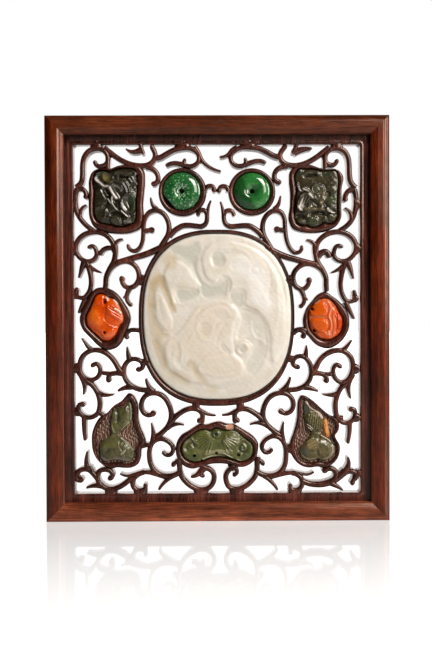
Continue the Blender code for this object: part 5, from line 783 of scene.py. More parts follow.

# Colour that a stone has in places: (linear colour, share, strokes). The palest entry of most stones is
# painted highlights along its ridges and rims.
PATCHES = {
    "centre_plaque": [
        ((0.79, 0.71, 0.61), 0.6, [
            ("plate", [(-28.5, 129), (-19, 146), (-8, 154.5), (0, 156), (11.5, 151), (15, 143),
                (9, 132), (5.5, 125.5), (18, 110.3), (18.8, 105), (12.5, 101), (1, 99.6), (-9.5, 101.5),
                (-17, 110), (-26, 118)], 2.5, 1.0),
            ("plate", [(-36, 134), (-33, 141), (-29, 134), (-28.5, 126), (-33, 114), (-28, 107),
                (-22, 104), (-30, 106), (-36, 114), (-37, 126)], 1.5, 1.0),
        ]),
        ((0.58, 0.58, 0.51), 0.7, [
            ("plate", [(-34, 189), (-22, 193), (-13, 196), (-11.5, 189), (-12.8, 181), (-12, 173),
                (-9, 167.5), (-3, 165.5), (2, 168), (7, 168.5), (7.3, 161), (6.5, 156.5), (0, 157),
                (-8.5, 155.5), (-13, 160), (-16, 170), (-20.5, 179), (-26, 184)], 1.4, 0.9),
            ("plate", [(8, 159.3), (13, 160), (17.5, 160), (18, 155), (17, 150), (14, 148),
                (9.5, 152)], 1.2, 0.6),
            ("plate", [(20, 148), (28, 144.5), (33, 139), (35, 128), (34.5, 115), (29, 106), (24, 102),
                (20.5, 106), (23, 114), (26, 124), (22, 134)], 3.0, 0.55),
            ("plate", [(-4, 187), (-4.5, 182), (-2.5, 178), (2, 177.5), (5.5, 180.5),
                (4, 185.5)], 1.8, 0.9),
            ("plate", [(-28.8, 160.5), (-20, 161), (-13, 160.5), (-17, 156), (-23, 153.8)], 1.2, 1.1),
            ([(3, 186.7), (9, 187.3), (16, 186)], 1.0, 0.6),
            ("plate", [(14, 119), (16, 123), (19, 123.7), (21, 120), (19, 116.5)], 1.2, 0.8),
        ]),
        ((0.70, 0.60, 0.44), 0.75, [
            ("plate", [(-36, 176), (-35, 188), (-29, 187.5), (-27.5, 181), (-32, 174)], 2.0, 1.0),
            ("plate", [(-50, 160), (-46, 174), (-40, 178), (-38, 172), (-43, 158), (-44, 145),
                (-37, 131), (-38, 118), (-30, 104), (-12, 93), (2, 91), (-12, 89.5), (-30, 97),
                (-41, 111), (-48, 132)], 2.5, 0.8),
            ([(20, 149.7), (27, 146.5), (32.3, 140.5), (35.3, 133), (36.3, 125)], 0.9, 0.9),
            ([(5, 169.5), (8, 167), (8, 163)], 1.0, 1.0),
            ([(17.5, 160.5), (18.7, 156.5), (18.5, 151.5)], 0.9, 0.8),
            ([(-29.5, 162), (-21, 162.3), (-13, 161.6)], 0.8, 1.0),
            ("plate", [(-13, 137), (-8.5, 137.5), (-4, 136), (-4.5, 131), (-8, 128.3),
                (-12, 130)], 2.5, 0.6),
            ([(-13, 132), (-11, 128.3), (-7.5, 127)], 0.8, 0.9),
            ([(-9, 149.5), (-3, 151.6), (3, 151)], 0.7, 0.8),
            ([(6, 190.8), (10, 190.9), (15, 189.8)], 0.9, 0.9),
            ([(2.5, 122), (5.5, 119.5), (9, 117)], 0.9, 0.9),
            ([(17, 124.8), (20.6, 123.2), (21.3, 119)], 0.6, 0.9),
            ([(-24.5, 170), (-26, 165)], 2.5, 0.4), ([(-6, 93.5), (0, 93), (8, 94.5)], 1.0, 0.8),
        ]),
        # Whiter stone on the upper right, and painted highlights along the ridges and the right rim
        ((0.86, 0.84, 0.82), 0.85, [
            ("plate", [(10, 182), (18, 186.5), (27, 184), (35, 176), (38, 163), (38.5, 146), (35, 143),
                (28, 147.5), (21.5, 152), (20.5, 161), (18, 168), (12, 173)], 4.0, 0.9),
            ([(18, 196), (28, 192), (38, 184), (44, 174.5), (47.5, 164)], 0.8, 1.0),
            ([(-6.5, 187), (-6.2, 181.5), (-3.5, 177)], 0.9, 0.7),
            ([(-10.3, 186), (-10, 177), (-7.5, 171), (-2.5, 167.5)], 1.0, 0.5),
            ([(-22, 176.5), (-17, 170), (-13, 163)], 1.2, 0.7),
            ([(-29.6, 160), (-28.6, 155.5), (-27, 152.3)], 0.6, 1.0),
            ([(-9, 154), (0, 155.7), (7, 153.8)], 0.8, 0.7),
            ([(10, 150), (13.2, 146.5), (12.8, 142.5)], 1.3, 1.0),
            ([(-38.5, 153), (-36.5, 147.5), (-34.3, 142.5)], 0.8, 0.7),
            ([(-42.2, 155), (-41.5, 146)], 0.6, 0.5), ([(-31, 132.5), (-29, 129)], 0.9, 0.7),
            ([(9, 116.5), (13, 114.8), (17.3, 110.8)], 0.8, 1.0),
            ([(23, 138), (24, 131), (28, 127)], 1.4, 0.8),
            ([(-8.5, 113.5), (-3, 117.5), (6, 123.5), (12, 126.8)], 0.6, 0.6),
            ([(49.6, 160), (50.4, 145), (49.5, 130), (46, 113)], 1.0, 0.7),
        ]),
        ((0.60, 0.47, 0.28), 0.9, [
            ("plate", [(-42, 172.5), (-38.3, 173), (-35.5, 166), (-32.3, 157), (-29.2, 149.5),
                (-29.4, 144.5), (-32, 146), (-35.8, 155), (-39, 161.5), (-42, 167)], 1.0, 1.0),
            ("plate", [(-46.8, 170), (-43, 171), (-42, 164), (-44, 156), (-44.4, 148), (-46.8, 148),
                (-47.4, 158)], 1.2, 0.8),
            ([(-45.8, 151), (-45.5, 144), (-43, 137.5), (-39.5, 132.8), (-36.3, 129.3)], 1.3, 1.0),
            ([(-43.5, 126.3), (-40.8, 121), (-38.6, 115), (-37, 108)], 1.9, 1.0),
            ([(-28.6, 124), (-27.4, 118), (-28, 111.5)], 1.7, 0.6),
            ([(-21.5, 110), (-18, 110), (-16.5, 106.8)], 2.0, 0.85),
            ([(-33.5, 103.9), (-28, 101.3), (-21.3, 96.3)], 1.7, 0.95),
            ([(-15.7, 104), (-12, 100), (-8.7, 96.7)], 1.8, 0.85),
            ([(5.8, 168.8), (7.6, 167.3)], 0.7, 0.9), ([(35, 113), (37.5, 109)], 1.0, 0.5),
        ]),
        ((0.45, 0.33, 0.17), 0.3, [
            ([(-40.8, 172), (-39.3, 170.5), (-38.2, 167.5)], 1.2, 0.9),
            ([(-38, 166), (-36, 160.5)], 0.8, 0.4), ([(-45.9, 149), (-45.6, 144)], 0.7, 0.8),
            ([(-40.5, 134), (-37.5, 130.5)], 0.8, 0.9), ([(-43.5, 125.5), (-41.7, 122.5)], 1.1, 0.8),
            ([(-38.5, 113), (-37.3, 109)], 0.7, 0.6), ([(-31, 103.3), (-27.5, 101.3)], 0.9, 0.6),
            ([(-24, 99), (-21.6, 96.8)], 0.8, 0.6), ([(-17.5, 110.3), (-16.5, 108)], 0.8, 0.5),
            ([(-12, 99.5), (-10.3, 98)], 0.7, 0.5),
        ]),
    ],
    "upper_left_plaque": [
        ((0.21, 0.17, 0.06), 0.85, [
            ("plate", [(-79, 244.6), (-76, 243.6), (-73.6, 240.5), (-75.5, 236.3), (-79, 237.5),
                (-80.8, 240.5)], 1.6, 1.0),
        ]),
        ((0.022, 0.042, 0.020), 0.7, [
            ("plate", [(-64, 227), (-61, 230), (-57, 225), (-57, 219), (-60, 215),
                (-61.5, 220)], 2.4, 1.0),
            ([(-84.5, 242), (-82, 240.5)], 1.8, 0.8),
        ]),
        # Painted highlights along the ridges and the rim of the dished leaf
        ((0.60, 0.55, 0.51), 0.95, [
            ([(-85.3, 239.8), (-82.5, 236.7), (-79.3, 234.3), (-77, 233.6)], 1.1, 1.0),
            ([(-75.3, 233.6), (-72.3, 228.5), (-70.4, 226)], 0.9, 1.0),
            ([(-73.3, 226.5), (-72.7, 221), (-70, 218)], 0.5, 0.9),
            ([(-67, 217), (-62.5, 213)], 0.5, 1.0),
            ([(-71.5, 234.8), (-69, 233.4), (-66.8, 230.8)], 0.4, 0.7),
            ([(-59, 239.7), (-56.3, 235.8)], 0.5, 0.7), ([(-56.4, 243.4)], 0.9, 1.0),
            ([(-67, 222), (-65.7, 219), (-63.8, 217.3)], 1.2, 0.6),
            ([(-80, 229), (-78.4, 226)], 0.4, 0.7), ([(-76.2, 225.3), (-74.3, 222.3)], 0.5, 0.7),
            ([(-64.5, 209.8), (-61, 209)], 1.1, 0.35), ([(-67.3, 208.8)], 0.9, 0.4),
        ]),
    ],
    "upper_right_plaque": [
        ((0.045, 0.062, 0.022), 0.6, [
            ("plate", [(78, 229), (84, 229), (84, 220), (78, 220)], 2.5, 0.8),
            ("plate", [(62, 211), (68, 213.5), (72, 211), (72, 206.5), (63, 206.5)], 2.0, 0.8),
        ]),
        ((0.014, 0.036, 0.016), 0.6, [
            ("plate", [(55.5, 246), (60, 246), (59.5, 241), (55.5, 240)], 1.5, 0.8),
            ("plate", [(73.5, 243.5), (80, 244.5), (79, 241), (73.5, 240.5)], 1.5, 0.7),
        ]),
        ((0.20, 0.14, 0.075), 0.6, [
            ([(75.3, 229), (73.4, 226), (74, 224), (72, 222)], 1.5, 0.9),
            ([(62, 217.3), (70, 218.5), (77, 216.8)], 1.4, 0.5),
        ]),
        ((0.085, 0.085, 0.045), 0.7, [
            ("plate", [(64.8, 232), (67, 235.5), (71, 236), (75, 234), (75.8, 230.3), (72, 227),
                (67, 227.5)], 1.8, 0.8),
            ([(81, 233), (82.5, 231.5)], 1.6, 0.8), ([(57.5, 209.3), (60, 209)], 1.2, 0.8),
        ]),
        # Painted highlights on the ridges, the bosses and the striated dished leaf
        ((0.54, 0.51, 0.46), 0.95, [
            ([(58.6, 244.8)], 0.7, 1.0), ([(71, 243)], 0.8, 0.8),
            ([(56.2, 235.5), (56.8, 232.7), (58.3, 230.8)], 0.45, 1.0),
            ([(60.3, 231.9), (63.3, 230.6)], 0.7, 0.9), ([(64.8, 228.4), (66.4, 226)], 1.0, 1.0),
            ("plate", [(56, 219), (57.3, 223.5), (59.8, 226.3), (61.3, 223), (60.8, 218),
                (58, 216.3)], 2.2, 0.45),
            ([(57.2, 218.5), (58.4, 222), (60.4, 226)], 0.35, 0.7),
            ([(59, 218), (61, 223), (62.3, 227)], 0.3, 0.5),
            ([(61.2, 218.4), (62.6, 222), (63.4, 225)], 0.3, 0.35),
            ([(56.8, 219), (58, 217.3)], 0.8, 0.8),
            ([(77.2, 218.7), (79, 216.6), (81.6, 215.1)], 0.6, 1.0), ([(63.4, 213)], 0.6, 1.0),
            ([(68, 234.6), (71, 234.6), (73, 233)], 0.5, 0.35),
        ]),
    ],
    "carnelian_left": [
        ((0.80, 0.16, 0.010), 0.8, [
            ("plate", [(-92, 148), (-84, 150), (-80, 144), (-80, 137), (-87, 135),
                (-93, 139)], 4.5, 1.0),
        ]),
        ((0.62, 0.10, 0.02), 0.6, [
            ("plate", [(-87, 134), (-80, 134), (-80, 129), (-85, 129)], 2.0, 1.0),
        ]),
        ((0.78, 0.28, 0.13), 0.75, [
            ([(-71, 153), (-68, 147), (-67, 140.5)], 2.0, 0.8),
            ([(-79, 141), (-75.3, 137.7), (-70.3, 136)], 0.8, 0.35),
            ([(-80, 129), (-76, 129.5), (-73, 130.5)], 2.0, 0.5),
        ]),
        # Painted highlights on the ridges
        ((0.85, 0.78, 0.66), 1.0, [
            ([(-77.4, 157.6), (-77.1, 155.2)], 1.0, 1.0), ([(-72.5, 155), (-69.7, 152.7)], 0.6, 1.0),
            ([(-71.8, 148.7), (-69.6, 147.5), (-67.6, 145.9)], 0.6, 1.0),
        ]),
    ],
    "carnelian_right": [
        ((0.68, 0.115, 0.005), 0.7, [
            ("plate", [(64, 152), (75, 154), (77, 143), (77, 131), (68, 129), (64, 136)], 3.0, 1.0),
        ]),
        ((0.78, 0.20, 0.08), 0.8, [
            ([(76.5, 154), (79.5, 149), (79, 142), (80.3, 136), (80, 130)], 2.4, 0.9),
            ([(69, 131), (73, 128)], 1.2, 0.7),
        ]),
        ((0.50, 0.045, 0.008), 0.7, [
            ("plate", [(83.8, 146), (87.5, 144), (87.5, 136), (84.5, 132), (83.8, 138)], 1.5, 1.0),
        ]),
        # Painted highlights on the ridges and along the middle groove
        ((0.85, 0.55, 0.38), 0.9, [
            ([(68.3, 152.3), (71.5, 154.3)], 0.8, 0.9), ([(77.4, 132.2), (78, 130)], 0.8, 0.8),
            ([(65, 141.8), (71, 142.3), (77, 141.5)], 0.35, 0.6),
        ]),
    ],
    "lower_left_plaque": [
        ((0.035, 0.04, 0.018), 0.8, [
            ([(-71, 77.5), (-70.2, 74), (-70.5, 71)], 1.4, 1.0), ([(-78, 49), (-75.5, 49)], 2.0, 0.7),
        ]),
        ((0.13, 0.13, 0.025), 0.7, [
            ("plate", [(-74, 70), (-70.5, 69.5), (-70, 64), (-73, 63)], 1.5, 1.0),
            ([(-78, 53.5), (-72.5, 53.5)], 2.2, 0.7),
        ]),
        ((0.23, 0.18, 0.15), 0.8, [
            ([(-82, 43.5), (-76, 41.8), (-70, 43.5), (-63, 42)], 1.7, 1.0),
        ]),
        # Painted highlights along the ridges
        ((0.42, 0.42, 0.30), 0.9, [
            ([(-74.7, 71), (-74.2, 66), (-73, 62)], 0.7, 0.6),
            ([(-61.9, 82.3), (-61, 77), (-61.3, 71)], 0.5, 0.8),
            ([(-68, 63.5), (-65, 66.7), (-62.3, 68.6)], 0.45, 0.6),
            ([(-68, 58.1), (-64.5, 55.5), (-61.5, 52.3), (-59.8, 49.8)], 0.5, 1.0),
            ([(-68.1, 46.5), (-67, 48), (-65.5, 49)], 0.7, 0.9),
            ([(-67, 45.5), (-66.3, 43.5)], 0.9, 0.6),
        ]),
    ],
    "lower_right_plaque": [
        ((0.075, 0.08, 0.065), 0.85, [
            ("plate", [(60.3, 82), (63, 81), (65, 77), (64, 74.5), (60.3, 74.5)], 1.2, 1.0),
            ("plate", [(57.5, 50), (62, 52), (64, 46), (60, 44), (57.5, 47)], 1.8, 0.7),
        ]),
        ((0.24, 0.18, 0.07), 0.7, [
            ("plate", [(63.5, 57), (69, 57), (70, 50), (65, 48.5)], 1.8, 1.0),
        ]),
        ((0.34, 0.27, 0.19), 0.8, [
            ([(81, 51), (80, 45.5), (75.5, 42.5)], 1.2, 0.9),
            ([(59, 44.5), (64, 42.2), (69, 43)], 0.9, 0.7),
        ]),
        # Painted highlights along the ridges and the rim
        ((0.66, 0.52, 0.44), 1.0, [
            ([(61.8, 83.4), (64, 80.3), (67, 78), (70, 77), (72.8, 74.7), (73.9, 72)], 0.8, 1.0),
            ([(70.5, 76), (73, 73)], 1.2, 0.8), ([(62.7, 67), (64.6, 65.6), (66.2, 64)], 0.4, 0.8),
            ([(61, 67.3), (63.3, 64.8), (65.5, 62.8)], 0.4, 0.7),
            ([(72.2, 59.3), (75.5, 57.5), (79, 54.7)], 0.45, 0.9),
        ]),
    ],
    "cloud_plaque": [
        ((0.05, 0.075, 0.03), 0.8, [
            ("plate", [(15.5, 53), (19, 54), (20.5, 50), (18.5, 47), (15.5, 48)], 1.2, 1.0),
            ([(-18, 43.5), (-14, 45)], 2.5, 0.7), ([(21.5, 46.5), (17, 43)], 2.0, 0.8),
            ([(-1.2, 61)], 3.2, 0.8), ([(0.5, 53), (0.8, 50.5)], 1.6, 0.7),
        ]),
        ((0.30, 0.28, 0.17), 0.8, [
            ("plate", [(-9, 46), (-3, 50), (4, 50), (9, 47.5), (4, 46), (-3, 46.3)], 1.5, 1.0),
            ([(-22.5, 55), (-20, 56)], 1.6, 0.6), ([(10.5, 58), (14.5, 55)], 2.0, 0.5),
        ]),
        # Painted highlights along the ridges, the scrolls and the fan lines
        ((0.50, 0.50, 0.34), 0.9, [
            ([(-18.9, 53), (-17.4, 51)], 0.45, 1.0), ([(-18.6, 57.8), (-15.9, 54.4)], 0.4, 0.8),
            ([(18.4, 53.4), (19.8, 51.6)], 0.5, 1.0), ([(9, 62.6), (12, 62.2), (15, 60.4)], 0.5, 0.9),
            ([(-11, 42.7), (-6.5, 44.3), (-0.6, 44.9), (5, 44.1)], 0.5, 0.7),
            ([(-9, 63), (-6, 61.5)], 0.5, 0.6), ([(3.9, 55.8), (9.2, 50.2)], 0.35, 0.6),
            ([(4.8, 56.6), (9.5, 54.3)], 0.35, 0.5),
            ([(-10.5, 43.2), (-6.5, 44.9), (-1, 45.7), (4, 45)], 0.4, 0.5),
            ([(4, 47.3), (7, 45.7), (9.8, 43.8)], 0.4, 0.7),
        ]),
    ],
}


def unit(a, b):
    length = math.hypot(b[0] - a[0], b[1] - a[1])
    return ((b[0] - a[0]) / length, (b[1] - a[1]) / length, length)


def curve_tangents(points, closed=False):
    """Tangent at each point of the circle through it and its two neighbours."""
    count = len(points)
    if count == 2:
        direction = unit(points[0], points[1])
        return [direction[:2], direction[:2]]
    tangents = [None] * count
    for i in range(count):
        if not closed and i in (0, count - 1):
            continue
        ax, az, la = unit(points[i - 1], points[i])
        bx, bz, lb = unit(points[i], points[(i + 1) % count])
        tx = ax * lb + bx * la
        tz = az * lb + bz * la
        length = math.hypot(tx, tz)
        tangents[i] = (tx / length, tz / length)
    if not closed:
        for end, near in ((0, 1), (count - 1, count - 2)):
            cx, cz, _ = unit(points[end], points[near])
            tx, tz = tangents[near]
            along = 2 * (tx * cx + tz * cz)
            tangents[end] = (along * cx - tx, along * cz - tz)
    return tangents


def span(p, q, tp, tq, t):
    """Hermite curve from p to q that comes out round where the tangents are a circle's."""
    cx, cz, length = unit(p, q)
    hp = min(2 * length / (1 + tp[0] * cx + tp[1] * cz), SWING_MOST * length)
    hq = min(2 * length / (1 + tq[0] * cx + tq[1] * cz), SWING_MOST * length)
    a = 2 * t ** 3 - 3 * t ** 2 + 1
    b = t ** 3 - 2 * t ** 2 + t
    c = 3 * t ** 2 - 2 * t ** 3
    d = t ** 3 - t ** 2
    return (a * p[0] + b * hp * tp[0] + c * q[0] + d * hq * tq[0],
            a * p[1] + b * hp * tp[1] + c * q[1] + d * hq * tq[1])


def dense(points, closed=False, step=CURVE_STEP):
    """The smooth curve through the points, finely sampled, as an array."""
    tangents = curve_tangents(points, closed)
    count = len(points)
    out = []
    for i in range(count if closed else count - 1):
        j = (i + 1) % count
        pieces = max(2, math.ceil(unit(points[i], points[j])[2] / step))
        for k in range(pieces):
            out.append(span(points[i], points[j], tangents[i], tangents[j], k / pieces))
    if not closed:
        out.append(tuple(points[-1]))
    return np.array(out)


def run_lengths(line, closed=False):
    """Distance along the line to each of its points, and to its end where it is closed."""
    loop = np.vstack([line, line[:1]]) if closed else line
    return np.concatenate([[0.0], np.cumsum(np.hypot(*np.diff(loop, axis=0).T))])


def at_lengths(line, where, closed=False):
    """Places on a line at the given distances along it."""
    lengths = run_lengths(line, closed)
    loop = np.vstack([line, line[:1]]) if closed else line
    return np.stack([np.interp(where, lengths, loop[:, k]) for k in (0, 1)], axis=1)


def around(outline, count, centre=None):
    """A closed line's places at even steps, anticlockwise, starting due right of the centre."""
    line = np.array(outline)
    nxt = np.roll(line, -1, axis=0)
    if (line[:, 0] * nxt[:, 1] - nxt[:, 0] * line[:, 1]).sum() < 0:
        line = line[::-1]
    middle = line.mean(axis=0) if centre is None else np.array(centre)
    angles = np.arctan2(line[:, 1] - middle[1], line[:, 0] - middle[0])
    start = int(np.argmin(np.abs(np.angle(np.exp(1j * angles)))))
    line = np.roll(line, -start, axis=0)
    total = run_lengths(line, closed=True)[-1]
    return at_lengths(line, np.arange(count) * total / count, closed=True)


def oval(centre, half, squareness, count):
    """Superellipse: squareness 2 is an ellipse, more is squarer."""
    turn = np.arange(count) * 2 * np.pi / count
    c = np.cos(turn)
    s = np.sin(turn)
    return np.stack([centre[0] + half[0] * np.sign(c) * np.abs(c) ** (2 / squareness),
                     centre[1] + half[1] * np.sign(s) * np.abs(s) ** (2 / squareness)], axis=1)


def outward(outline):
    """Unit normals that point out of an anticlockwise outline."""
    run = np.roll(outline, -1, axis=0) - np.roll(outline, 1, axis=0)
    run = run / np.maximum(np.hypot(*run.T), 1e-9)[:, None]
    return np.stack([run[:, 1], -run[:, 0]], axis=1)


def smooth(t):
    t = np.clip(t, 0.0, 1.0)
    return t * t * (3 - 2 * t)


def turned(x, z, angle):
    """Places along and across a direction given in degrees."""
    turn = math.radians(angle)
    c = math.cos(turn)
    s = math.sin(turn)
    return x * c + z * s, z * c - x * s


def nudge(x, z):
    """Moves a place on the mirrored left half to where the right half has it."""
    weights = CALM
    dx = 0.0
    dz = 0.0
    for px, pz, mx, mz in NUDGES.values():
        weight = math.exp(-((px - x) ** 2 + (pz - z) ** 2) / (2 * REACH ** 2))
        weights += weight
        dx += weight * mx
        dz += weight * mz
    return (x + dx / weights, z + dz / weights)


def all_tendrils():
    """Every tendril of both halves: points, start width, end width, bulb radius."""
    out = list(TENDRILS.values())
    right = {name: ([nudge(*p) for p in points], start, end, bulb)
             for name, (points, start, end, bulb) in TENDRILS.items() if name not in LEFT_ONLY}
    right.update(RIGHT_ONLY)
    for points, start, end, bulb in right.values():
        out.append(([(-x, z) for x, z in points], start, end, bulb))
    return out


class Carving:
    """Collects the faces of one piece from grids of places."""

    def __init__(self):
        self.verts = []
        self.faces = []
        self.count = 0

    def add(self, x, z, depth):
        """A block of vertices from equal arrays in millimetres; gives their numbers."""
        block = np.stack([np.ravel(x) * MM, (np.ravel(depth) - FRAME_DEPTH / 2) * MM,
                          np.ravel(z) * MM], axis=1)
        self.verts.append(block)
        first = self.count
        self.count += len(block)
        return np.arange(first, self.count).reshape(np.shape(x))

    def add_rows(self, rows):
        """The same from a list of rows (x, z, depth)."""
        return self.add(*(np.stack(part) for part in zip(*rows)))

    def skin(self, grid, wrap=False):
        """Quads over a grid of vertex numbers; wrap joins its last column to its first."""
        if wrap:
            grid = np.hstack([grid, grid[:, :1]])
        quads = np.stack([grid[:-1, :-1], grid[:-1, 1:], grid[1:, 1:], grid[1:, :-1]], axis=-1)
        self.faces.extend(map(tuple, quads.reshape(-1, 4).tolist()))

    def cap(self, row):
        self.faces.append(tuple(int(k) for k in row))

    def tube(self, grid):
        """Skins a grid all round and caps its first and last rows."""
        self.skin(grid, wrap=True)
        self.cap(grid[0])
        self.cap(grid[-1])

    def hoop(self, grid):
        """Skins a grid all round and joins its last row to its first."""
        self.skin(np.vstack([grid, grid[:1]]), wrap=True)

    def piece(self, name, sharp=SHARP):
        """The finished object, its normals turned outwards and its creases kept."""
        mesh = bpy.data.meshes.new(name)
        mesh.from_pydata(np.vstack(self.verts), [], self.faces)
        bm = bmesh.new()
        bm.from_mesh(mesh)
        bmesh.ops.recalc_face_normals(bm, faces=bm.faces)
        bm.to_mesh(mesh)
        bm.free()
        mesh.shade_smooth()
        mesh.set_sharp_from_angle(angle=math.radians(sharp))
        return placed(bpy.data.objects.new(name, mesh))


def placed(ob):
    """Puts an object into the scene."""
    bpy.context.scene.collection.objects.link(ob)
    return ob


def keep_field(ob, label, values):
    """Keeps a number for every vertex, for the material to read."""
    layer = ob.data.attributes.new(label, "FLOAT", "POINT")
    layer.data.foreach_set("value", values.astype(np.float32))


def half_widths(s, length, start, end, bulb):
    """Half width of a tendril at distances along it, with its thorn or bulb."""
    u = np.clip(s / length, 0, 1)
    if bulb == 0 and end < THORN_BELOW * start:
        half = (end + (start - end) * (1 - u ** THORN_FULLNESS)) / 2
    else:
        half = (start + (end - start) * u) / 2
    if bulb:
        ball = np.sqrt(np.clip(bulb ** 2 - (s - length) ** 2, 0, None))
        stalk = half * np.sqrt(np.clip(1 - np.clip((s - length + bulb) / (2 * bulb), 0, 1), 0, 1))
        return np.maximum(ball, np.minimum(stalk, half))
    tip = np.clip(length - s, 0, None)
    round_end = np.sqrt(np.clip(1 - np.clip(1 - tip / half, 0, 1) ** 2, 0, 1))
    return np.maximum(half * round_end, HALF_LEAST)


def tendril(carving, points, start, end, bulb):
    """One carved tendril: upright sides, a rounded front, a ball or a point at its end."""
    line = dense(points, step=TENDRIL_STEP)
    length = run_lengths(line)[-1]
    reach = length + bulb
    if bulb:
        tx, tz, _ = unit(line[-2], line[-1])
        line = np.vstack([line, line[-1] + np.array([tx, tz]) * bulb])
    fine_from = length - max(FINE_BULBS * bulb, FINE_LEAST)
    coarse = np.linspace(0, max(fine_from, COARSE_LEAST), max(3, int(fine_from / STATION) + 1))
    turn = np.linspace(0, math.pi / 2, END_STATIONS + 1)[1:]
    where = np.concatenate([coarse, coarse[-1] + (reach - coarse[-1]) * np.sin(turn)])
    where = np.append(where[where <= reach - TIP_GAP], reach - TIP_GAP)
    middle = at_lengths(line, where)
    ahead = at_lengths(line, np.minimum(where + LOOK, run_lengths(line)[-1]))
    behind = at_lengths(line, np.maximum(where - LOOK, 0))
    run = ahead - behind
    run /= np.hypot(*run.T)[:, None]
    side = np.stack([-run[:, 1], run[:, 0]], axis=1)
    half = half_widths(where, length, start, end, bulb)[:, None]
    crown = np.minimum(CROWN_SHARE * half, CROWN_MOST)
    turn = np.linspace(-np.pi / 2, np.pi / 2, CROWN_STEPS)[None, :]
    over = SIDE_SHARE * half * np.sign(-np.sin(turn)) * np.abs(np.sin(turn)) ** CROWN_POWER
    across = np.hstack([half, half, over, -half, -half])
    front = PANEL_DEPTH + crown * (1 - np.cos(turn) ** CROWN_POWER)
    back = np.full_like(half, PANEL_BACK)
    upright = np.full_like(half, SIDE_ROW)
    depth = np.hstack([back, upright, front, upright, back])
    carving.tube(carving.add(middle[:, :1] + side[:, :1] * across,
                             middle[:, 1:] + side[:, 1:] * across, depth))


def ring(carving, outer, inner, centre, count):
    """A raised ring round a stone: outer and inner outlines, its recess floor and its flat back."""
    out_line = around(outer, count, centre)
    in_line = around(inner, count, centre)
    lines = [(out_line + (in_line - out_line) * share, depth) for share, depth in RING_SECTION]
    lines.append((in_line, POCKET_FLOOR))
    carving.tube(carving.add_rows([(*line.T, np.full(count, depth)) for line, depth in lines]))


def quarter(cx, cz, radius, start):
    """Places round a quarter of a circle that starts at an angle in degrees."""
    angles = [math.radians(start + 90 * k / BORDER_CORNER_STEPS)
              for k in range(BORDER_CORNER_STEPS + 1)]
    return [(cx + radius * math.cos(a), cz + radius * math.sin(a)) for a in angles]


def border(carving):
    """The board's margin round the opening, with a shallow flute near its edge and its cracks."""
    rows = []
    for grow, depth in BORDER_SECTION:
        radius = OPENING_CORNER + max(grow, 0) * CORNER_GROWTH
        left = OPENING_LEFT - grow + radius
        right = OPENING_RIGHT + grow - radius
        low = OPENING_BOTTOM - grow + radius
        high = OPENING_TOP + grow - radius
        lean = CRACK_LEAN * grow
        right_end = quarter(right, low, radius, -90) + quarter(right, high, radius, 0)
        left_end = quarter(left, high, radius, 90) + quarter(left, low, radius, 180)
        top = [(x + lean + w, OPENING_TOP + grow)
               for x in CRACKS["top"][::-1] for w in CRACK_ACROSS[::-1]]
        bottom = [(x - lean + w, OPENING_BOTTOM - grow)
                  for x in CRACKS["bottom"] for w in CRACK_ACROSS]
        run = right_end + top + left_end + bottom
        cut = np.zeros(len(run))
        if depth < PANEL_DEPTH + 1:
            cut[len(right_end) + 1:len(right_end) + len(top):3] = CRACK_DEPTH
            cut[len(run) - len(bottom) + 1::3] = CRACK_DEPTH
        rows.append((*np.array(run).T, depth + cut))
    carving.hoop(carving.add_rows(rows))


def round_ring(carving, ring_shape, stone_shape, squareness, count):
    """A ring between two ovals, each (centre, half sizes); the inner one leaves the stone its gap."""
    centre, half = stone_shape
    ring(carving, oval(*ring_shape, squareness, 2 * count),
         oval(centre, (half[0] + GAP, half[1] + GAP), squareness, 2 * count), centre, count)


def openwork():
    carving = Carving()
    border(carving)
    for points, start, end, bulb in all_tendrils():
        tendril(carving, points, start, end, bulb)
    for name, outline in RINGS.items():
        if name in RECESSES:
            inner = dense(RECESSES[name], closed=True)
        else:
            line = around(dense(STONES[name], closed=True), RING_STEPS)
            inner = line + outward(line) * GAP
        middle = np.array(outline).mean(axis=0)
        ring(carving, dense(outline, closed=True), inner, middle, RING_STEPS)
    round_ring(carving, (JADE_RING_CENTRE, JADE_RING_HALF), (JADE_CENTRE, JADE_HALF),
               JADE_SQUARENESS, JADE_RING_STEPS)
    for x, z, radius, outer, centre in DISCS.values():
        round_ring(carving, (centre, (outer, outer)), ((x, z), (radius, radius)), 2, RING_STEPS)
    places = np.vstack(carving.verts)
    bare = np.zeros(len(places))
    for points, half in CHIPS:
        away = line_distance(places[:, 0] / MM, places[:, 2] / MM, points)
        bare = np.maximum(bare, smooth(CHIP_REACH - away / half))
    facing = places[:, 1] < (CHIP_BACK - FRAME_DEPTH / 2) * MM
    places[:, 1] += CHIP_DEPTH * MM * bare * facing
    carving.verts = [places]
    ob = carving.piece("openwork")
    keep_field(ob, "bare", bare)
    return ob


def rail(name, side):
    """One mitred rail of the frame."""
    front = dense(RAIL_FRONT, step=RAIL_STEP)
    front[:, 0] = np.clip(front[:, 0], 0, RAIL_WIDTH)
    front[:, 1] = np.clip(front[:, 1], 0, None)
    inward, depth = np.vstack([front, np.array(RAIL_BACK)]).T
    mitre = MITRE_LINE / 2 * math.sqrt(2)
    rows = []
    for step in np.linspace(-1, 1, RAIL_STATIONS):
        if side in ("top", "bottom"):
            x = step * (WIDTH / 2 - inward - mitre)
            z = inward if side == "bottom" else HEIGHT - inward
        else:
            x = -WIDTH / 2 + inward if side == "left" else WIDTH / 2 - inward
            z = HEIGHT / 2 + step * (HEIGHT / 2 - inward - mitre)
        rows.append((x, z, depth))
    carving = Carving()
    carving.tube(carving.add_rows(rows))
    return carving.piece(name)


# ---------------------------------------------------------------- relief

def edge_distance(x, z, a, b):
    """Distance of every place from the straight line between two points."""
    (ax, az), (bx, bz) = a, b
    length2 = (bx - ax) ** 2 + (bz - az) ** 2
    t = np.clip(((x - ax) * (bx - ax) + (z - az) * (bz - az)) / length2, 0, 1)
    return np.hypot(x - ax - t * (bx - ax), z - az - t * (bz - az))


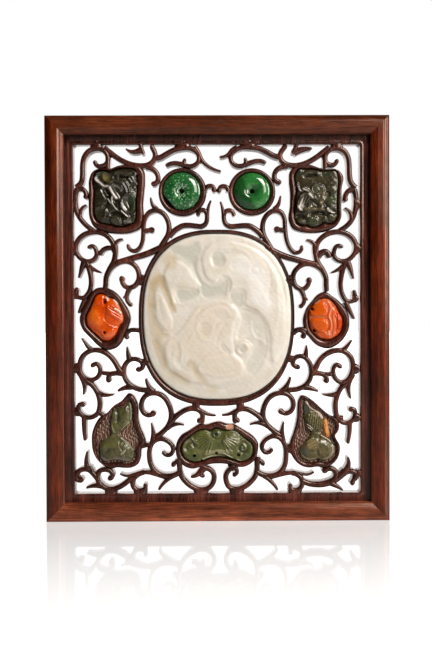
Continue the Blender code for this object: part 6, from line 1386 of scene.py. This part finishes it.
def line_distance(x, z, points):
    """Distance of every place from a smooth stroke, or from a dot where it has one point."""
    if len(points) == 1:
        return np.hypot(x - points[0][0], z - points[0][1])
    line = dense(points, step=STROKE_STEP)
    best = np.full(x.shape, np.inf)
    for a, b in zip(line[:-1], line[1:]):
        best = np.minimum(best, edge_distance(x, z, a, b))
    return best


def inside_distance(x, z, points):
    """How far each place lies inside a smooth closed outline; negative outside it."""
    line = dense(points, closed=True, step=STROKE_STEP)
    best = np.full(x.shape, np.inf)
    within = np.zeros(x.shape, bool)
    for (ax, az), (bx, bz) in zip(line, np.roll(line, -1, axis=0)):
        best = np.minimum(best, edge_distance(x, z, (ax, az), (bx, bz)))
        crosses = (az > z) != (bz > z)
        within ^= crosses & (x < (bx - ax) * (z - az) / (bz - az + 1e-12) + ax)
    return np.where(within, best, -best)


def ridge(x, z, points, half, height):
    """A rounded line, or a cut where its height is negative."""
    return height * np.exp(-(line_distance(x, z, points) / half) ** 2.0)


def plate(x, z, points, slope, height):
    """A raised area with a sloping edge: full height from "slope" inside its outline."""
    return height * smooth(inside_distance(x, z, points) / slope)


def veins(x, z, points, angle, pitch, height):
    """Parallel grooves inside an outline, running at an angle in degrees."""
    across = turned(x, z, angle)[1]
    wave = 0.5 - 0.5 * np.cos(2 * np.pi * across / pitch)
    return height * wave * smooth(inside_distance(x, z, points))


KINDS = {"plate": plate, "veins": veins}


def relief(x, z, strokes):
    total = np.zeros(x.shape)
    for stroke in strokes:
        if isinstance(stroke[0], str):
            total += KINDS[stroke[0]](x, z, *stroke[1:])
        else:
            total += ridge(x, z, *stroke)
    return total


def fan(x, z, start, angles, near, far, height):
    """Straight carved lines that spread from one place."""
    total = np.zeros(x.shape)
    for angle in angles:
        c = math.cos(math.radians(angle))
        s = math.sin(math.radians(angle))
        line = [(start[0] + reach * c, start[1] + reach * s) for reach in (near, far)]
        total += ridge(x, z, line, FAN_HALF, height)
    return total


def tooling(x, z):
    """The slow unevenness of a surface ground by hand, between about -1 and 1."""
    total = np.zeros(x.shape)
    for k, (angle, length) in enumerate(TOOL_WAVES):
        along, across = turned(x, z, angle)
        sway = TOOL_SWAY * np.sin(across / (TOOL_SWAY_RUN * length))
        total += np.sin(2 * np.pi * along / length + k + sway) / 3
    return total


def soften(grid, times):
    """Averages a field over its ring grid neighbours."""
    for _ in range(times):
        padded = np.vstack([grid[:1], grid, grid[-1:]])
        grid = (padded[:-2] + padded[2:] + np.roll(grid, 1, axis=1) + np.roll(grid, -1, axis=1)
                + 4 * grid) / 8
    return grid


def rings_about(rim, centre, rings):
    """A grid of places from a centre out to a rim: its x, its z, and how far inside each lies."""
    shares = np.linspace(0, 1, rings + 1)[1:]
    x = centre[0] + (rim[None, :, 0] - centre[0]) * shares[:, None]
    z = centre[1] + (rim[None, :, 1] - centre[1]) * shares[:, None]
    inset = np.hypot(*(rim - np.array(centre)).T)[None, :] * (1 - shares[:, None])
    return x, z, inset, shares[:, None]


def plaque(name, rim, centre, grids, depth, back_depth, fields):
    """A closed piece from a ring grid: carved front, straight sides, flat back, named fields."""
    count = len(rim)
    carving = Carving()
    grid = carving.add(*grids, depth)
    hub = carving.add(np.array([centre[0]]), np.array([centre[1]]), np.array([depth[0].mean()]))
    back = carving.add(rim[:, 0], rim[:, 1], np.full(count, back_depth))
    carving.skin(grid, wrap=True)
    carving.skin(np.vstack([grid[-1:], back[None, :]]), wrap=True)
    for k in range(count):
        carving.cap((hub[0], grid[0, k], grid[0, (k + 1) % count]))
    carving.cap(back)
    ob = carving.piece(name, sharp=STONE_SHARP)
    for label, field in fields.items():
        keep_field(ob, label, np.concatenate([field.ravel(), [field[0].mean()], field[-1]]))
    return ob


def stone(name, outline, rings, count):
    """A carved stone plaque; its fields are how far each place stands above its surroundings, which sets
    the shade painted into its cuts and the light painted onto its high places, and where its colours lie.
    """
    edge, middle, centre = CROWNS[name]
    rim = around(outline, count)
    x, z, inset, shares = rings_about(rim, centre, rings)
    height = relief(x, z, RELIEFS[name])
    for spread in FANS.get(name, []):
        height += fan(x, z, *spread)
    height = soften(height, MELLOW_PASSES.get(name, 1)) * RELIEF_SHARE.get(name, 1)
    height += TOOLING[name] * tooling(x, z)
    drilled = np.zeros(x.shape)
    for hx, hz, radius in DRILLS.get(name, []):
        inside = radius + DRILL_EDGE / 2 - np.hypot(x - hx, z - hz)
        drilled = np.maximum(drilled, smooth(inside / DRILL_EDGE))
    crown = middle + (edge - middle) * shares ** CROWN_FALL
    turn = np.clip(1 - inset / EDGE_ROUND, 0, 1)
    rounding = EDGE_ROUND * (1 - np.sqrt(np.clip(1 - turn ** 2, 0, 1)))
    depth = crown - height * smooth(inset / EDGE_ROUND) + rounding + DRILL_DEPTH * drilled
    depth = np.clip(depth, STONE_FRONT, STONE_REAR)
    # Painted shade in the cuts and drilled holes, painted light on the high places: how far the relief
    # stands above its blur, less the drilled holes
    fields = {"painted_relief_shading": height - soften(height, RELIEF_SHADE_BLUR) - DRILL_PAINTED_SHADE * drilled}
    passes = TINT_PASSES.get(name, TINT_PASSES_DEFAULT)
    for k, (_, _, strokes) in enumerate(PATCHES[name]):
        fields[TINT + str(k)] = soften(np.clip(relief(x, z, strokes), 0, 1), passes)
    return plaque(name + "_stone", rim, centre, (x, z), depth, STONE_BACK, fields)


def bed(name):
    """What is left of the glue and fibres on the floor of a recess."""
    middle = np.array(STONES[name]).mean(axis=0)
    rings, count = BED_GRID
    rim = around(dense(RECESSES[name], closed=True), count)
    x, z, _, _ = rings_about(rim, middle, rings)
    fibres = np.zeros(x.shape)
    for angle, pitch, swing in FIBRES:
        along, across = turned(x, z, angle)
        fibres += np.cos(2 * np.pi * (across + swing * np.sin(along / FIBRE_SWAY)) / pitch) / 3
    glue = np.zeros(x.shape)
    if name in GLUE:
        glue = np.exp(-(line_distance(x, z, GLUE[name]) / GLUE_HALF) ** 4)
    depth = BED_DEPTH - FIBRE_HEIGHT * fibres * (1 - glue) - GLUE_HEIGHT * glue
    fields = {"fibres": fibres, "glue": glue}
    return plaque(name + "_bed", rim, middle, (x, z), depth, POCKET_FLOOR, fields)


def pierced_disc(name, radius, centre):
    """A turned disc, its face falling to the hole and to the rim, with its chord cut."""
    turn = np.arange(DISC_SPOKES) * 2 * np.pi / DISC_SPOKES
    face = dense([(share * radius, depth) for share, depth in DISC_SECTION], step=DISC_STEP)
    section = [(face[0][0], STONE_BACK), *face, (radius, STONE_BACK)]
    reach = np.full(DISC_SPOKES, radius)
    if name in DISC_FLATS:
        angle, near = DISC_FLATS[name]
        facing = np.cos(turn - angle)
        reach = np.minimum(reach, near / np.maximum(facing, 1e-6) + (facing <= 0) * radius)
    rows = []
    for out, depth in section:
        beyond = np.minimum(out, reach)
        rows.append((centre[0] + beyond * np.cos(turn), centre[1] + beyond * np.sin(turn),
                     np.full(DISC_SPOKES, depth)))
    carving = Carving()
    carving.hoop(carving.add_rows(rows))
    return carving.piece(name + "_stone", sharp=DISC_SHARP)


# ---------------------------------------------------------------- materials

class Nodes:
    """Short names for building the nodes of a material, or of a world."""

    def __init__(self, name, owners=None):
        self.owner = (bpy.data.materials if owners is None else owners).new(name)
        self.owner.use_nodes = True
        self.tree = self.owner.node_tree
        self.shader = self.tree.nodes.get("Principled BSDF")

    def add(self, kind, **values):
        node = self.tree.nodes.new("ShaderNode" + kind)
        for key, value in values.items():
            setattr(node, key, value)
        return node

    def feed(self, socket, value):
        """Joins a socket to a socket, or sets it to a number, a place or a colour."""
        if isinstance(value, (int, float)):
            socket.default_value = value
        elif isinstance(value, tuple):
            socket.default_value = (*value, 1) if socket.type == "RGBA" else value
        else:
            self.tree.links.new(value, socket)

    def fill(self, node, values):
        """Feeds the inputs of a node by their names."""
        for label, value in values.items():
            self.feed(node.inputs[label], value)

    def place(self, scale, shift=(0, 0, 0)):
        """Object coordinates in millimetres times a scale, one number or one for each axis."""
        each = scale if isinstance(scale, tuple) else (scale,) * 3
        mapping = self.add("Mapping")
        self.fill(mapping, {"Scale": tuple(s / MM for s in each), "Location": shift,
                            "Vector": self.add("TexCoord").outputs["Object"]})
        return mapping.outputs["Vector"]

    def split(self, vector):
        """The parts of a vector, by axis."""
        node = self.add("SeparateXYZ")
        self.feed(node.inputs["Vector"], vector)
        return node.outputs

    def noise(self, vector, detail=4.0, rough=0.55, bend=0.0):
        node = self.add("TexNoise")
        self.fill(node, {"Scale": 1.0, "Detail": detail, "Roughness": rough, "Distortion": bend,
                         "Vector": vector})
        return node.outputs["Fac"]

    def ramp(self, value, stops):
        """A colour ramp; a stop is (place, colour), where a colour may be one grey number."""
        node = self.add("ValToRGB")
        ramp = node.color_ramp
        while len(ramp.elements) < len(stops):
            ramp.elements.new(0.5)
        for element, (where, colour) in zip(ramp.elements, stops):
            element.position = where
            tint = (colour,) * 3 if isinstance(colour, (int, float)) else colour
            element.color = (*tint, 1)
        self.feed(node.inputs["Fac"], value)
        return node.outputs["Color"]

    def mix(self, share, a, b, blend="MIX"):
        """Mixes two colours, each a socket or a colour."""
        node = self.add("Mix", data_type="RGBA", blend_type=blend)
        colours = [s for s in node.inputs if s.type == "RGBA"]
        factor = [s for s in node.inputs if s.type == "VALUE"][0]
        for socket, value in ((factor, share), (colours[0], a), (colours[1], b)):
            self.feed(socket, value)
        return [s for s in node.outputs if s.type == "RGBA"][0]

    def shade(self, colour, by, share=1.0):
        """Darkens or lightens a colour by a grey, where 1 leaves it as it is."""
        return self.mix(share, colour, by, "MULTIPLY")

    def math(self, operation, *values, clamp=False):
        node = self.add("Math", operation=operation, use_clamp=clamp)
        for socket, value in zip(node.inputs, values):
            self.feed(socket, value)
        return node.outputs["Value"]

    def field(self, label):
        return self.add("Attribute", attribute_type="GEOMETRY", attribute_name=label).outputs["Fac"]

    def gloss(self, coat, coat_rough):
        self.fill(self.shader, {"Coat Weight": coat, "Coat Roughness": coat_rough})

    def finish(self, colour, rough, bumps=()):
        """Joins the colour, the roughness and the bumps: (height socket, distance in mm)."""
        self.fill(self.shader, {"Base Color": colour, "Roughness": rough})
        normal = None
        for height, distance in bumps:
            bump = self.add("Bump")
            self.fill(bump, {"Distance": distance * MM, "Strength": 1.0, "Height": height})
            if normal:
                self.feed(bump.inputs["Normal"], normal)
            normal = bump.outputs["Normal"]
        if normal:
            self.feed(self.shader.inputs["Normal"], normal)
        return self.owner


# Noises of waxed wood: (scale per mm, how far the grain draws it out), and of its wear
WOOD_BROAD = (0.13, 12)
WOOD_FINE = (1.3, 20)
WOOD_PORES = (3.4, 14)
WEAR_SCALE = 0.05

# Where the wood's tones lie in its broadest noise, how the others shade it, (place, shade), and
# where its wear sets how rough it is
TONE_PLACES = (0.3, 0.5, 0.72)
STREAKS = [(0.32, 0.35), (0.5, 0.95), (0.66, 1.5)]
PITS = [(0.3, 0.3), (0.4, 1.0)]
PITS_SHARE = 0.7
GRIME = [(0.35, 0.7), (0.6, 1.1)]
ROUGH_PLACES = (0.35, 0.65)

# Shade painted into the openwork's corners and recesses, darker where the wood is hemmed in; how far out it
# reaches in millimetres, and how its chips fray
PAINTED_CORNER_SHADE = [(0.35, 0.4), (0.85, 1.0)]
CORNER_SHADE_REACH = 6.0
CORNER_SHADE_SAMPLES = 8
FRAY = 1.6
TORN = [(0.35, 0.0), (0.65, 1.0)]

# Its grain's bump in millimetres, its coat, and the tint of its glints
GRAIN_BUMP = 0.04
WOOD_COAT_ROUGH = 0.1
WOOD_GLINT = (1.0, 0.74, 0.62)

# Length in millimetres, centred on the middle of the underside, that the ramps of painted light and shade
# lie on
PAINTED_LIGHT_SPAN = 600.0


def wood(name, along, dark, mid, light, shift, rough_most=0.27, rough_least=0.18, coat=0.12,
         bare=None, painted_light_and_shade=()):
    """Waxed hardwood, its grain along one axis: 0 across the screen, 2 up it.

    bare is the colour of its chips, and where it is given, shade is also painted into the corners.
    The last argument paints light and shade along an axis: (axis, [(place in mm, shade)]).
    """
    n = Nodes(name)

    def drawn_out(noise):
        scale, stretch = noise
        return n.place(tuple(scale / stretch if k == along else scale for k in range(3)), shift)

    bands = n.noise(drawn_out(WOOD_BROAD), detail=3, bend=0.6)
    fibres = n.noise(drawn_out(WOOD_FINE), detail=5, rough=0.6)
    pore = n.noise(drawn_out(WOOD_PORES), detail=2)
    wear = n.noise(n.place(WEAR_SCALE, shift), detail=4, rough=0.65)
    pits = n.ramp(pore, PITS)
    colour = n.ramp(bands, list(zip(TONE_PLACES, (dark, mid, light))))
    colour = n.shade(colour, n.ramp(fibres, STREAKS))
    colour = n.shade(colour, pits, PITS_SHARE)
    colour = n.shade(colour, n.ramp(wear, GRIME))
    # Light and shade painted along an axis
    for axis, stops in painted_light_and_shade:
        where = n.split(n.place(1 / PAINTED_LIGHT_SPAN, (0.5, 0.5, 0.5)))[axis]
        colour = n.shade(colour, n.ramp(where, [(at / PAINTED_LIGHT_SPAN + 0.5, by) for at, by in stops]))
    if bare:
        # Shade painted into the corners and recesses
        corner = n.add("AmbientOcclusion", samples=CORNER_SHADE_SAMPLES)
        n.fill(corner, {"Distance": CORNER_SHADE_REACH * MM})
        colour = n.shade(colour, n.ramp(corner.outputs["AO"], PAINTED_CORNER_SHADE))
        torn = n.math("ADD", n.field("bare"), n.math("MULTIPLY_ADD", fibres, FRAY, -FRAY / 2))
        colour = n.mix(n.ramp(torn, TORN), colour, bare)
    n.gloss(coat, WOOD_COAT_ROUGH)
    n.fill(n.shader, {"Specular Tint": WOOD_GLINT})
    rough = n.ramp(wear, list(zip(ROUGH_PLACES, (rough_most, rough_least))))
    return n.finish(colour, rough, [(fibres, GRAIN_BUMP), (pits, GRAIN_BUMP)])


# Carved stone: where its tones lie in its clouds, scale of its grit per mm, and its specks
CLOUD_PLACES = (0.32, 0.5, 0.68)
GRIT_SCALE = 0.9
MOTTLE = [(0.42, 0.0), (0.62, 1.0)]

# How ragged its tints are and how they take hold, and the shade painted into its cuts and the light painted
# onto its high places
TINT_RAGGED = 0.5
TINT_HOLD = [(0.15, 0.0), (0.85, 1.0)]
PAINTED_RELIEF_SHADE = [(0.0, 0.28), (0.5, 0.98), (1.0, 1.12)]

# Its coat, and the bumps of its clouds and its grit in millimetres
STONE_COAT_ROUGH = 0.06
CLOUD_BUMP = 0.05
GRIT_BUMP = 0.012


def polished_stone(name, node, clouds, speck, speck_share, rough, cloud_scale, coat, depth):
    """Carved stone: clouded and specked, tinted where its fields say, some tints being painted highlights;
    shade is painted into its cuts and light onto its high places.
    """
    n = Nodes(name)
    cloud = n.noise(n.place(cloud_scale, (3, 1, 7)), detail=6, rough=0.6, bend=0.4)
    grit = n.noise(n.place(GRIT_SCALE, (1, 5, 2)), detail=4, rough=0.7)
    colour = n.ramp(cloud, list(zip(CLOUD_PLACES, clouds)))
    colour = n.mix(n.math("MULTIPLY", n.ramp(grit, MOTTLE), speck_share), colour, speck)
    ragged = n.math("MULTIPLY", n.math("SUBTRACT", grit, 0.5), TINT_RAGGED)
    # Tints of the stone; the palest are painted highlights
    for k, (tint, share, _) in enumerate(PATCHES[node]):
        inside = n.ramp(n.math("ADD", n.field(TINT + str(k)), ragged), TINT_HOLD)
        colour = n.mix(n.math("MULTIPLY", inside, share), colour, tint)
    # Painted shade in the cuts and drilled holes, painted light on the high places
    painted_shading = n.math("MULTIPLY_ADD", n.field("painted_relief_shading"), depth, 0.5, clamp=True)
    colour = n.shade(colour, n.ramp(painted_shading, PAINTED_RELIEF_SHADE))
    n.gloss(coat, STONE_COAT_ROUGH)
    if node in TRANSLUCENT:
        weight, wander = TRANSLUCENT[node]
        n.fill(n.shader, {"Subsurface Weight": weight, "Subsurface Radius": (1.0, 0.85, 0.7),
                          "Subsurface Scale": wander * MM})
    return n.finish(colour, rough, [(cloud, CLOUD_BUMP), (grit, GRIT_BUMP)])


# Jadeite of the pierced discs: its clouds, its grain, and how sharply it turns darker to the left of a
# slanting line
DISC_CLOUD_SCALE = 0.11
DISC_CLOUDS = (0.36, 0.55)
DISC_GRAIN_SCALE = 0.75
DISC_GRAIN = [(0.3, 0.65), (0.6, 1.15)]
DARK_LEFT_RAMP = [(0.0, 0.5), (1.0, 1.15)]
DARK_LEFT_TURN = 0.4

# Its flecks: how they gather outwards from the hole, (centimetres, share), how much that counts
# beside the grain, and how soft their edges are
FLECKS_NEAR = [(0.12, 0.4), (0.3, 1.0), (0.45, 1.0), (0.75, 0.35)]
FLECKS_FAVOUR = 0.1
FLECK_EDGE = 0.06

# Its coat, (weight, roughness), its own roughness, and its bump in millimetres
DISC_COAT = (0.6, 0.05)
DISC_ROUGH = 0.14
DISC_BUMP = 0.015


def disc_stone(name, hole, deep, green, pale, fleck_from, flecks, dark_left):
    """Glassy green jadeite, clouded, flecked most near its hole, darker to the left of a slanting line."""
    n = Nodes(name)
    flat = n.place((1, 0, 1))
    away = n.add("VectorMath", operation="DISTANCE")
    n.feed(away.inputs[0], flat)
    n.feed(away.inputs[1], (hole[0], 0, hole[1]))
    cloud = n.noise(n.place(DISC_CLOUD_SCALE, (2, 8, 3)), detail=5, rough=0.6, bend=0.5)
    grain = n.noise(n.place(DISC_GRAIN_SCALE, (4, 1, 6)), detail=4, rough=0.65)
    colour = n.ramp(cloud, list(zip(DISC_CLOUDS, (deep, green))))
    colour = n.shade(colour, n.ramp(grain, DISC_GRAIN))
    if dark_left:
        lean, reach = dark_left
        parts = n.split(flat)
        past = n.math("SUBTRACT", n.math("MULTIPLY_ADD", parts["Z"], lean, parts["X"]), reach)
        colour = n.shade(colour, n.ramp(n.math("MULTIPLY_ADD", past, DARK_LEFT_TURN, 0.5), DARK_LEFT_RAMP))
    near = n.ramp(n.math("MULTIPLY", away.outputs["Value"], 0.1), FLECKS_NEAR)
    spread = n.math("MULTIPLY_ADD", near, FLECKS_FAVOUR, n.math("SUBTRACT", grain, FLECKS_FAVOUR))
    bright = n.ramp(spread, [(fleck_from, 0.0), (fleck_from + FLECK_EDGE, 1.0)])
    colour = n.mix(n.math("MULTIPLY", bright, flecks), colour, pale)
    n.gloss(*DISC_COAT)
    return n.finish(colour, DISC_ROUGH, [(grain, DISC_BUMP)])


# Dried glue and fibres: scale of their grit per mm, the fibres' tones, the glue's, how much the
# fibres' height tells in their tone, and their surface
GLUE_GRIT = (0.9, 0.9, 0.35)
FIBRE_TONES = [(0.3, (0.035, 0.012, 0.008)), (0.52, (0.16, 0.075, 0.05)),
               (0.72, (0.42, 0.26, 0.18))]
GLUE_TONES = [(0.34, (0.22, 0.06, 0.012)), (0.48, (0.62, 0.22, 0.03)), (0.66, (0.95, 0.50, 0.12))]
FIBRE_SHARE = 0.28
GLUE_COAT = (0.2, 0.2)
GLUE_ROUGH = 0.5
GLUE_BUMP = 0.12


def dried_glue(name):
    """Pinkish fibres and crumbs over the wood, and amber where glue was laid on thick."""
    n = Nodes(name)
    grit = n.noise(n.place(GLUE_GRIT, (2, 2, 5)), detail=6, rough=0.7)
    streaks = n.math("MULTIPLY_ADD", n.field("fibres"), FIBRE_SHARE, 0.5)
    colour = n.ramp(n.math("ADD", streaks, n.math("SUBTRACT", grit, 0.5)), FIBRE_TONES)
    colour = n.mix(n.field("glue"), colour, n.ramp(grit, GLUE_TONES))
    n.gloss(*GLUE_COAT)
    return n.finish(colour, GLUE_ROUGH, [(grit, GLUE_BUMP)])


# Each stone: clouds dark to light, speck colour and share, roughness, cloud scale per mm, coat,
# and how strongly shade is painted into its cuts and light onto its high places
STONE_LOOKS = {
    "centre_plaque": (((0.73, 0.68, 0.60), (0.79, 0.745, 0.675), (0.83, 0.805, 0.75)),
                      (0.84, 0.82, 0.78), 0.2, 0.32, 0.09, 0.12, 0.12),
    "upper_left_plaque": (((0.010, 0.007, 0.003), (0.022, 0.018, 0.008), (0.040, 0.035, 0.019)),
                          (0.045, 0.038, 0.021), 0.3, 0.13, 0.16, 0.5, 1.1),
    "upper_right_plaque": (((0.016, 0.012, 0.005), (0.034, 0.028, 0.012), (0.058, 0.050, 0.024)),
                           (0.060, 0.050, 0.026), 0.35, 0.18, 0.16, 0.3, 1.1),
    "carnelian_left": (((0.52, 0.045, 0.001), (0.68, 0.072, 0.001), (0.76, 0.112, 0.002)),
                       (0.72, 0.10, 0.004), 0.2, 0.12, 0.09, 0.1, 0.8),
    "carnelian_right": (((0.46, 0.036, 0.002), (0.62, 0.072, 0.003), (0.70, 0.110, 0.008)),
                        (0.68, 0.12, 0.02), 0.3, 0.12, 0.09, 0.1, 0.8),
    "lower_left_plaque": (((0.042, 0.045, 0.017), (0.078, 0.076, 0.028), (0.120, 0.108, 0.044)),
                          (0.155, 0.130, 0.052), 0.6, 0.26, 0.14, 0.25, 0.9),
    "lower_right_plaque": (((0.044, 0.042, 0.015), (0.080, 0.070, 0.024), (0.120, 0.096, 0.034)),
                           (0.160, 0.125, 0.046), 0.6, 0.26, 0.14, 0.25, 0.9),
    "cloud_plaque": (((0.058, 0.066, 0.018), (0.100, 0.108, 0.028), (0.148, 0.148, 0.046)),
                     (0.155, 0.155, 0.050), 0.4, 0.26, 0.12, 0.25, 0.9),
}

# How much of its light a pale stone lets in, and how far that wanders, in millimetres
TRANSLUCENT = {"centre_plaque": (0.85, 3.5), "carnelian_left": (0.4, 1.0),
               "carnelian_right": (0.4, 1.0)}

# Each disc: clouds dark and light, fleck colour, where flecks start in its grain and how strong
# they are, and the slanting line it is darker to the left of: how far that leans, and where it crosses
DISC_LOOKS = {
    "disc_left": ((0.006, 0.070, 0.018), (0.018, 0.130, 0.032), (0.42, 0.62, 0.42), 0.53, 0.95,
                  None),
    "disc_right": ((0.012, 0.095, 0.022), (0.022, 0.150, 0.030), (0.10, 0.28, 0.10), 0.64, 0.4,
                   (0.41, 116.4)),
}

# Each rail: its solid, the axis of its grain, its tones dark to light, its shift in the wood, its
# coat, and the light and shade painted along it
RAILS = {
    "top": ("frame_top_rail", 0, ((0.055, 0.011, 0.004), (0.11, 0.024, 0.009), (0.17, 0.042, 0.016)),
            (0, 3, 0), 0.12, ()),
    # Bottom rail: tones painted lighter than the other rails', and its lower edge painted lighter still,
    # for the light thrown up from the floor
    "bottom": ("frame_bottom_rail", 0,
               ((0.11, 0.023, 0.009), (0.21, 0.050, 0.022), (0.31, 0.083, 0.037)),
               (5, 0, 9), 0.12, [("Z", [(3.4, 1.9), (4.2, 1.0)])]),
    "left": ("frame_left_stile", 2,
             ((0.050, 0.0060, 0.0012), (0.105, 0.014, 0.0028), (0.16, 0.026, 0.006)),
             (2, 8, 1), 0.3, ()),
    "right": ("frame_right_stile", 2,
              ((0.052, 0.0065, 0.0014), (0.11, 0.015, 0.0035), (0.17, 0.030, 0.008)),
              (7, 1, 4), 0.2, ()),
}

# The panel: tones dark to light, shift, roughest and smoothest, coat, bare wood, and the light and
# shade painted on its margin: a painted shadow along the top, painted light along the bottom and the sides
PANEL_LOOK = (
    (0.024, 0.0062, 0.0042), (0.058, 0.0135, 0.0090), (0.125, 0.032, 0.021), (3, 3, 3),
    0.26, 0.16, 0.4, (0.62, 0.33, 0.21),
    [("Z", [(18.0, 1.5), (21.0, 1.0), (262.0, 1.0), (264.5, 0.55)]),
     ("X", [(-101.5, 1.2), (-100.0, 1.0), (100.0, 1.0), (101.5, 1.35)])])


def dress(piece, material, node=None):
    """Gives a piece its material and puts it on the body, in the place of a solid if it has one."""
    piece.data.materials.append(material)
    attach(piece, BODY)
    if node:
        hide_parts(node)


for side, (node, grain, tones, shift, coat, painted_light_and_shade) in RAILS.items():
    dress(rail("moulded_" + side + "_rail", side),
          wood("wood_" + side, grain, *tones, shift, coat=coat, painted_light_and_shade=painted_light_and_shade), node)

dress(openwork(), wood("wood_panel", 2, *PANEL_LOOK), "openwork_panel")

for name in CROWNS:
    outline = (oval(JADE_CENTRE, JADE_HALF, JADE_SQUARENESS, JADE_RIM_STEPS)
               if name == "centre_plaque" else dense(STONES[name], closed=True))
    dress(stone(name, outline, *STONE_GRID.get(name, STONE_GRID_DEFAULT)),
          polished_stone(name + "_surface", name, *STONE_LOOKS[name]), name)

for name, (x, z, radius, _, _) in DISCS.items():
    dress(pierced_disc(name, radius, (x, z)),
          disc_stone(name + "_surface", (x, z), *DISC_LOOKS[name]), name)

for name in RECESSES:
    dress(bed(name), dried_glue(name + "_glue"))


# ---------------------------------------------------------------- stage, light and camera

# The camera: its place in millimetres, its turn in degrees, and its lens over its film's height
CAMERA_PLACE = (-7.6, -709.3, 147.6)
CAMERA_TURN = (89.197, 0.204, -0.529)
LENS = 55.75
FILM_HEIGHT = 36.0

# The floor: its size in metres, its surface, how it whitens towards the camera over its place in
# millimetres, and what it lights with
FLOOR_RADIUS = 6.0
FLOOR_SIDES = 64
FLOOR_GREY = (0.38, 0.38, 0.38)
FLOOR_ROUGH = 0.045
FLOOR_FADE = {"From Min": -45.0, "From Max": -260.0, "To Min": 0.38, "To Max": 0.74}
FLOOR_GLOW = 0.14

# Light from all round: its colour, the span of directions over which it rises from before the
# object to behind it, how steeply, and how bright it is behind and before
SKY_TINT = (1.0, 0.93, 0.90)
SKY_RISE = {"From Min": 0.05, "From Max": 0.98}
SKY_STEEP = 3.0
SKY_BRIGHT = 1.5
SKY_DIM = 0.012

WHITE = (1.0, 1.0, 1.0)

# Lamps: (place in metres, width and height, power); all aim at the middle of the screen
LAMPS = {
    "key": ((0.66, -1.02, 0.98), (0.50, 0.50), 14.2),
    "side": ((1.20, -0.56, 0.52), (0.20, 0.85), 7.8),
    "low": ((0.66, -1.02, 0.50), (0.45, 0.40), 4.8),
}
LAMP_TINT = (1.0, 0.94, 0.86)
LAMP_AIM = (0, 0, 0.14)


def area_light(name, place, size, power):
    data = bpy.data.lights.new(name, "AREA")
    data.shape = "RECTANGLE"
    data.size, data.size_y = size
    data.energy = power
    data.color = LAMP_TINT
    ob = placed(bpy.data.objects.new(name, data))
    ob.location = place
    ob.rotation_euler = (Vector(LAMP_AIM) - Vector(place)).to_track_quat("-Z", "Y").to_euler()


def floor():
    bm = bmesh.new()
    bmesh.ops.create_circle(bm, cap_ends=True, radius=FLOOR_RADIUS, segments=FLOOR_SIDES)
    mesh = bpy.data.meshes.new("floor")
    bm.to_mesh(mesh)
    bm.free()
    n = Nodes("pale_floor")
    fade = n.add("MapRange")
    n.fill(fade, {**FLOOR_FADE, "Value": n.split(n.place(1))["Y"]})
    seen = n.add("LightPath").outputs["Is Camera Ray"]
    glow = n.math("MULTIPLY_ADD", seen, fade.outputs["Result"], FLOOR_GLOW)
    n.fill(n.shader, {"Base Color": FLOOR_GREY, "Roughness": FLOOR_ROUGH, "Emission Color": WHITE,
                      "Emission Strength": glow})
    mesh.materials.append(n.owner)
    placed(bpy.data.objects.new("floor", mesh))


def studio():
    """White all round to the eye; what lights the object is dim before it and bright behind."""
    n = Nodes("studio", bpy.data.worlds)
    bpy.context.scene.world = n.owner
    rise = n.add("MapRange")
    n.fill(rise, {**SKY_RISE, "Value": n.split(n.add("TexCoord").outputs["Generated"])["Y"]})
    steep = n.math("POWER", rise.outputs["Result"], SKY_STEEP)
    lit = n.tree.nodes["Background"]
    n.fill(lit, {"Color": SKY_TINT,
                 "Strength": n.math("MULTIPLY_ADD", steep, SKY_BRIGHT, SKY_DIM)})
    plain = n.add("Background")
    n.fill(plain, {"Color": WHITE})
    both = n.add("MixShader")
    n.fill(both, {"Fac": n.add("LightPath").outputs["Is Camera Ray"]})
    n.feed(both.inputs[1], lit.outputs["Background"])
    n.feed(both.inputs[2], plain.outputs["Background"])
    n.feed(n.tree.nodes["World Output"].inputs["Surface"], both.outputs["Shader"])


floor()
studio()
for name, (place, extent, power) in LAMPS.items():
    area_light(name, place, extent, power)

camera_data = bpy.data.cameras.new("camera")
camera_data.sensor_fit = "VERTICAL"
camera_data.sensor_height = FILM_HEIGHT
camera_data.lens = LENS
camera = placed(bpy.data.objects.new("camera", camera_data))
camera.location = [c * MM for c in CAMERA_PLACE]
camera.rotation_euler = [math.radians(a) for a in CAMERA_TURN]
bpy.context.scene.camera = camera
bpy.context.scene.view_settings.view_transform = "Standard"
